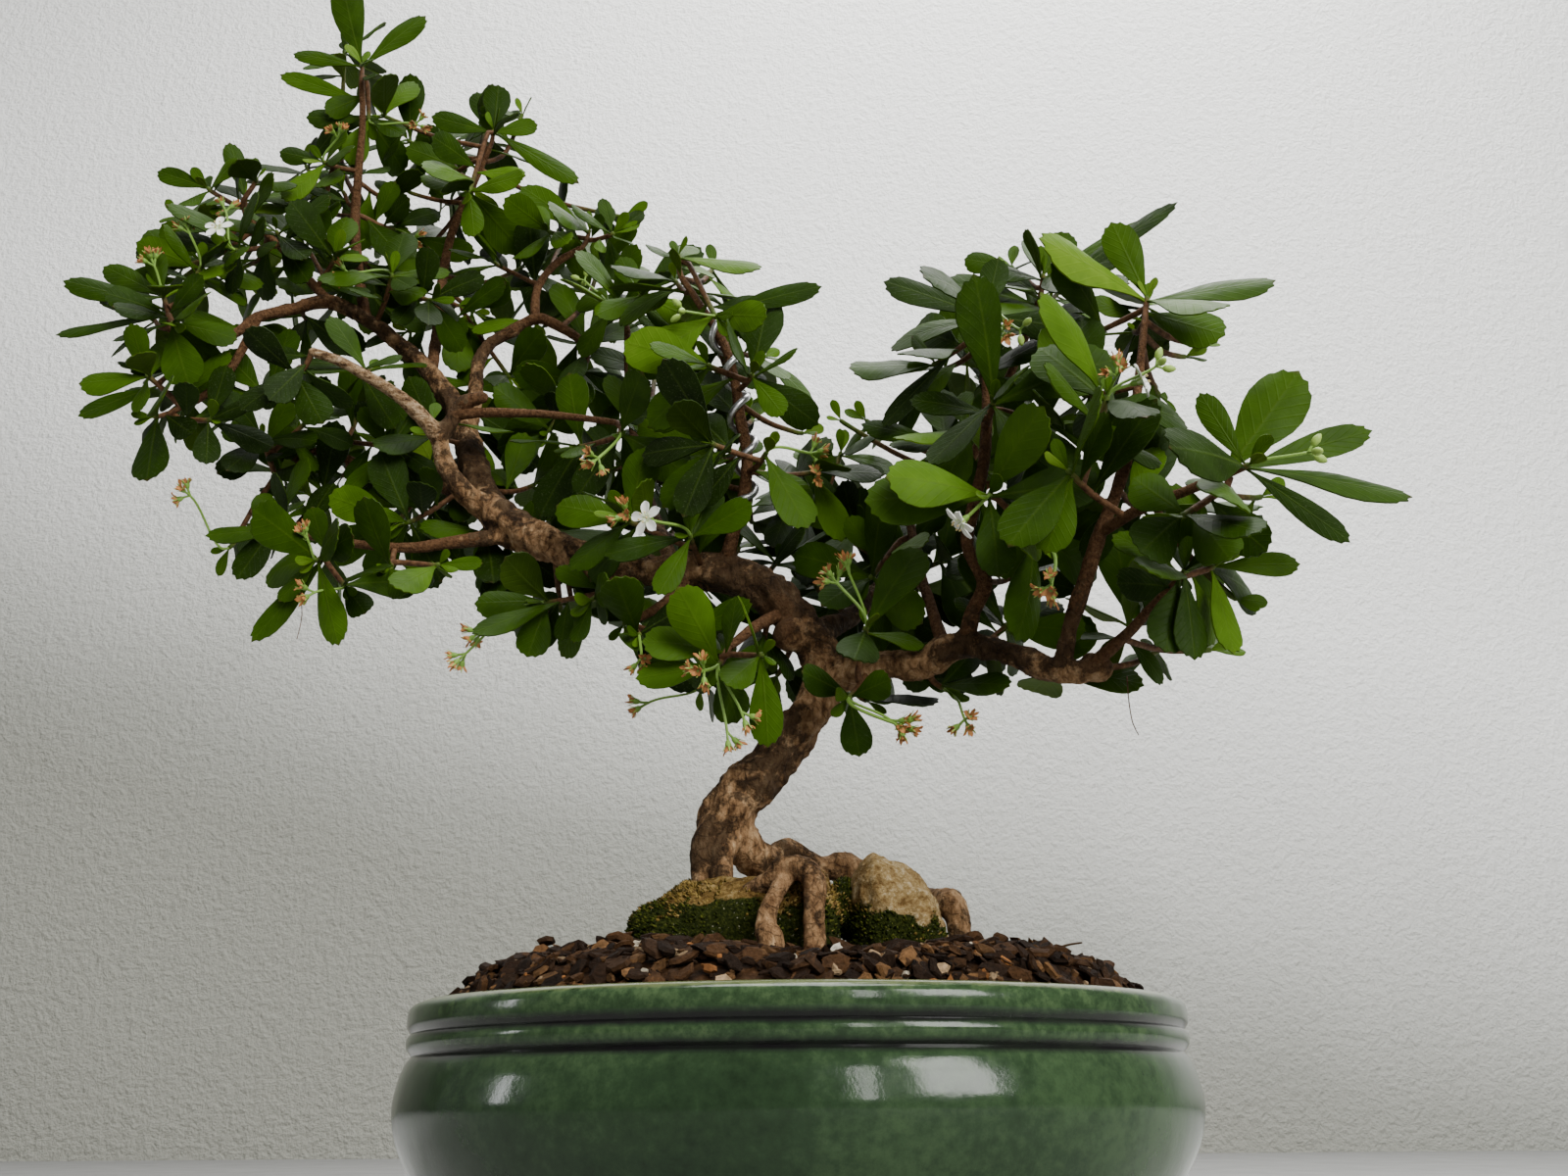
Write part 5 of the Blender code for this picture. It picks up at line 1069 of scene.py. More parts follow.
def withered_cluster(place, way, rng):
    """A knot with withered bells on its sides."""
    x = side_of(way, UP)
    y = way.cross(x)
    size = 1.2
    square = [x * sx + y * sy for sx, sy in ((-1, -1), (1, -1), (1, 1), (-1, 1))]
    points = [place + (corner + way * rise) * size for rise in (0, 2) for corner in square]
    faces = [(3, 2, 1, 0)]
    sides = [(0, 1, 5, 4), (1, 2, 6, 5), (2, 3, 7, 6), (3, 0, 4, 7), (4, 5, 6, 7)]
    for number, quad in enumerate(sides):
        if number in (1, 3):
            faces.append(quad)
            continue
        four = [points[i] for i in quad]
        middle = sum(four, Vector((0, 0, 0))) / 4
        out = ((four[1] - four[0]).cross(four[3] - four[0]).normalized() + way * 0.5).normalized()
        ring = quad
        for reach, spread in ((2.6, 0.9), (4.6, 1.75)):
            start = len(points)
            far = [middle + out * (reach + rng.uniform(-0.4, 0.4)) for _ in four]
            points += [q + (p - middle) * spread for p, q in zip(four, far)]
            new = tuple(range(start, start + 4))
            faces += [(ring[j], ring[(j + 1) % 4], new[(j + 1) % 4], new[j]) for j in range(4)]
            ring = new
        points.append(middle + out * 3)
        faces += [(ring[j], ring[(j + 1) % 4], len(points) - 1) for j in range(4)]
    return points, faces


Head = namedtuple("Head", "start start_way end way")


def build_growth():
    """The same stems and leaves as the solids."""
    growth = Growth()
    for number, tips in enumerate(SPRAYS):
        growth.add_stems(number, tips)
    shapes, growth.flowers, growth.spent = [], [], []
    for place in FLOWERS:
        head = growth.add_stalk(seen(*place), 3)
        shapes.append(petal_star(head.end + head.way * GAP, head.way, FLOWER_RADIUS))
        growth.flowers.append(head)
    for number, place in enumerate(WITHERED):
        head = growth.add_stalk(seen(*place), 2)
        shapes.append(withered_cluster(head.end + head.way * GAP, head.way, random.Random(60 + number)))
        growth.spent.append(head)
    for points, faces in shapes:
        centre = sum(points, Vector((0, 0, 0))) / len(points)
        growth.thicket.add([centre + (p - centre) * 1.15 for p in points], faces)
    growth.add_seen_leaves()
    growth.add_leaves(5, growth.sprays)
    return growth


class Batch:
    """What one object is made of.

    Points are in millimetres. Each point has a look, and each face the number of its material.
    """

    def __init__(self):
        self.points, self.faces, self.looks, self.kinds = [], [], [], []

    def add(self, points, faces, look=(0, 0, 0, 0), kind=0):
        start = len(self.points)
        self.points += points
        self.faces += [tuple(start + i for i in face) for face in faces]
        self.looks += look if isinstance(look, list) else [look] * len(points)
        self.kinds += [kind] * len(faces)

    def make(self, name, materials, slot, nodes=(), sharp=180):
        mesh = mesh_of(name, self.points, self.faces)
        for material in materials:
            mesh.materials.append(material)
        mesh.polygons.foreach_set("material_index", self.kinds)
        set_looks(mesh, self.looks)
        mesh.shade_smooth()
        if sharp < 180:
            mesh.set_sharp_from_angle(angle=math.radians(sharp))
        return dress(link(name, mesh), nodes)


def set_looks(mesh, looks):
    layer = mesh.color_attributes.new("look", "FLOAT_COLOR", "POINT")
    layer.data.foreach_set("color", [c for look in looks for c in look])


def mesh_of(name, points, faces):
    """A mesh in metres from points in millimetres."""
    mesh = bpy.data.meshes.new(name)
    mesh.from_pydata([p * MM for p in points], [], faces)
    return mesh


def as_modified(obj):
    """The mesh that an object's modifiers make of it."""
    return bpy.data.meshes.new_from_object(obj.evaluated_get(bpy.context.evaluated_depsgraph_get()))


def ball(subdivisions, radius):
    """Points and faces of a round ball."""
    made = bmesh.new()
    bmesh.ops.create_icosphere(made, subdivisions=subdivisions, radius=radius)
    points = [v.co.copy() for v in made.verts]
    faces = [tuple(v.index for v in f.verts) for f in made.faces]
    made.free()
    return points, faces


def link(name, mesh):
    obj = bpy.data.objects.new(name, mesh)
    bpy.context.scene.collection.objects.link(obj)
    return obj


def dress(obj, nodes=()):
    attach(obj, "root")
    if nodes:
        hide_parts(*nodes)
    return obj


class Nodes:
    """A short way to write a material's node tree."""

    def __init__(self, name, **settings):
        self.material = bpy.data.materials.new(name)
        self.material.use_nodes = True
        self.tree = self.material.node_tree
        self.shader = self.tree.nodes["Principled BSDF"]
        for socket, value in settings.items():
            self.shader.inputs[socket.replace("_", " ")].default_value = value

    def node(self, kind, inputs=None, **settings):
        made = self.tree.nodes.new("ShaderNode" + kind)
        for key, value in settings.items():
            setattr(made, key, value)
        for socket, value in (inputs or {}).items():
            self.set(made.inputs[socket], value)
        return made

    def set(self, socket, value):
        if isinstance(value, bpy.types.NodeSocket):
            self.tree.links.new(value, socket)
        elif isinstance(value, tuple) and socket.type == "RGBA":
            socket.default_value = (*value[:3], 1)
        else:
            socket.default_value = value

    def out(self, socket, value):
        self.set(self.shader.inputs[socket], value)

    def place(self):
        """Where a point is on the object, in metres."""
        return self.node("TexCoord").outputs["Object"]

    def look(self):
        """The four numbers or the colour that a mesh point carries."""
        found = self.node("Attribute", attribute_name="look")
        parts = self.node("SeparateColor", {"Color": found.outputs["Color"]})
        return found.outputs["Color"], [parts.outputs[i] for i in range(3)] + [found.outputs["Alpha"]]

    def math(self, operation, a, b=0.0, c=0.0):
        made = self.node("Math", operation=operation)
        for socket, value in zip(made.inputs, (a, b, c)):
            self.set(socket, value)
        return made.outputs[0]

    def times(self, a, b):
        return self.math("MULTIPLY", a, b)

    def plus(self, a, b):
        return self.math("ADD", a, b)

    def minus(self, a, b):
        return self.math("SUBTRACT", a, b)

    def times_plus(self, a, b, c):
        return self.math("MULTIPLY_ADD", a, b, c)

    def noise(self, size, detail=4, rough=0.6, place=None, stretch=None):
        """Noise with blobs about this many millimetres across."""
        place = place or self.place()
        if stretch:
            place = self.node("Mapping", {"Vector": place, "Scale": stretch}).outputs[0]
        made = self.node("TexNoise", {"Vector": place, "Scale": 1000 / size, "Detail": detail,
                                      "Roughness": rough})
        return made.outputs["Fac"]

    def cells(self, size, feature="F1", output="Distance"):
        return self.node("TexVoronoi", {"Vector": self.place(), "Scale": 1000 / size},
                         feature=feature).outputs[output]

    def ramp(self, value, *stops):
        """Colours or grey values along value, each stop as (position, colour or grey)."""
        made = self.node("ValToRGB", {"Fac": value})
        elements = made.color_ramp.elements
        while len(elements) < len(stops):
            elements.new(0.5)
        for element, (position, colour) in zip(elements, stops):
            element.position = position
            element.color = (*colour, 1) if isinstance(colour, tuple) else (colour, colour, colour, 1)
        return made.outputs["Color"]

    def mix(self, share, a, b, blend="MIX"):
        made = self.node("Mix", data_type="RGBA", blend_type=blend)
        for socket, value in ((made.inputs[0], share), (made.inputs[6], a), (made.inputs[7], b)):
            self.set(socket, value)
        return made.outputs[2]

    def multiplied(self, a, b):
        """One colour times another."""
        return self.mix(1.0, a, b, "MULTIPLY")

    def bump(self, *heights):
        """Relief from heights, each as (value, millimetres)."""
        normal = None
        for value, depth in heights:
            inputs = {"Height": value, "Distance": depth * MM, "Strength": 1.0}
            if normal:
                inputs["Normal"] = normal
            normal = self.node("Bump", inputs).outputs[0]
        self.out("Normal", normal)


def leaf_material():
    """Dark upper sides and paler undersides. The look holds side, share of the length, tint and under."""
    m = Nodes("leaf_blade", Specular_IOR_Level=0.07)
    _, (side, along, tint, under) = m.look()
    off = m.math("ABSOLUTE", m.minus(side, 0.5))
    rib = m.math("MAXIMUM", m.minus(1, m.times(off, 24)), 0)
    rib = m.times(rib, m.minus(1.0, m.times(along, 0.7)))
    sweep = m.minus(m.times(along, 9.0), m.times(off, 5.0))
    vein = m.math("ABSOLUTE", m.minus(m.math("FRACT", sweep), 0.5))
    vein = m.math("MAXIMUM", m.minus(1, m.times(vein, 8)), 0)
    patch = m.minus(m.noise(9, 3), 0.5)
    shade = m.times_plus(patch, 0.4, tint)
    top = m.ramp(shade, (0.0, (0.005, 0.011, 0.0008)), (0.3, (0.014, 0.034, 0.0014)),
                 (0.6, (0.033, 0.074, 0.0024)), (0.82, (0.060, 0.125, 0.005)),
                 (1.0, (0.105, 0.175, 0.015)))
    back = m.ramp(shade, (0.0, (0.017, 0.034, 0.003)), (0.5, (0.042, 0.080, 0.006)),
                  (1.0, (0.105, 0.165, 0.018)))
    speck = m.ramp(m.noise(0.55, 2), (0.60, 0.0), (0.72, 1.0))
    dusty = m.ramp(tint, (0.1, 0.5), (0.45, 0.05))
    top = m.mix(m.times(m.times(speck, dusty), 0.5), top, (0.12, 0.15, 0.08))
    colour = m.mix(under, top, back)
    colour = m.mix(m.times(rib, 0.4), colour, (0.06, 0.10, 0.012))
    colour = m.mix(m.times(vein, 0.14), colour, m.multiplied(colour, (1.7, 1.6, 1.4)))
    tip = m.times(m.ramp(along, (0.975, 0.0), (1.0, 1.0)), m.ramp(m.noise(5, 2), (0.5, 0.0), (0.62, 1.0)))
    colour = m.mix(m.times(tip, 0.7), colour, (0.05, 0.025, 0.01))
    m.out("Base Color", colour)
    m.out("Roughness", m.times_plus(under, 0.2, m.times_plus(m.noise(2.5, 3), 0.24, 0.38)))
    relief = m.times(m.minus(under, 0.5), m.times_plus(vein, 0.35, rib))
    m.bump((relief, 0.3), (m.noise(0.9, 2), 0.05))
    return m.material


def twig_material():
    """Young wood: brown below, green towards the leafy tip."""
    m = Nodes("young_twig", Specular_IOR_Level=0.2)
    _, (_, along, tint, _) = m.look()
    grain = m.noise(1.6, 4)
    brown = m.ramp(grain, (0.3, (0.035, 0.015, 0.006)), (0.6, (0.11, 0.052, 0.022)),
                   (0.8, (0.18, 0.10, 0.045)))
    green = m.ramp(grain, (0.3, (0.03, 0.06, 0.006)), (0.7, (0.08, 0.12, 0.016)))
    young = m.ramp(m.plus(along, m.times(tint, 0.3)), (0.7, 0.0), (0.98, 1.0))
    m.out("Base Color", m.mix(young, brown, green))
    m.out("Roughness", m.ramp(grain, (0.3, 0.75), (0.8, 0.55)))
    m.bump((grain, 0.25))
    return m.material


def bark_material():
    """Tan lumpy bark with dark patches. The look holds how pale, how dark and how thin the wood is."""
    m = Nodes("old_bark", Specular_IOR_Level=0.12)
    _, (pale, dark, thin, _) = m.look()
    lumps = m.noise(7, 6, 0.65)
    grain = m.noise(1.1, 5, 0.7)
    streak = m.noise(2.2, 5, 0.65, stretch=(1, 1, 0.35))
    crack = m.ramp(m.cells(3.0, "DISTANCE_TO_EDGE"), (0.0, 1.0), (0.09, 0.0))
    bark = m.ramp(m.times_plus(streak, 0.55, m.times(lumps, 0.45)),
                  (0.34, (0.038, 0.018, 0.008)), (0.43, (0.12, 0.063, 0.028)), (0.53, (0.27, 0.155, 0.075)),
                  (0.65, (0.46, 0.31, 0.17)))
    black = m.ramp(grain, (0.35, (0.006, 0.004, 0.002)), (0.7, (0.030, 0.018, 0.010)))
    patch = m.ramp(m.times_plus(dark, 0.42, m.noise(5.5, 5, 0.7)), (0.60, 0.0), (0.70, 1.0))
    colour = m.mix(m.times(patch, 0.8), bark, black)
    # The cracks are painted near black, less where the lumps noise is high: partly darker bark in them,
    # partly painted shade
    dark_crack_and_shade = m.times(crack, m.ramp(lumps, (0.4, 0.6), (0.6, 0.05)))
    colour = m.mix(dark_crack_and_shade, colour, (0.012, 0.007, 0.004))
    twig = m.ramp(grain, (0.3, (0.045, 0.020, 0.009)), (0.6, (0.13, 0.065, 0.030)),
                  (0.8, (0.24, 0.145, 0.075)))
    colour = m.mix(thin, colour, twig)
    line = m.noise(1.3, 4, 0.6, stretch=(0.25, 1, 1))
    bone = m.ramp(m.times_plus(line, 0.6, m.times(grain, 0.4)), (0.38, (0.05, 0.025, 0.012)),
                  (0.47, (0.20, 0.12, 0.06)), (0.56, (0.38, 0.26, 0.15)), (0.68, (0.50, 0.38, 0.25)))
    colour = m.mix(pale, colour, bone)
    m.out("Base Color", colour)
    m.out("Roughness", m.ramp(grain, (0.3, 0.92), (0.75, 0.7)))
    m.bump((m.times(dark_crack_and_shade, -1), 0.5), (streak, 1.6), (grain, 0.8), (patch, 0.4))
    return m.material


def glaze_material():
    """Mottled green glaze, thin and pale on the lip and pooled dark in the grooves."""
    m = Nodes("green_glaze", Specular_IOR_Level=0.34)
    height = m.times(m.node("SeparateXYZ", {"Vector": m.place()}).outputs["Z"], 1000 / POT_HEIGHT)
    drift = m.times_plus(m.noise(14, 4, stretch=(1, 1, 2.2)), 0.012, -0.006)
    level = m.plus(height, drift)
    h = lambda z: z / POT_HEIGHT
    mottle = m.noise(3.2, 6, 0.7)
    cloud = m.noise(60, 3, stretch=(1, 1, 0.6))
    deep = m.ramp(m.times_plus(cloud, 0.6, m.times(mottle, 0.4)), (0.36, (0.008, 0.018, 0.007)),
                  (0.5, (0.015, 0.033, 0.013)), (0.62, (0.030, 0.058, 0.023)))
    bright = m.ramp(mottle, (0.36, (0.014, 0.030, 0.011)), (0.5, (0.026, 0.053, 0.020)),
                    (0.64, (0.055, 0.092, 0.036)))
    crest = m.ramp(level, (h(61), 0.0), (h(64.5), 0.2), (h(66.2), 0.0), (h(68.2), 0.4), (h(70.2), 0.7),
                   (h(71.6), 0.15), (h(73.4), 0.2), (h(76.5), 0.7), (h(79), 0.9))
    colour = m.mix(crest, deep, bright)
    pool = m.ramp(level, (h(65.0), 0.0), (h(66.2), 1.0), (h(67.4), 0.95), (h(68.6), 0.0), (h(70.9), 0.0),
                  (h(72.0), 1.0), (h(73.4), 0.9), (h(75.0), 0.0))
    pooled = m.times(pool, m.ramp(m.noise(22, 3), (0.3, 0.75), (0.6, 1.0)))
    colour = m.mix(pooled, colour, (0.006, 0.005, 0.006))
    worn = m.ramp(m.plus(level, m.times_plus(mottle, 0.02, -0.01)), (h(79.0), 0.0), (h(79.75), 1.0))
    colour = m.mix(m.times(worn, 0.8), colour, (0.125, 0.145, 0.06))
    speck = m.ramp(m.noise(0.8, 2), (0.66, 0.0), (0.72, 1.0))
    colour = m.mix(m.times(speck, 0.35), colour, (0.012, 0.016, 0.008))
    m.out("Base Color", colour)
    m.out("Roughness", m.times_plus(m.noise(6, 4), 0.12, 0.08))
    m.bump((m.noise(26, 2), 0.45), (m.noise(1.4, 3), 0.03))
    return m.material


def soil_material():
    m = Nodes("bark_chips_and_grit", Specular_IOR_Level=0.15)
    colour, _ = m.look()
    grain = m.noise(0.9, 5, 0.7)
    fibre = m.noise(1.6, 4, 0.6, stretch=(0.3, 1, 1))
    shade = m.ramp(m.times_plus(grain, 0.6, m.times(fibre, 0.4)), (0.3, 0.35), (0.5, 0.9), (0.7, 1.7))
    m.out("Base Color", m.multiplied(colour, shade))
    m.out("Roughness", m.ramp(grain, (0.3, 0.95), (0.7, 0.75)))
    m.bump((grain, 0.4), (fibre, 0.3))
    return m.material


def stone_material():
    """Crusty limestone with moss. The look holds how mossy and how pale the stone is there."""
    m = Nodes("mossy_stone", Specular_IOR_Level=0.12)
    _, (moss, pale, _, _) = m.look()
    grain = m.noise(0.9, 5, 0.7)
    blotch = m.noise(4, 5, 0.65)
    mixed = m.times_plus(blotch, 0.6, m.times(grain, 0.4))
    tan = m.ramp(mixed, (0.34, (0.018, 0.009, 0.002)), (0.45, (0.075, 0.040, 0.009)),
                 (0.55, (0.17, 0.105, 0.028)),
                 (0.66, (0.30, 0.21, 0.085)))
    cream = m.ramp(mixed, (0.33, (0.05, 0.025, 0.007)), (0.43, (0.16, 0.092, 0.032)),
                   (0.53, (0.29, 0.20, 0.085)),
                   (0.64, (0.50, 0.41, 0.26)))
    green = m.ramp(grain, (0.32, (0.004, 0.006, 0.0006)), (0.5, (0.013, 0.018, 0.002)),
                   (0.64, (0.036, 0.042, 0.006)),
                   (0.74, (0.12, 0.11, 0.03)))
    edge = m.plus(moss, m.times_plus(m.noise(2.6, 5, 0.7), 0.9, -0.45))
    colour = m.mix(pale, tan, cream)
    colour = m.mix(m.ramp(edge, (0.4, 0.0), (0.58, 1.0)), colour, green)
    fleck = m.ramp(m.noise(0.7, 2), (0.68, 0.0), (0.73, 1.0))
    colour = m.mix(m.times(fleck, 0.6), colour, (0.45, 0.42, 0.30))
    m.out("Base Color", colour)
    m.out("Roughness", m.ramp(grain, (0.3, 0.98), (0.7, 0.8)))
    m.bump((blotch, 1.4), (grain, 0.9))
    return m.material


def tuft_material():
    m = Nodes("moss_tufts", Specular_IOR_Level=0.1)
    colour, _ = m.look()
    grain = m.noise(0.5, 3)
    m.out("Base Color", m.multiplied(colour, m.ramp(grain, (0.3, 0.5), (0.7, 1.6))))
    m.out("Roughness", m.ramp(grain, (0.3, 1.0), (0.7, 0.85)))
    m.bump((grain, 0.2))
    return m.material


def petal_material(name, stops, roughness, relief):
    """Petals, sepals and spent flowers: the look's green channel runs from throat to tip."""
    m = Nodes(name)
    _, (_, along, tint, _) = m.look()
    grain = m.noise(0.8, 3)
    value = m.plus(along, m.times_plus(grain, 0.3, -0.15))
    colour = m.ramp(value, *stops)
    colour = m.mix(m.times(tint, 0.6), colour, m.multiplied(colour, (0.45, 0.4, 0.4)))
    m.out("Base Color", colour)
    m.out("Roughness", m.ramp(grain, (0.3, roughness + 0.1), (0.7, roughness - 0.1)))
    m.bump((grain, relief))
    return m.material


def wire_material():
    m = Nodes("aluminium_wire", Metallic=1.0)
    scratch = m.noise(1.2, 4, stretch=(1, 1, 3))
    m.out("Base Color", m.ramp(scratch, (0.3, (0.42, 0.42, 0.43)), (0.7, (0.78, 0.78, 0.80))))
    m.out("Roughness", m.ramp(scratch, (0.3, 0.42), (0.7, 0.24)))
    m.bump((scratch, 0.03))
    return m.material


def screen_material():
    m = Nodes("black_plastic_screen")
    grain = m.noise(0.7, 3)
    m.out("Base Color", m.ramp(grain, (0.3, (0.008, 0.008, 0.008)), (0.7, (0.025, 0.025, 0.024))))
    m.out("Roughness", m.ramp(grain, (0.3, 0.65), (0.7, 0.45)))
    m.bump((grain, 0.05))
    return m.material


def wall_material():
    """Rough white plaster, with painted shade: darker towards its foot and its left end, and in the hollows
    of its relief.
    """
    m = Nodes("plaster_wall_with_painted_shade")
    relief = m.times_plus(m.noise(10, 4, 0.5), 0.6, m.times(m.noise(4, 3), 0.4))
    parts = m.node("SeparateXYZ", {"Vector": m.place()}).outputs
    # Painted shade: darker towards the wall's foot and its left end, blotched by large soft noise
    rise = m.plus(m.times_plus(parts["X"], 0.3, parts["Z"]), 0.14)
    tone = m.ramp(m.times_plus(m.noise(400, 2), 0.12, rise), *WALL_PAINTED_SHADE)
    # Painted shade in the hollows of the plaster's relief
    m.out("Base Color", m.mix(m.ramp(relief, (0.38, 0.5), (0.5, 0.0)), tone,
                              m.multiplied(tone, (0.86, 0.86, 0.85))))
    m.out("Roughness", m.ramp(relief, (0.3, 0.95), (0.7, 0.8)))
    m.bump((relief, 7.0))
    return m.material


def floor_material():
    m = Nodes("floor_with_painted_shade")
    grain = m.noise(40, 4)
    near = m.node("SeparateXYZ", {"Vector": m.place()}).outputs["Y"]
    pale = m.ramp(grain, (0.3, (0.55, 0.55, 0.54)), (0.7, (0.62, 0.62, 0.61)))
    # Painted shade: darker and paler bands along Y, for how the floor shows in the glaze and at the wall's
    # foot
    painted_floor_shade = m.ramp(m.times_plus(near, 0.2, 0.7), *FLOOR_PAINTED_SHADE)
    m.out("Base Color", m.multiplied(pale, painted_floor_shade))
    m.out("Roughness", m.ramp(grain, (0.3, 0.8), (0.7, 0.65)))
    return m.material


def leaf_rows(toothed):
    """The blade's outline as rows: share of the length, half width, share of the length at the edge."""
    rows = []
    for t in LEAF_ROWS:
        u = max(0, (t - PETIOLE) / (LEAF_WIDEST - PETIOLE))
        rows.append((t, PETIOLE_WIDTH + (1 - PETIOLE_WIDTH) * math.sin(u * math.pi / 2) ** 1.35, t))
    for degrees, reach in LEAF_CAP:
        angle = math.radians(degrees)
        reach = reach if toothed else 1
        t = LEAF_WIDEST + (1 - LEAF_WIDEST) * math.sin(angle)
        rows.append((t, math.cos(angle) * reach, LEAF_WIDEST + (1 - LEAF_WIDEST) * math.sin(angle) * reach))
    return rows


def leaf_place(leaf, t, x, z):
    """As Leaf.at, with one smooth bend instead of a kink."""
    bend = LEAF_BEND * max(t, 0) ** 2.5
    turn = min(1, max(t, 0) / 0.9)
    upper = (leaf.upper * (1 - turn) + leaf.end_upper * turn).normalized()
    return leaf.root + (leaf.along * (t - bend) + leaf.end * bend) * leaf.length + leaf.across * x + upper * z


def add_fine_leaf(batch, leaf, tint, rng, columns=LEAF_COLUMNS):
    """One thin blade with a toothed tip, a rib and a slight curl."""
    rows = leaf_rows(leaf.length > 12)
    half = leaf.width / 2
    cup, wave, phase = rng.uniform(-0.02, 0.26), rng.uniform(0.02, 0.08), rng.uniform(0, 6.28)
    skew = rng.uniform(-0.04, 0.04) * leaf.length
    thick = min(0.42, 0.014 * leaf.length + 0.06)
    points, looks = [], []
    for under in (0, 1):
        for t, edge, edge_t in rows:
            for s in columns:
                at = t if abs(s) < 1 else edge_t
                x = s * edge * half + skew * t * t
                ripple = wave * math.sin(9 * at + phase + 2 * s) * edge * half * abs(s)
                sag = -cup * (s * edge) ** 2 * half + ripple
                rib = 0.0 if abs(s) > 0.05 else (-0.2 if under == 0 else -0.35) * min(1, 4 * (1 - t))
                points.append(leaf_place(leaf, at, x, sag + rib - under * thick))
                looks.append((s * edge * 0.5 + 0.5, at, tint, under))
        points.append(leaf_place(leaf, 1.02, skew, -under * thick * 0.6))
        looks.append((0.5, 1.0, tint, under))
    wide, tall = len(columns), len(rows)
    side = wide * tall + 1
    faces = []
    for i in range(tall - 1):
        for j in range(wide - 1):
            a = i * wide + j
            faces.append((a, a + 1, a + 1 + wide, a + wide))
    last = (tall - 1) * wide
    faces += [(last + j, last + j + 1, side - 1) for j in range(wide - 1)]
    faces += [tuple(side + k for k in face[::-1]) for face in faces]
    rim = [i * wide + wide - 1 for i in range(tall)] + [side - 1] + [i * wide for i in range(tall)][::-1]
    for a, b in zip(rim, rim[1:]):
        faces.append((b, a, side + a, side + b))
    faces.append(tuple(range(wide))[::-1] + tuple(side + j for j in range(wide)))
    batch.add(points, faces, looks)


def fine_path(path, step=2.5):
    return smooth_path([(p, r) for p, r in path], step)


def round_tube(batch, path, sides, look, kind, rough=0.0, rng=None):
    """A closed tube whose far end is rounded off."""
    end = path[-1][0] - path[-2][0]
    head = (path[-1][0] + end.normalized() * path[-1][1] * 0.6, path[-1][1] * 0.45)
    points, faces = tube(path + [head], sides, rough, rng)
    looks = [look(i // sides / len(path)) for i in range(len(points))] if callable(look) else look
    batch.add(points, faces, looks, kind)


def back_along(path, distance):
    """The point this far back from the end of a path of places, and the way the path runs there."""
    for end, start in zip(path[::-1], path[-2::-1]):
        length = (end - start).length
        if distance <= length:
            return end.lerp(start, distance / length), (end - start).normalized()
        distance -= length
    return path[0], (path[1] - path[0]).normalized()


def extra_leaf(rosette, rng, number):
    """A leaf below the rosette's top, turned on by the golden angle."""
    place, axis = back_along(rosette.path, 1.5 + number * 2.1 + rng.uniform(0, 1.2))
    x = side_of(axis, rosette.x)
    turn = 2.4 * number + rng.uniform(-0.7, 0.7) + rosette.leaf_length
    out = turned(x, axis.cross(x), turn)
    angle = math.radians(rng.uniform(38, 92))
    along = turned(axis, out, angle)
    sway = sway_by_chance(rng)
    length = rosette.leaf_length * rng.uniform(0.55, 1.0)
    width = min(MAX_LEAF_WIDTH, length * rng.uniform(0.42, 0.54))
    upper = LIGHT_WAY + axis * 0.3 - out * 0.2 + sway
    return Leaf(place + out * 0.6, along, upper, length, width, rng.uniform(0.1, 0.5))


def tip_leaf(rosette, rng, number):
    """A young leaf in the middle of the rosette."""
    turn = 2.1 * number + rng.uniform(-0.4, 0.4)
    out = turned(rosette.x, rosette.y, turn)
    angle = math.radians(rng.uniform(12, 40))
    along = turned(rosette.axis, out, angle)
    length = rng.uniform(5, 11)
    return Leaf(rosette.place, along, LIGHT_WAY - out * 0.4, length, length * 0.42, 0.15)


def sprout(growth, rosette, tries):
    """Adds the first of the tried leaves that cuts nothing."""
    for leaf in tries:
        hull = leaf.hull(EXTRA_CLEAR)
        if not growth.thicket.hits(*hull):
            growth.thicket.add(*hull)
            rosette.extras.append(leaf)
            return


def missed_leaf(rosette, rng, tip, width, stray):
    """A leaf that ends where the front view shows one, from the stem below the rosette's top."""
    place, axis = back_along(rosette.path, rng.uniform(0.3, 8))
    off = Vector((rng.uniform(-1, 1), rng.uniform(-2, 2), rng.uniform(-1, 1))) * stray * 0.15
    out = side_of(axis, tip - place)
    way = tip + off - place
    sway = sway_by_chance(rng)
    return Leaf(place + out * 0.6, way, LIGHT_WAY + sway, way.length, width, 0.12)


def grow_missed(growth):
    """The leaves of the front view that the solids have no room for."""
    rng = random.Random(9)
    for spray in growth.sprays:
        for rosette in spray.rosettes:
            for tip, width in rosette.seen_tips:
                if all((leaf.at(1, 0) - tip).length > MISSED_BY for leaf in rosette.leaves.values()):
                    strays = range(MISSED_TRIES)
                    sprout(growth, rosette,
                           (missed_leaf(rosette, rng, tip, width, stray) for stray in strays))


def cover(covered, leaf):
    """Notes the grid places of the front view that a leaf covers."""
    shape = leaf.shape_in_view()
    across, down = [u for u, _ in shape], [v for _, v in shape]
    for i in range(math.ceil(min(across) / FILL_STEP), math.floor(max(across) / FILL_STEP) + 1):
        for j in range(math.ceil(min(down) / FILL_STEP), math.floor(max(down) / FILL_STEP) + 1):
            if inside(shape, i * FILL_STEP, j * FILL_STEP):
                covered.add((i, j))


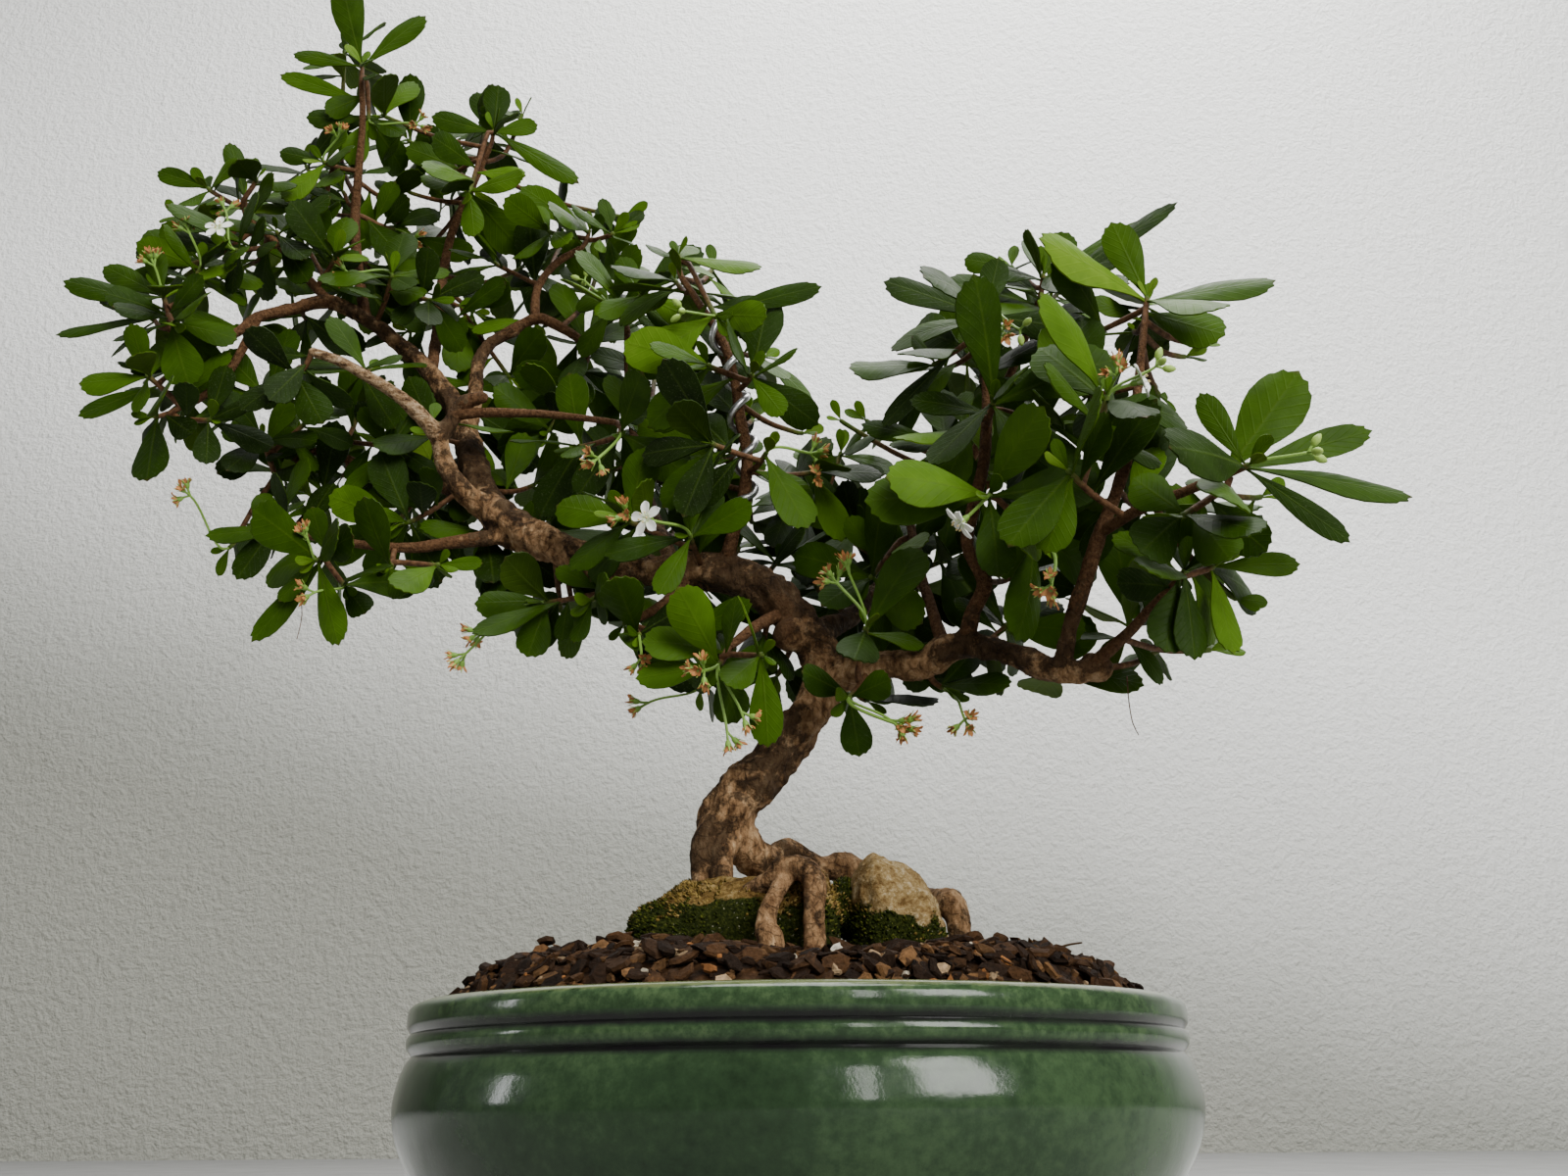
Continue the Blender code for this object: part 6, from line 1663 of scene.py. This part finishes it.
def fill_gaps(growth):
    """Leafy tips behind the wood, wherever no leaf covers the crown in the front view."""
    rng = random.Random(23)
    covered = set()
    for spray in growth.sprays:
        for rosette in spray.rosettes:
            for leaf in (*rosette.leaves.values(), *rosette.extras):
                cover(covered, leaf)
    limbs = [divided(limb_path(name), 5) for name in WOOD if name not in ROOTS]
    wood = [(*front_view(place), place.y) for limb in limbs for place, _ in limb]
    across, down = [u for u, _ in CROWN_OUTLINE], [v for _, v in CROWN_OUTLINE]
    spots = [(i, j) for i in range(min(across) // FILL_STEP, max(across) // FILL_STEP + 1)
             for j in range(min(down) // FILL_STEP, max(down) // FILL_STEP + 1)
             if inside(CROWN_OUTLINE, i * FILL_STEP, j * FILL_STEP)]
    rng.shuffle(spots)
    count = 0
    for i, j in spots:
        if (i, j) in covered or count >= FILL_MOST:
            continue
        u, v = i * FILL_STEP, j * FILL_STEP
        nearest = min(wood, key=lambda spot: (spot[0] - u) ** 2 + (spot[1] - v) ** 2)
        deep = min(FILL_DEEPEST, nearest[2] + rng.uniform(*FILL_DEPTH))
        share = (u - min(across)) / (max(across) - min(across))
        length = FILL_LEAF[0] + (FILL_LEAF[1] - FILL_LEAF[0]) * share
        if not growth.add_stems(len(SPRAYS) + count, ((u, v, deep, length),)):
            covered.add((i, j))
            continue
        count += 1
        spray = growth.sprays[-1]
        growth.add_leaves(5, [spray])
        for leaf in spray.rosettes[0].leaves.values():
            cover(covered, leaf)


def grow_extras(growth):
    """Leaves that the solids leave out, where they cut nothing."""
    rng = random.Random(71)
    for number in range(EXTRA_LEAVES):
        for spray in growth.sprays:
            for rosette in spray.rosettes:
                tries = (extra_leaf(rosette, rng, number) for _ in range(EXTRA_TRIES))
                sprout(growth, rosette, filter(growth.in_front_view, tries))


def add_spray(batch, spray, rng):
    columns = LEAF_COLUMNS if spray.number < len(SPRAYS) else BACK_LEAF_COLUMNS
    for rosette in spray.rosettes:
        base = rng.uniform(*LEAF_TINTS)
        for leaf in list(rosette.leaves.values()) + rosette.extras:
            tint = base + rng.uniform(*LEAF_SPREAD) + (LIT_LEAF if rng.random() < LIT_SHARE else 0)
            add_fine_leaf(batch, leaf, min(1, max(0, tint)), rng, columns)
        for number in range(2):
            add_fine_leaf(batch, tip_leaf(rosette, rng, number), rng.uniform(0.5, 0.9), rng, columns)
        places = rosette.path
        path = [(p, 1.05 - 0.3 * k / len(places)) for k, p in enumerate(places)]
        round_tube(batch, fine_path(path), 8, lambda t: (0, t, base, 0), 1, 0.06, rng)


def build_sprays(growth):
    materials = [leaf_material(), twig_material()]
    for spray in growth.sprays[:len(SPRAYS)]:
        batch = Batch()
        add_spray(batch, spray, random.Random(900 + spray.number))
        number = "%02d" % (spray.number + 1)
        batch.make("foliage_" + number, materials, "leaf", ["leafy_spray_" + number], sharp=50)
    more = growth.sprays[len(SPRAYS):]
    for start in range(0, len(more), FILL_TOGETHER):
        batch = Batch()
        for spray in more[start:start + FILL_TOGETHER]:
            add_spray(batch, spray, random.Random(900 + spray.number))
        batch.make("foliage_more_%d" % (start // FILL_TOGETHER + 1), materials, "leaf", sharp=50)


def wood_radius(name, place, radius):
    lumps = noise.noise(place / 9) * 0.16 + noise.noise(place / 4 + Vector((5, 5, 5))) * 0.1
    return radius * (1.02 + lumps * (0.4 if name in SMOOTH_LIMBS or radius < 2 else 1))


def cords(name, path):
    """The limb itself and, if it is fluted, the cords that twist round it."""
    if name not in FLUTED:
        return [path]
    ways = tangents([place for place, _ in path])
    made = [[(place, r * 0.86) for place, r in path]]
    for number in range(FLUTES):
        x = side_of(ways[0], UP)
        cord = []
        for k, ((place, r), way) in enumerate(zip(path, ways)):
            x = side_of(way, x)
            turn = 2 * math.pi * number / FLUTES + FLUTE_TWIST * k
            turn += 0.8 * noise.noise(place / 20 + UP * number)
            out = turned(x, way.cross(x), turn)
            cord.append((place + out * r * 0.5, r * (0.55 + 0.1 * noise.noise(place / 8 + UP * number))))
        made.append(cord)
    return made


def build_wood_fine():
    """Thick wood is melted together from rough tubes, thin twigs are joined on."""
    thick, twigs = Batch(), Batch()
    cores = []
    for number, name in enumerate(WOOD):
        path = smooth_path([(seen(*p[:3]), p[3]) for p in WOOD[name]], 2.2)
        path = [(place, wood_radius(name, place, r)) for place, r in path]
        cores += [(place, r, name) for place, r in path]
        big = [k for k, (_, r) in enumerate(path) if r >= THIN_WOOD]
        if big:
            for cord in cords(name, path[:min(len(path), big[-1] + 3)]):
                round_tube(thick, cord, 14, (0, 0, 0, 0), 0)
        small = path[max(0, (big[-1] if big else 0) - 2):]
        if len(small) > 3:
            rng = random.Random(300 + number)
            pale = 1.0 if name in DEAD_WOOD else 0.0
            round_tube(twigs, small, 10, (pale, 0.2, 1.0 - pale, 0), 0, 0.05, rng)
    for across, down, deep, radius in KNOTS:
        middle = seen(across, down, deep)
        points, faces = ball(2, radius)
        thick.add([p + middle for p in points], faces)
    block = link("wood_rough", mesh_of("wood_rough", thick.points, thick.faces))
    melt = block.modifiers.new("melt", "REMESH")
    melt.mode, melt.voxel_size, melt.use_smooth_shade = "VOXEL", WOOD_VOXEL * MM, True
    mesh = as_modified(block)
    bpy.data.objects.remove(block)
    tree = KDTree(len(cores))
    for k, (place, _, _) in enumerate(cores):
        tree.insert(place, k)
    tree.balance()
    points, looks = [], []
    for vertex in mesh.vertices:
        place = vertex.co / MM
        _, k, _ = tree.find(place)
        radius, name = cores[k][1], cores[k][2]
        ridge = 1 - abs(noise.noise(place / 3.2)) * 2
        swell = 0.07 * radius * noise.noise(place / 3.5) + 0.08 * radius * (ridge - 0.5)
        swell += 0.2 * noise.noise(place / 1.6)
        points.append(place + vertex.normal * swell)
        pale = 1.0 if name in DEAD_WOOD and place.x < DEAD_WOOD_FROM else 0.0
        dark = 0.5 + noise.noise(place / 24 + Vector((9, 2, 4))) * 0.9 - (0.25 if name in PALE_WOOD else 0)
        looks.append((pale, max(0, min(1, dark)), max(0, min(1, (2.6 - radius) / 1.2)), 0))
    batch = Batch()
    batch.add(points, [tuple(face.vertices) for face in mesh.polygons], looks)
    batch.add(twigs.points, twigs.faces, twigs.looks)
    bpy.data.meshes.remove(mesh)
    return batch.make("wood", [bark_material()], "bark", ["trunk_and_branches"])


def pot_ring(inset, height, sides):
    a, b = POT_HALF_LENGTH - inset, POT_HALF_DEPTH - inset
    return [Vector((a * math.cos(turn), b * math.sin(turn), height)) for turn in turns(sides)]


def smooth_profile(points, step):
    path = smooth_path([(Vector((inset, 0, height)), 0) for inset, height in points], step)
    return [(p.x, p.z) for p, _ in path]


def build_pot_fine():
    profile = [(31.4, 0)] + smooth_profile(POT_OUTSIDE + POT_LIP + POT_INSIDE[1:], 1.3)
    points, faces = lofted([pot_ring(inset, max(0, height), FINE_POT_SIDES) for inset, height in profile])
    batch = Batch()
    batch.add(points, faces)
    pot = batch.make("pot_glazed", [glaze_material()], "glaze", ["pot"], sharp=60)
    for place in DRAIN_PLACES:
        ends = [(Vector((place, 0, z)), DRAIN_RADIUS) for z in (-2, FLOOR_HEIGHT + 3)]
        cutter = link("hole", mesh_of("hole", *tube(ends, 32)))
        cut = pot.modifiers.new("cut", "BOOLEAN")
        cut.object, cut.operation = cutter, "DIFFERENCE"
        made = as_modified(pot)
        pot.modifiers.clear()
        pot.data = made
        bpy.data.objects.remove(cutter)
    return pot


def build_stones_fine():
    """Both stones, the mossy earth between them and the moss on all three."""
    stone = stone_material()
    skins = []
    for name, shape in STONES.items():
        centre = shape[0]
        points, faces = stone_mesh(*shape, FINE_STONE_SIDES, FINE_STONE_RINGS)
        looks = []
        for p in points:
            out = (p - centre).normalized()
            lumps = 1.1 * noise.noise(p / 7) + 0.9 * noise.noise(p / 2.6) + 0.3 * noise.noise(p / 1.1)
            p += out * (lumps - 0.3)
            wave = 4.5 * noise.noise(p / 8) + 2.5 * noise.noise(p / 3)
            line = MOSS_LINE[name] + MOSS_SLOPE[name] * (p.x - centre.x)
            level = (line + wave + (3.0 if out.y > 0.3 else 0) - p.z) / 4
            looks.append((max(0, min(1, level + 0.5)), 1.0 if name == "stone_right" else 0.1, 0, 0))
            if level > MOSS_FROM[name]:
                skins.append((p, out, level))
        batch = Batch()
        batch.add(points, faces, looks)
        batch.make(name + "_crusted", [stone], "stone", [name])
    ways, faces = ball(4, 1)
    middle = seen(*PLUG_PLACE)
    points = []
    for way in ways:
        place = middle + Vector([c * half for c, half in zip(way, PLUG_HALF)])
        points.append(place + way * (1.2 * noise.noise(place / 4) + 0.5 * noise.noise(place / 1.6)))
    skins += [(p, way, 0.7) for p, way in zip(points, ways)]
    batch = Batch()
    batch.add(points, faces, (0.75, 0, 0, 0))
    batch.make("moss_plug", [stone], "stone")
    build_moss(skins)


def build_moss(skins):
    """Short mossy tufts on the shaded sides of the stones, dry and ochre where the moss ends."""
    rng = random.Random(5)
    batch = Batch()
    shown = [skin for skin in skins if skin[0].z > POT_HEIGHT + 8]
    for place, out, level in rng.choices(shown, k=MOSS_TUFTS):
        x = side_of(out, Vector((rng.uniform(-1, 1), rng.uniform(-1, 1), 0.1)))
        y = out.cross(x)
        place = place + x * rng.uniform(-0.7, 0.7) + y * rng.uniform(-0.7, 0.7)
        size, tall = rng.uniform(0.25, 0.7), rng.uniform(0.4, 1.1)
        lean = x * rng.uniform(-0.4, 0.4) + y * rng.uniform(-0.4, 0.4)
        ring = [place - out * 0.4 + turned(x, y, a) * size for a in (0, 1.57, 3.14, 4.71)]
        dry = level + 1.6 * noise.noise(place / 5) < rng.uniform(-0.5, 0.9)
        colour = rng.choice(DRY_MOSS_COLOURS if dry else MOSS_COLOURS)
        faces = [(0, 1, 4), (1, 2, 4), (2, 3, 4), (3, 0, 4), (3, 2, 1, 0)]
        batch.add(ring + [place + out * tall + lean], faces, (*colour, 1))
    batch.make("moss", [tuft_material()], "stone")


def chip(rng, place, up, size, flat, colour, tip_over=0.5):
    """One angular flake of bark or grit that lies on the slope under it."""
    sides = rng.choice((5, 6, 7))
    x = side_of(up, Vector((rng.uniform(-1, 1), rng.uniform(-1, 1), 0)))
    lie = Matrix((x, up.cross(x), up)).transposed()
    for axis in "XY":
        lie = lie @ Matrix.Rotation(rng.uniform(-tip_over, tip_over), 3, axis)
    bend, narrow = rng.uniform(-0.25, 0.35), rng.uniform(0.45, 0.85)
    rings = []
    for level, wide in ((-1, 0.8), (0, 1.0), (1, 0.75)):
        ring = []
        for k in range(sides):
            angle = 2 * math.pi * (k + rng.uniform(-0.25, 0.25)) / sides
            reach = rng.uniform(0.78, 1.1) * wide
            x, y = math.cos(angle) * size * reach, math.sin(angle) * size * reach * narrow
            z = level * size * flat * rng.uniform(0.7, 1.1) + bend * x * x / size
            ring.append(place + lie @ Vector((x, y, z)))
        rings.append(ring)
    return *lofted(rings), (*colour, 1)


def soil_spot(x, y):
    """The point on the mound over (x, y), and the way the mound faces there."""
    height = soil_height(x, y)
    slope = Vector((height - soil_height(x + 1, y), height - soil_height(x, y + 1), 1))
    return Vector((x, y, height)), slope.normalized()


def build_soil_fine():
    rng = random.Random(17)
    batch = Batch()
    edge = POT_INSIDE[1][0] + 0.2
    rings = []
    for k in range(SOIL_RINGS):
        share = 1 - k / SOIL_RINGS
        ring = []
        for p in pot_ring(edge, 0, SOIL_SIDES):
            x, y = p.x * share, p.y * share
            place = Vector((x, y, 0))
            rise = 0.9 * noise.noise(place / 6) + 0.5 * noise.noise(place / 2.5)
            ring.append(Vector((x, y, soil_height(x, y) - 1.2 + rise * (share < 0.995))))
        rings.append(ring)
    sunk = [p - UP * 7 for p in rings[0]]
    points, faces = lofted([sunk] + rings)
    tones = [SOIL_COLOURS[0][1] if noise.noise(p / 3) > 0 else SOIL_COLOURS[1][1] for p in points]
    batch.add(points, faces, [(*tone, 1) for tone in tones])
    weights = [w for w, _, _, _ in SOIL_COLOURS]
    for number in range(SOIL_CHIPS):
        _, colour, sizes, flat = rng.choices(SOIL_COLOURS, weights)[0]
        size = rng.uniform(*sizes) * rng.uniform(0.7, 1)
        out, turn = math.sqrt(rng.uniform(0, 1)), rng.uniform(0, 2 * math.pi)
        if number < RIM_CHIPS:
            out, size = rng.uniform(0.8, 1), size * 0.8
        x = (POT_HALF_LENGTH - edge - size * 0.9) * out * math.cos(turn)
        y = (POT_HALF_DEPTH - edge - size * 0.9) * out * math.sin(turn)
        place, up = soil_spot(x, y)
        tone = rng.uniform(0.6, 1.5)
        place += up * size * rng.uniform(-0.1, 0.3)
        batch.add(*chip(rng, place, up, size, flat, [c * tone for c in colour], rng.uniform(0.2, 0.9)))
    for across, down, deep, size, flat, colour in BIG_CHIPS:
        batch.add(*chip(rng, seen(across, down, deep), UP, size, flat, colour, 1.0))
    batch.make("soil_mix", [soil_material()], "soil", ["soil"], sharp=30)
    strings = Batch()
    for points in SOIL_STRINGS:
        path = fine_path([(seen(*p[:3]), p[3]) for p in points], 1.0)
        round_tube(strings, path, 6, (0.05, 0.028, 0.012, 1), 0)
    strings.make("loose_rootlets", [soil_material()], "soil")


def build_wire_fine():
    batch = Batch()
    round_tube(batch, fine_path(wire_path(), 1.0), 14, (0, 0, 0, 0), 0)
    batch.make("wire_coil", [wire_material()], "wire", ["training_wire"])


def head_frame(way):
    x = side_of(way, UP)
    return x, way.cross(x)


def add_petal(batch, place, way, out, length, width, rise, curl, kind, tint=0.0,
              thick=OPEN_PETAL, crumple=0.0, rng=None):
    """A petal or sepal from place along out, with its upper side towards way."""
    across = way.cross(out)
    points, looks, faces = [], [], []
    rows, columns = (7, 5) if thick == OPEN_PETAL else (5, 3)
    for under in (0, 1):
        for i in range(rows):
            t = i / (rows - 1)
            flare = 0.42 + 0.58 * math.sin(min(1, t * 1.5) * math.pi / 2)
            wide = width * flare * math.sqrt(max(0.02, 1 - max(0, (t - 0.55) / 0.45) ** 2))
            for j in range(columns):
                s = j / (columns - 1) * 2 - 1
                lift = rise * t - curl * t * t + 0.12 * width * s * s
                shake = rng.uniform(-crumple, crumple) if rng and t > 0 else 0
                over = lift + shake - under * thick
                points.append(place + out * (length * t) + across * (s * wide / 2) + way * over)
                looks.append((s * 0.5 + 0.5, t, tint, under))
    side = rows * columns
    for i in range(rows - 1):
        for j in range(columns - 1):
            a = i * columns + j
            faces.append((a, a + 1, a + 1 + columns, a + columns))
    faces += [tuple(side + k for k in face[::-1]) for face in faces]
    rim = [i * columns for i in range(rows)][::-1] + list(range(1, columns))
    rim += [i * columns + columns - 1 for i in range(1, rows)]
    rim += [(rows - 1) * columns + j for j in range(columns - 1)][::-1]
    for a, b in zip(rim, rim[1:] + rim[:1]):
        faces.append((a, b, side + b, side + a)[::-1])
    batch.add(points, [face[::-1] for face in faces], looks, kind)


def add_bell(batch, place, way, path, look, kind, sides=10):
    """A turned shape: path holds (distance along way, radius)."""
    x, y = head_frame(way)
    rings = []
    for distance, radius in path:
        rings.append([place + way * distance + turned(x, y, a) * radius for a in turns(sides)])
    batch.add(*lofted(rings), look, kind)


def add_calyx(batch, place, way, kind):
    """Five green sepals on a small cup."""
    cup = ((-0.2, 0.35), (0.3, 0.75), (1.2, 1.0), (1.7, 0.9))
    add_bell(batch, place, way, cup, (0, 0.3, 0.1, 0), kind, 8)
    x, y = head_frame(way)
    for k in range(5):
        a = 2 * math.pi * (k + 0.5) / 5
        out = turned(x, y, a)
        reach = (out * 0.55 + way).normalized()
        add_petal(batch, place + way * 1.0 + out * 0.6, way, reach, 2.6, 1.0, 0.0, 0.0, kind, 0.1, 0.25)


def build_flower(batch, place, way, rng):
    """An open white star with stamens, on its calyx."""
    add_calyx(batch, place, way, 1)
    add_bell(batch, place, way, ((0.6, 0.6), (1.8, 0.8), (2.8, 1.15), (3.1, 1.3), (2.9, 0.9), (2.3, 0.5)),
             (0, 0.05, 0, 0), 0)
    x, y = head_frame(way)
    for k in range(5):
        a = 2 * math.pi * (k + rng.uniform(-0.06, 0.06)) / 5
        out = turned(x, y, a)
        add_petal(batch, place + way * 3.0 + out * 0.9, way, out, rng.uniform(4.2, 4.7), 3.0, 0.8, 0.9, 0)
        b = a + math.pi / 5
        tip = place + way * 4.6 + turned(x, y, b) * 1.5
        start = place + way * 2.4 + turned(x, y, b) * 0.5
        round_tube(batch, [(start, 0.13), (start.lerp(tip, 0.5), 0.12), (tip, 0.12)], 5, (0, 0.9, 0, 0), 0)
        knob = [(tip - way * 0.25, 0.2), (tip, 0.34), (tip + way * 0.35, 0.2)]
        round_tube(batch, knob, 6, (0, 0.9, 0, 0), 2)


def build_spent(batch, place, way, rng, count):
    """A cluster of withered flowers, each with a green calyx and crumpled lobes."""
    x, y = head_frame(way)
    for k in range(count):
        a = 2 * math.pi * k / count + rng.uniform(-0.4, 0.4)
        out = (turned(x, y, a) + way * rng.uniform(0.3, 1.2)).normalized()
        if k == count - 1:
            out = way
        foot, neck = place - way * 0.5, place + out * 2.2
        stem = [(foot, 0.42), (foot.lerp(neck, 0.5), 0.38), (neck, 0.45)]
        round_tube(batch, stem, 6, (0, 0.3, 0.2, 0), 1)
        add_calyx(batch, neck, out, 1)
        u, v = head_frame(out)
        tint = rng.uniform(0, 1)
        for j in range(5):
            b = 2 * math.pi * (j + rng.uniform(-0.2, 0.2)) / 5
            side = turned(u, v, b)
            reach = (side * rng.uniform(0.3, 1.0) + out).normalized()
            add_petal(batch, neck + out * 0.9, (out - side * 0.3).normalized(), reach,
                      rng.uniform(2.6, 4.0), rng.uniform(1.2, 2.0), rng.uniform(0, 1),
                      rng.uniform(0, 1.6), 0, tint, 0.25, 0.28, rng)


def stalk(batch, start, start_way, end, end_way, radius, look, kind):
    places = [start] + curve(start, start_way, end, end_way, 12)
    round_tube(batch, [(p, radius) for p in places], 6, look, kind)


def build_heads(growth):
    """Open flowers, spent clusters, buds and their stalks."""
    white = petal_material("white_petal",
                           ((0.0, (0.55, 0.68, 0.30)), (0.2, (0.86, 0.88, 0.76)),
                            (1.0, (0.90, 0.90, 0.86))), 0.5, 0.06)
    green = petal_material("green_calyx",
                           ((0.0, (0.10, 0.22, 0.03)), (0.6, (0.24, 0.40, 0.06)),
                            (1.0, (0.36, 0.44, 0.10))), 0.5, 0.08)
    anther = petal_material("anther", ((0.0, (0.5, 0.36, 0.12)), (1.0, (0.62, 0.50, 0.22))), 0.7, 0.05)
    brown = petal_material("spent_petal",
                           ((0.0, (0.30, 0.15, 0.05)), (0.5, (0.50, 0.235, 0.075)),
                            (1.0, (0.42, 0.16, 0.045))), 0.75, 0.25)
    stem_look = (0, 0.35, 0.15, 0)
    for number, head in enumerate(growth.flowers, 1):
        batch = Batch()
        build_flower(batch, head.end, head.way, random.Random(40 + number))
        stalk(batch, *head, 0.5, stem_look, 1)
        batch.make("bloom_%d" % number, [white, green, anther], "petal", ["flower_%d" % number], sharp=50)
    for number, head in enumerate(growth.spent, 1):
        batch = Batch()
        build_spent(batch, head.end, head.way, random.Random(60 + number), 4)
        stalk(batch, *head, 0.5, stem_look, 1)
        batch.make("spent_%d" % number, [brown, green], "withered", ["withered_flowers_%d" % number],
                   sharp=50)
    extra, buds = Batch(), Batch()
    rng = random.Random(77)
    for across, down, deep, count in EXTRA_SPENT:
        place, start, start_way = hanging(growth, seen(across, down, deep))
        way = ((place - start).normalized() + Vector((0, 0, -0.25))).normalized()
        stalk(extra, start, start_way, place, way, 0.42, stem_look, 1)
        build_spent(extra, place, way, rng, count)
    extra.make("spent_more", [brown, green], "withered", sharp=50)
    for across, down, deep, count in BUDS:
        place, start, start_way = hanging(growth, seen(across, down, deep))
        way = (place - start).normalized()
        stalk(buds, start, start_way, place, way, 0.42, stem_look, 0)
        x, y = head_frame(way)
        for k in range(count):
            a = 2 * math.pi * k / count
            out = (turned(x, y, a) + way).normalized()
            stalk(buds, place, way, place + out * 2.4, out, 0.35, stem_look, 0)
            add_bell(buds, place + out * 2.2, out,
                     ((0, 0.4), (0.7, 0.95), (1.9, 1.1), (3.0, 0.7), (3.6, 0.15)), (0, 0.7, 0.0, 0), 0)
    buds.make("buds", [green], "leaf", sharp=60)


def hanging(growth, place):
    """A place, and where and which way a stalk to it starts: at a leafy tip about 9 mm away."""
    tips = [r for s in growth.sprays for r in s.rosettes]
    tip = min(tips, key=lambda r: abs((r.place - place).length - 9))
    return place, tip.place - tip.axis * 1.0, tip.axis


def build_threads():
    batch = Batch()
    for points in THREADS:
        path = fine_path([(seen(*p[:3]), p[3]) for p in points], 1.5)
        round_tube(batch, path, 5, (0, 0.1, 0, 0), 0)
    batch.make("dry_threads", [twig_material()], "bark")


def plane(name, corners, material):
    mesh = bpy.data.meshes.new(name)
    mesh.from_pydata([Vector(c) for c in corners], [], [tuple(range(4))])
    mesh.materials.append(material)
    link(name, mesh)


def area_light(name, place, target, size, power, colour=(1, 1, 1)):
    light = bpy.data.lights.new(name, "AREA")
    light.shape, light.size, light.size_y = "RECTANGLE", size[0], size[1]
    light.energy, light.color = power, colour
    obj = link(name, light)
    obj.location = place
    obj.rotation_euler = (Vector(place) - Vector(target)).to_track_quat("Z", "Y").to_euler()
    obj.visible_glossy = name != FILL_LIGHT


def build_stage():
    wall, floor = WALL_DISTANCE, 0.0
    plane("wall", ((-4, wall, -0.4), (4, wall, -0.4), (4, wall, 3), (-4, wall, 3)), wall_material())
    plane("floor", ((-6, -8, floor), (6, -8, floor), (6, wall, floor), (-6, wall, floor)), floor_material())
    for settings in LIGHTS:
        area_light(*settings)
    world = bpy.data.worlds.new("studio")
    world.use_nodes = True
    world.node_tree.nodes["Background"].inputs[0].default_value = (*WORLD_COLOUR, 1)
    world.node_tree.nodes["Background"].inputs[1].default_value = WORLD_STRENGTH
    bpy.context.scene.world = world
    camera = bpy.data.cameras.new("camera")
    camera.sensor_width, camera.lens = 36, 36 * VIEW_FOCAL / 1600
    camera.clip_start = 0.01
    obj = link("camera", camera)
    tilt = Matrix.Rotation(math.pi / 2 + VIEW_PITCH, 4, "X") @ Matrix.Rotation(VIEW_ROLL, 4, "Z")
    obj.matrix_world = Matrix.Translation(VIEW_EYE * MM) @ tilt
    bpy.context.scene.camera = obj


def main():
    build_stage()
    growth = build_growth()
    grow_missed(growth)
    fill_gaps(growth)
    grow_extras(growth)
    build_sprays(growth)
    build_heads(growth)
    build_wood_fine()
    build_pot_fine()
    build_soil_fine()
    build_stones_fine()
    build_wire_fine()
    build_threads()
    screen = screen_material()
    for name in ("drain_screen_left", "drain_screen_right"):
        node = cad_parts[name]
        node.data.materials.clear()
        node.data.materials.append(screen)


main()
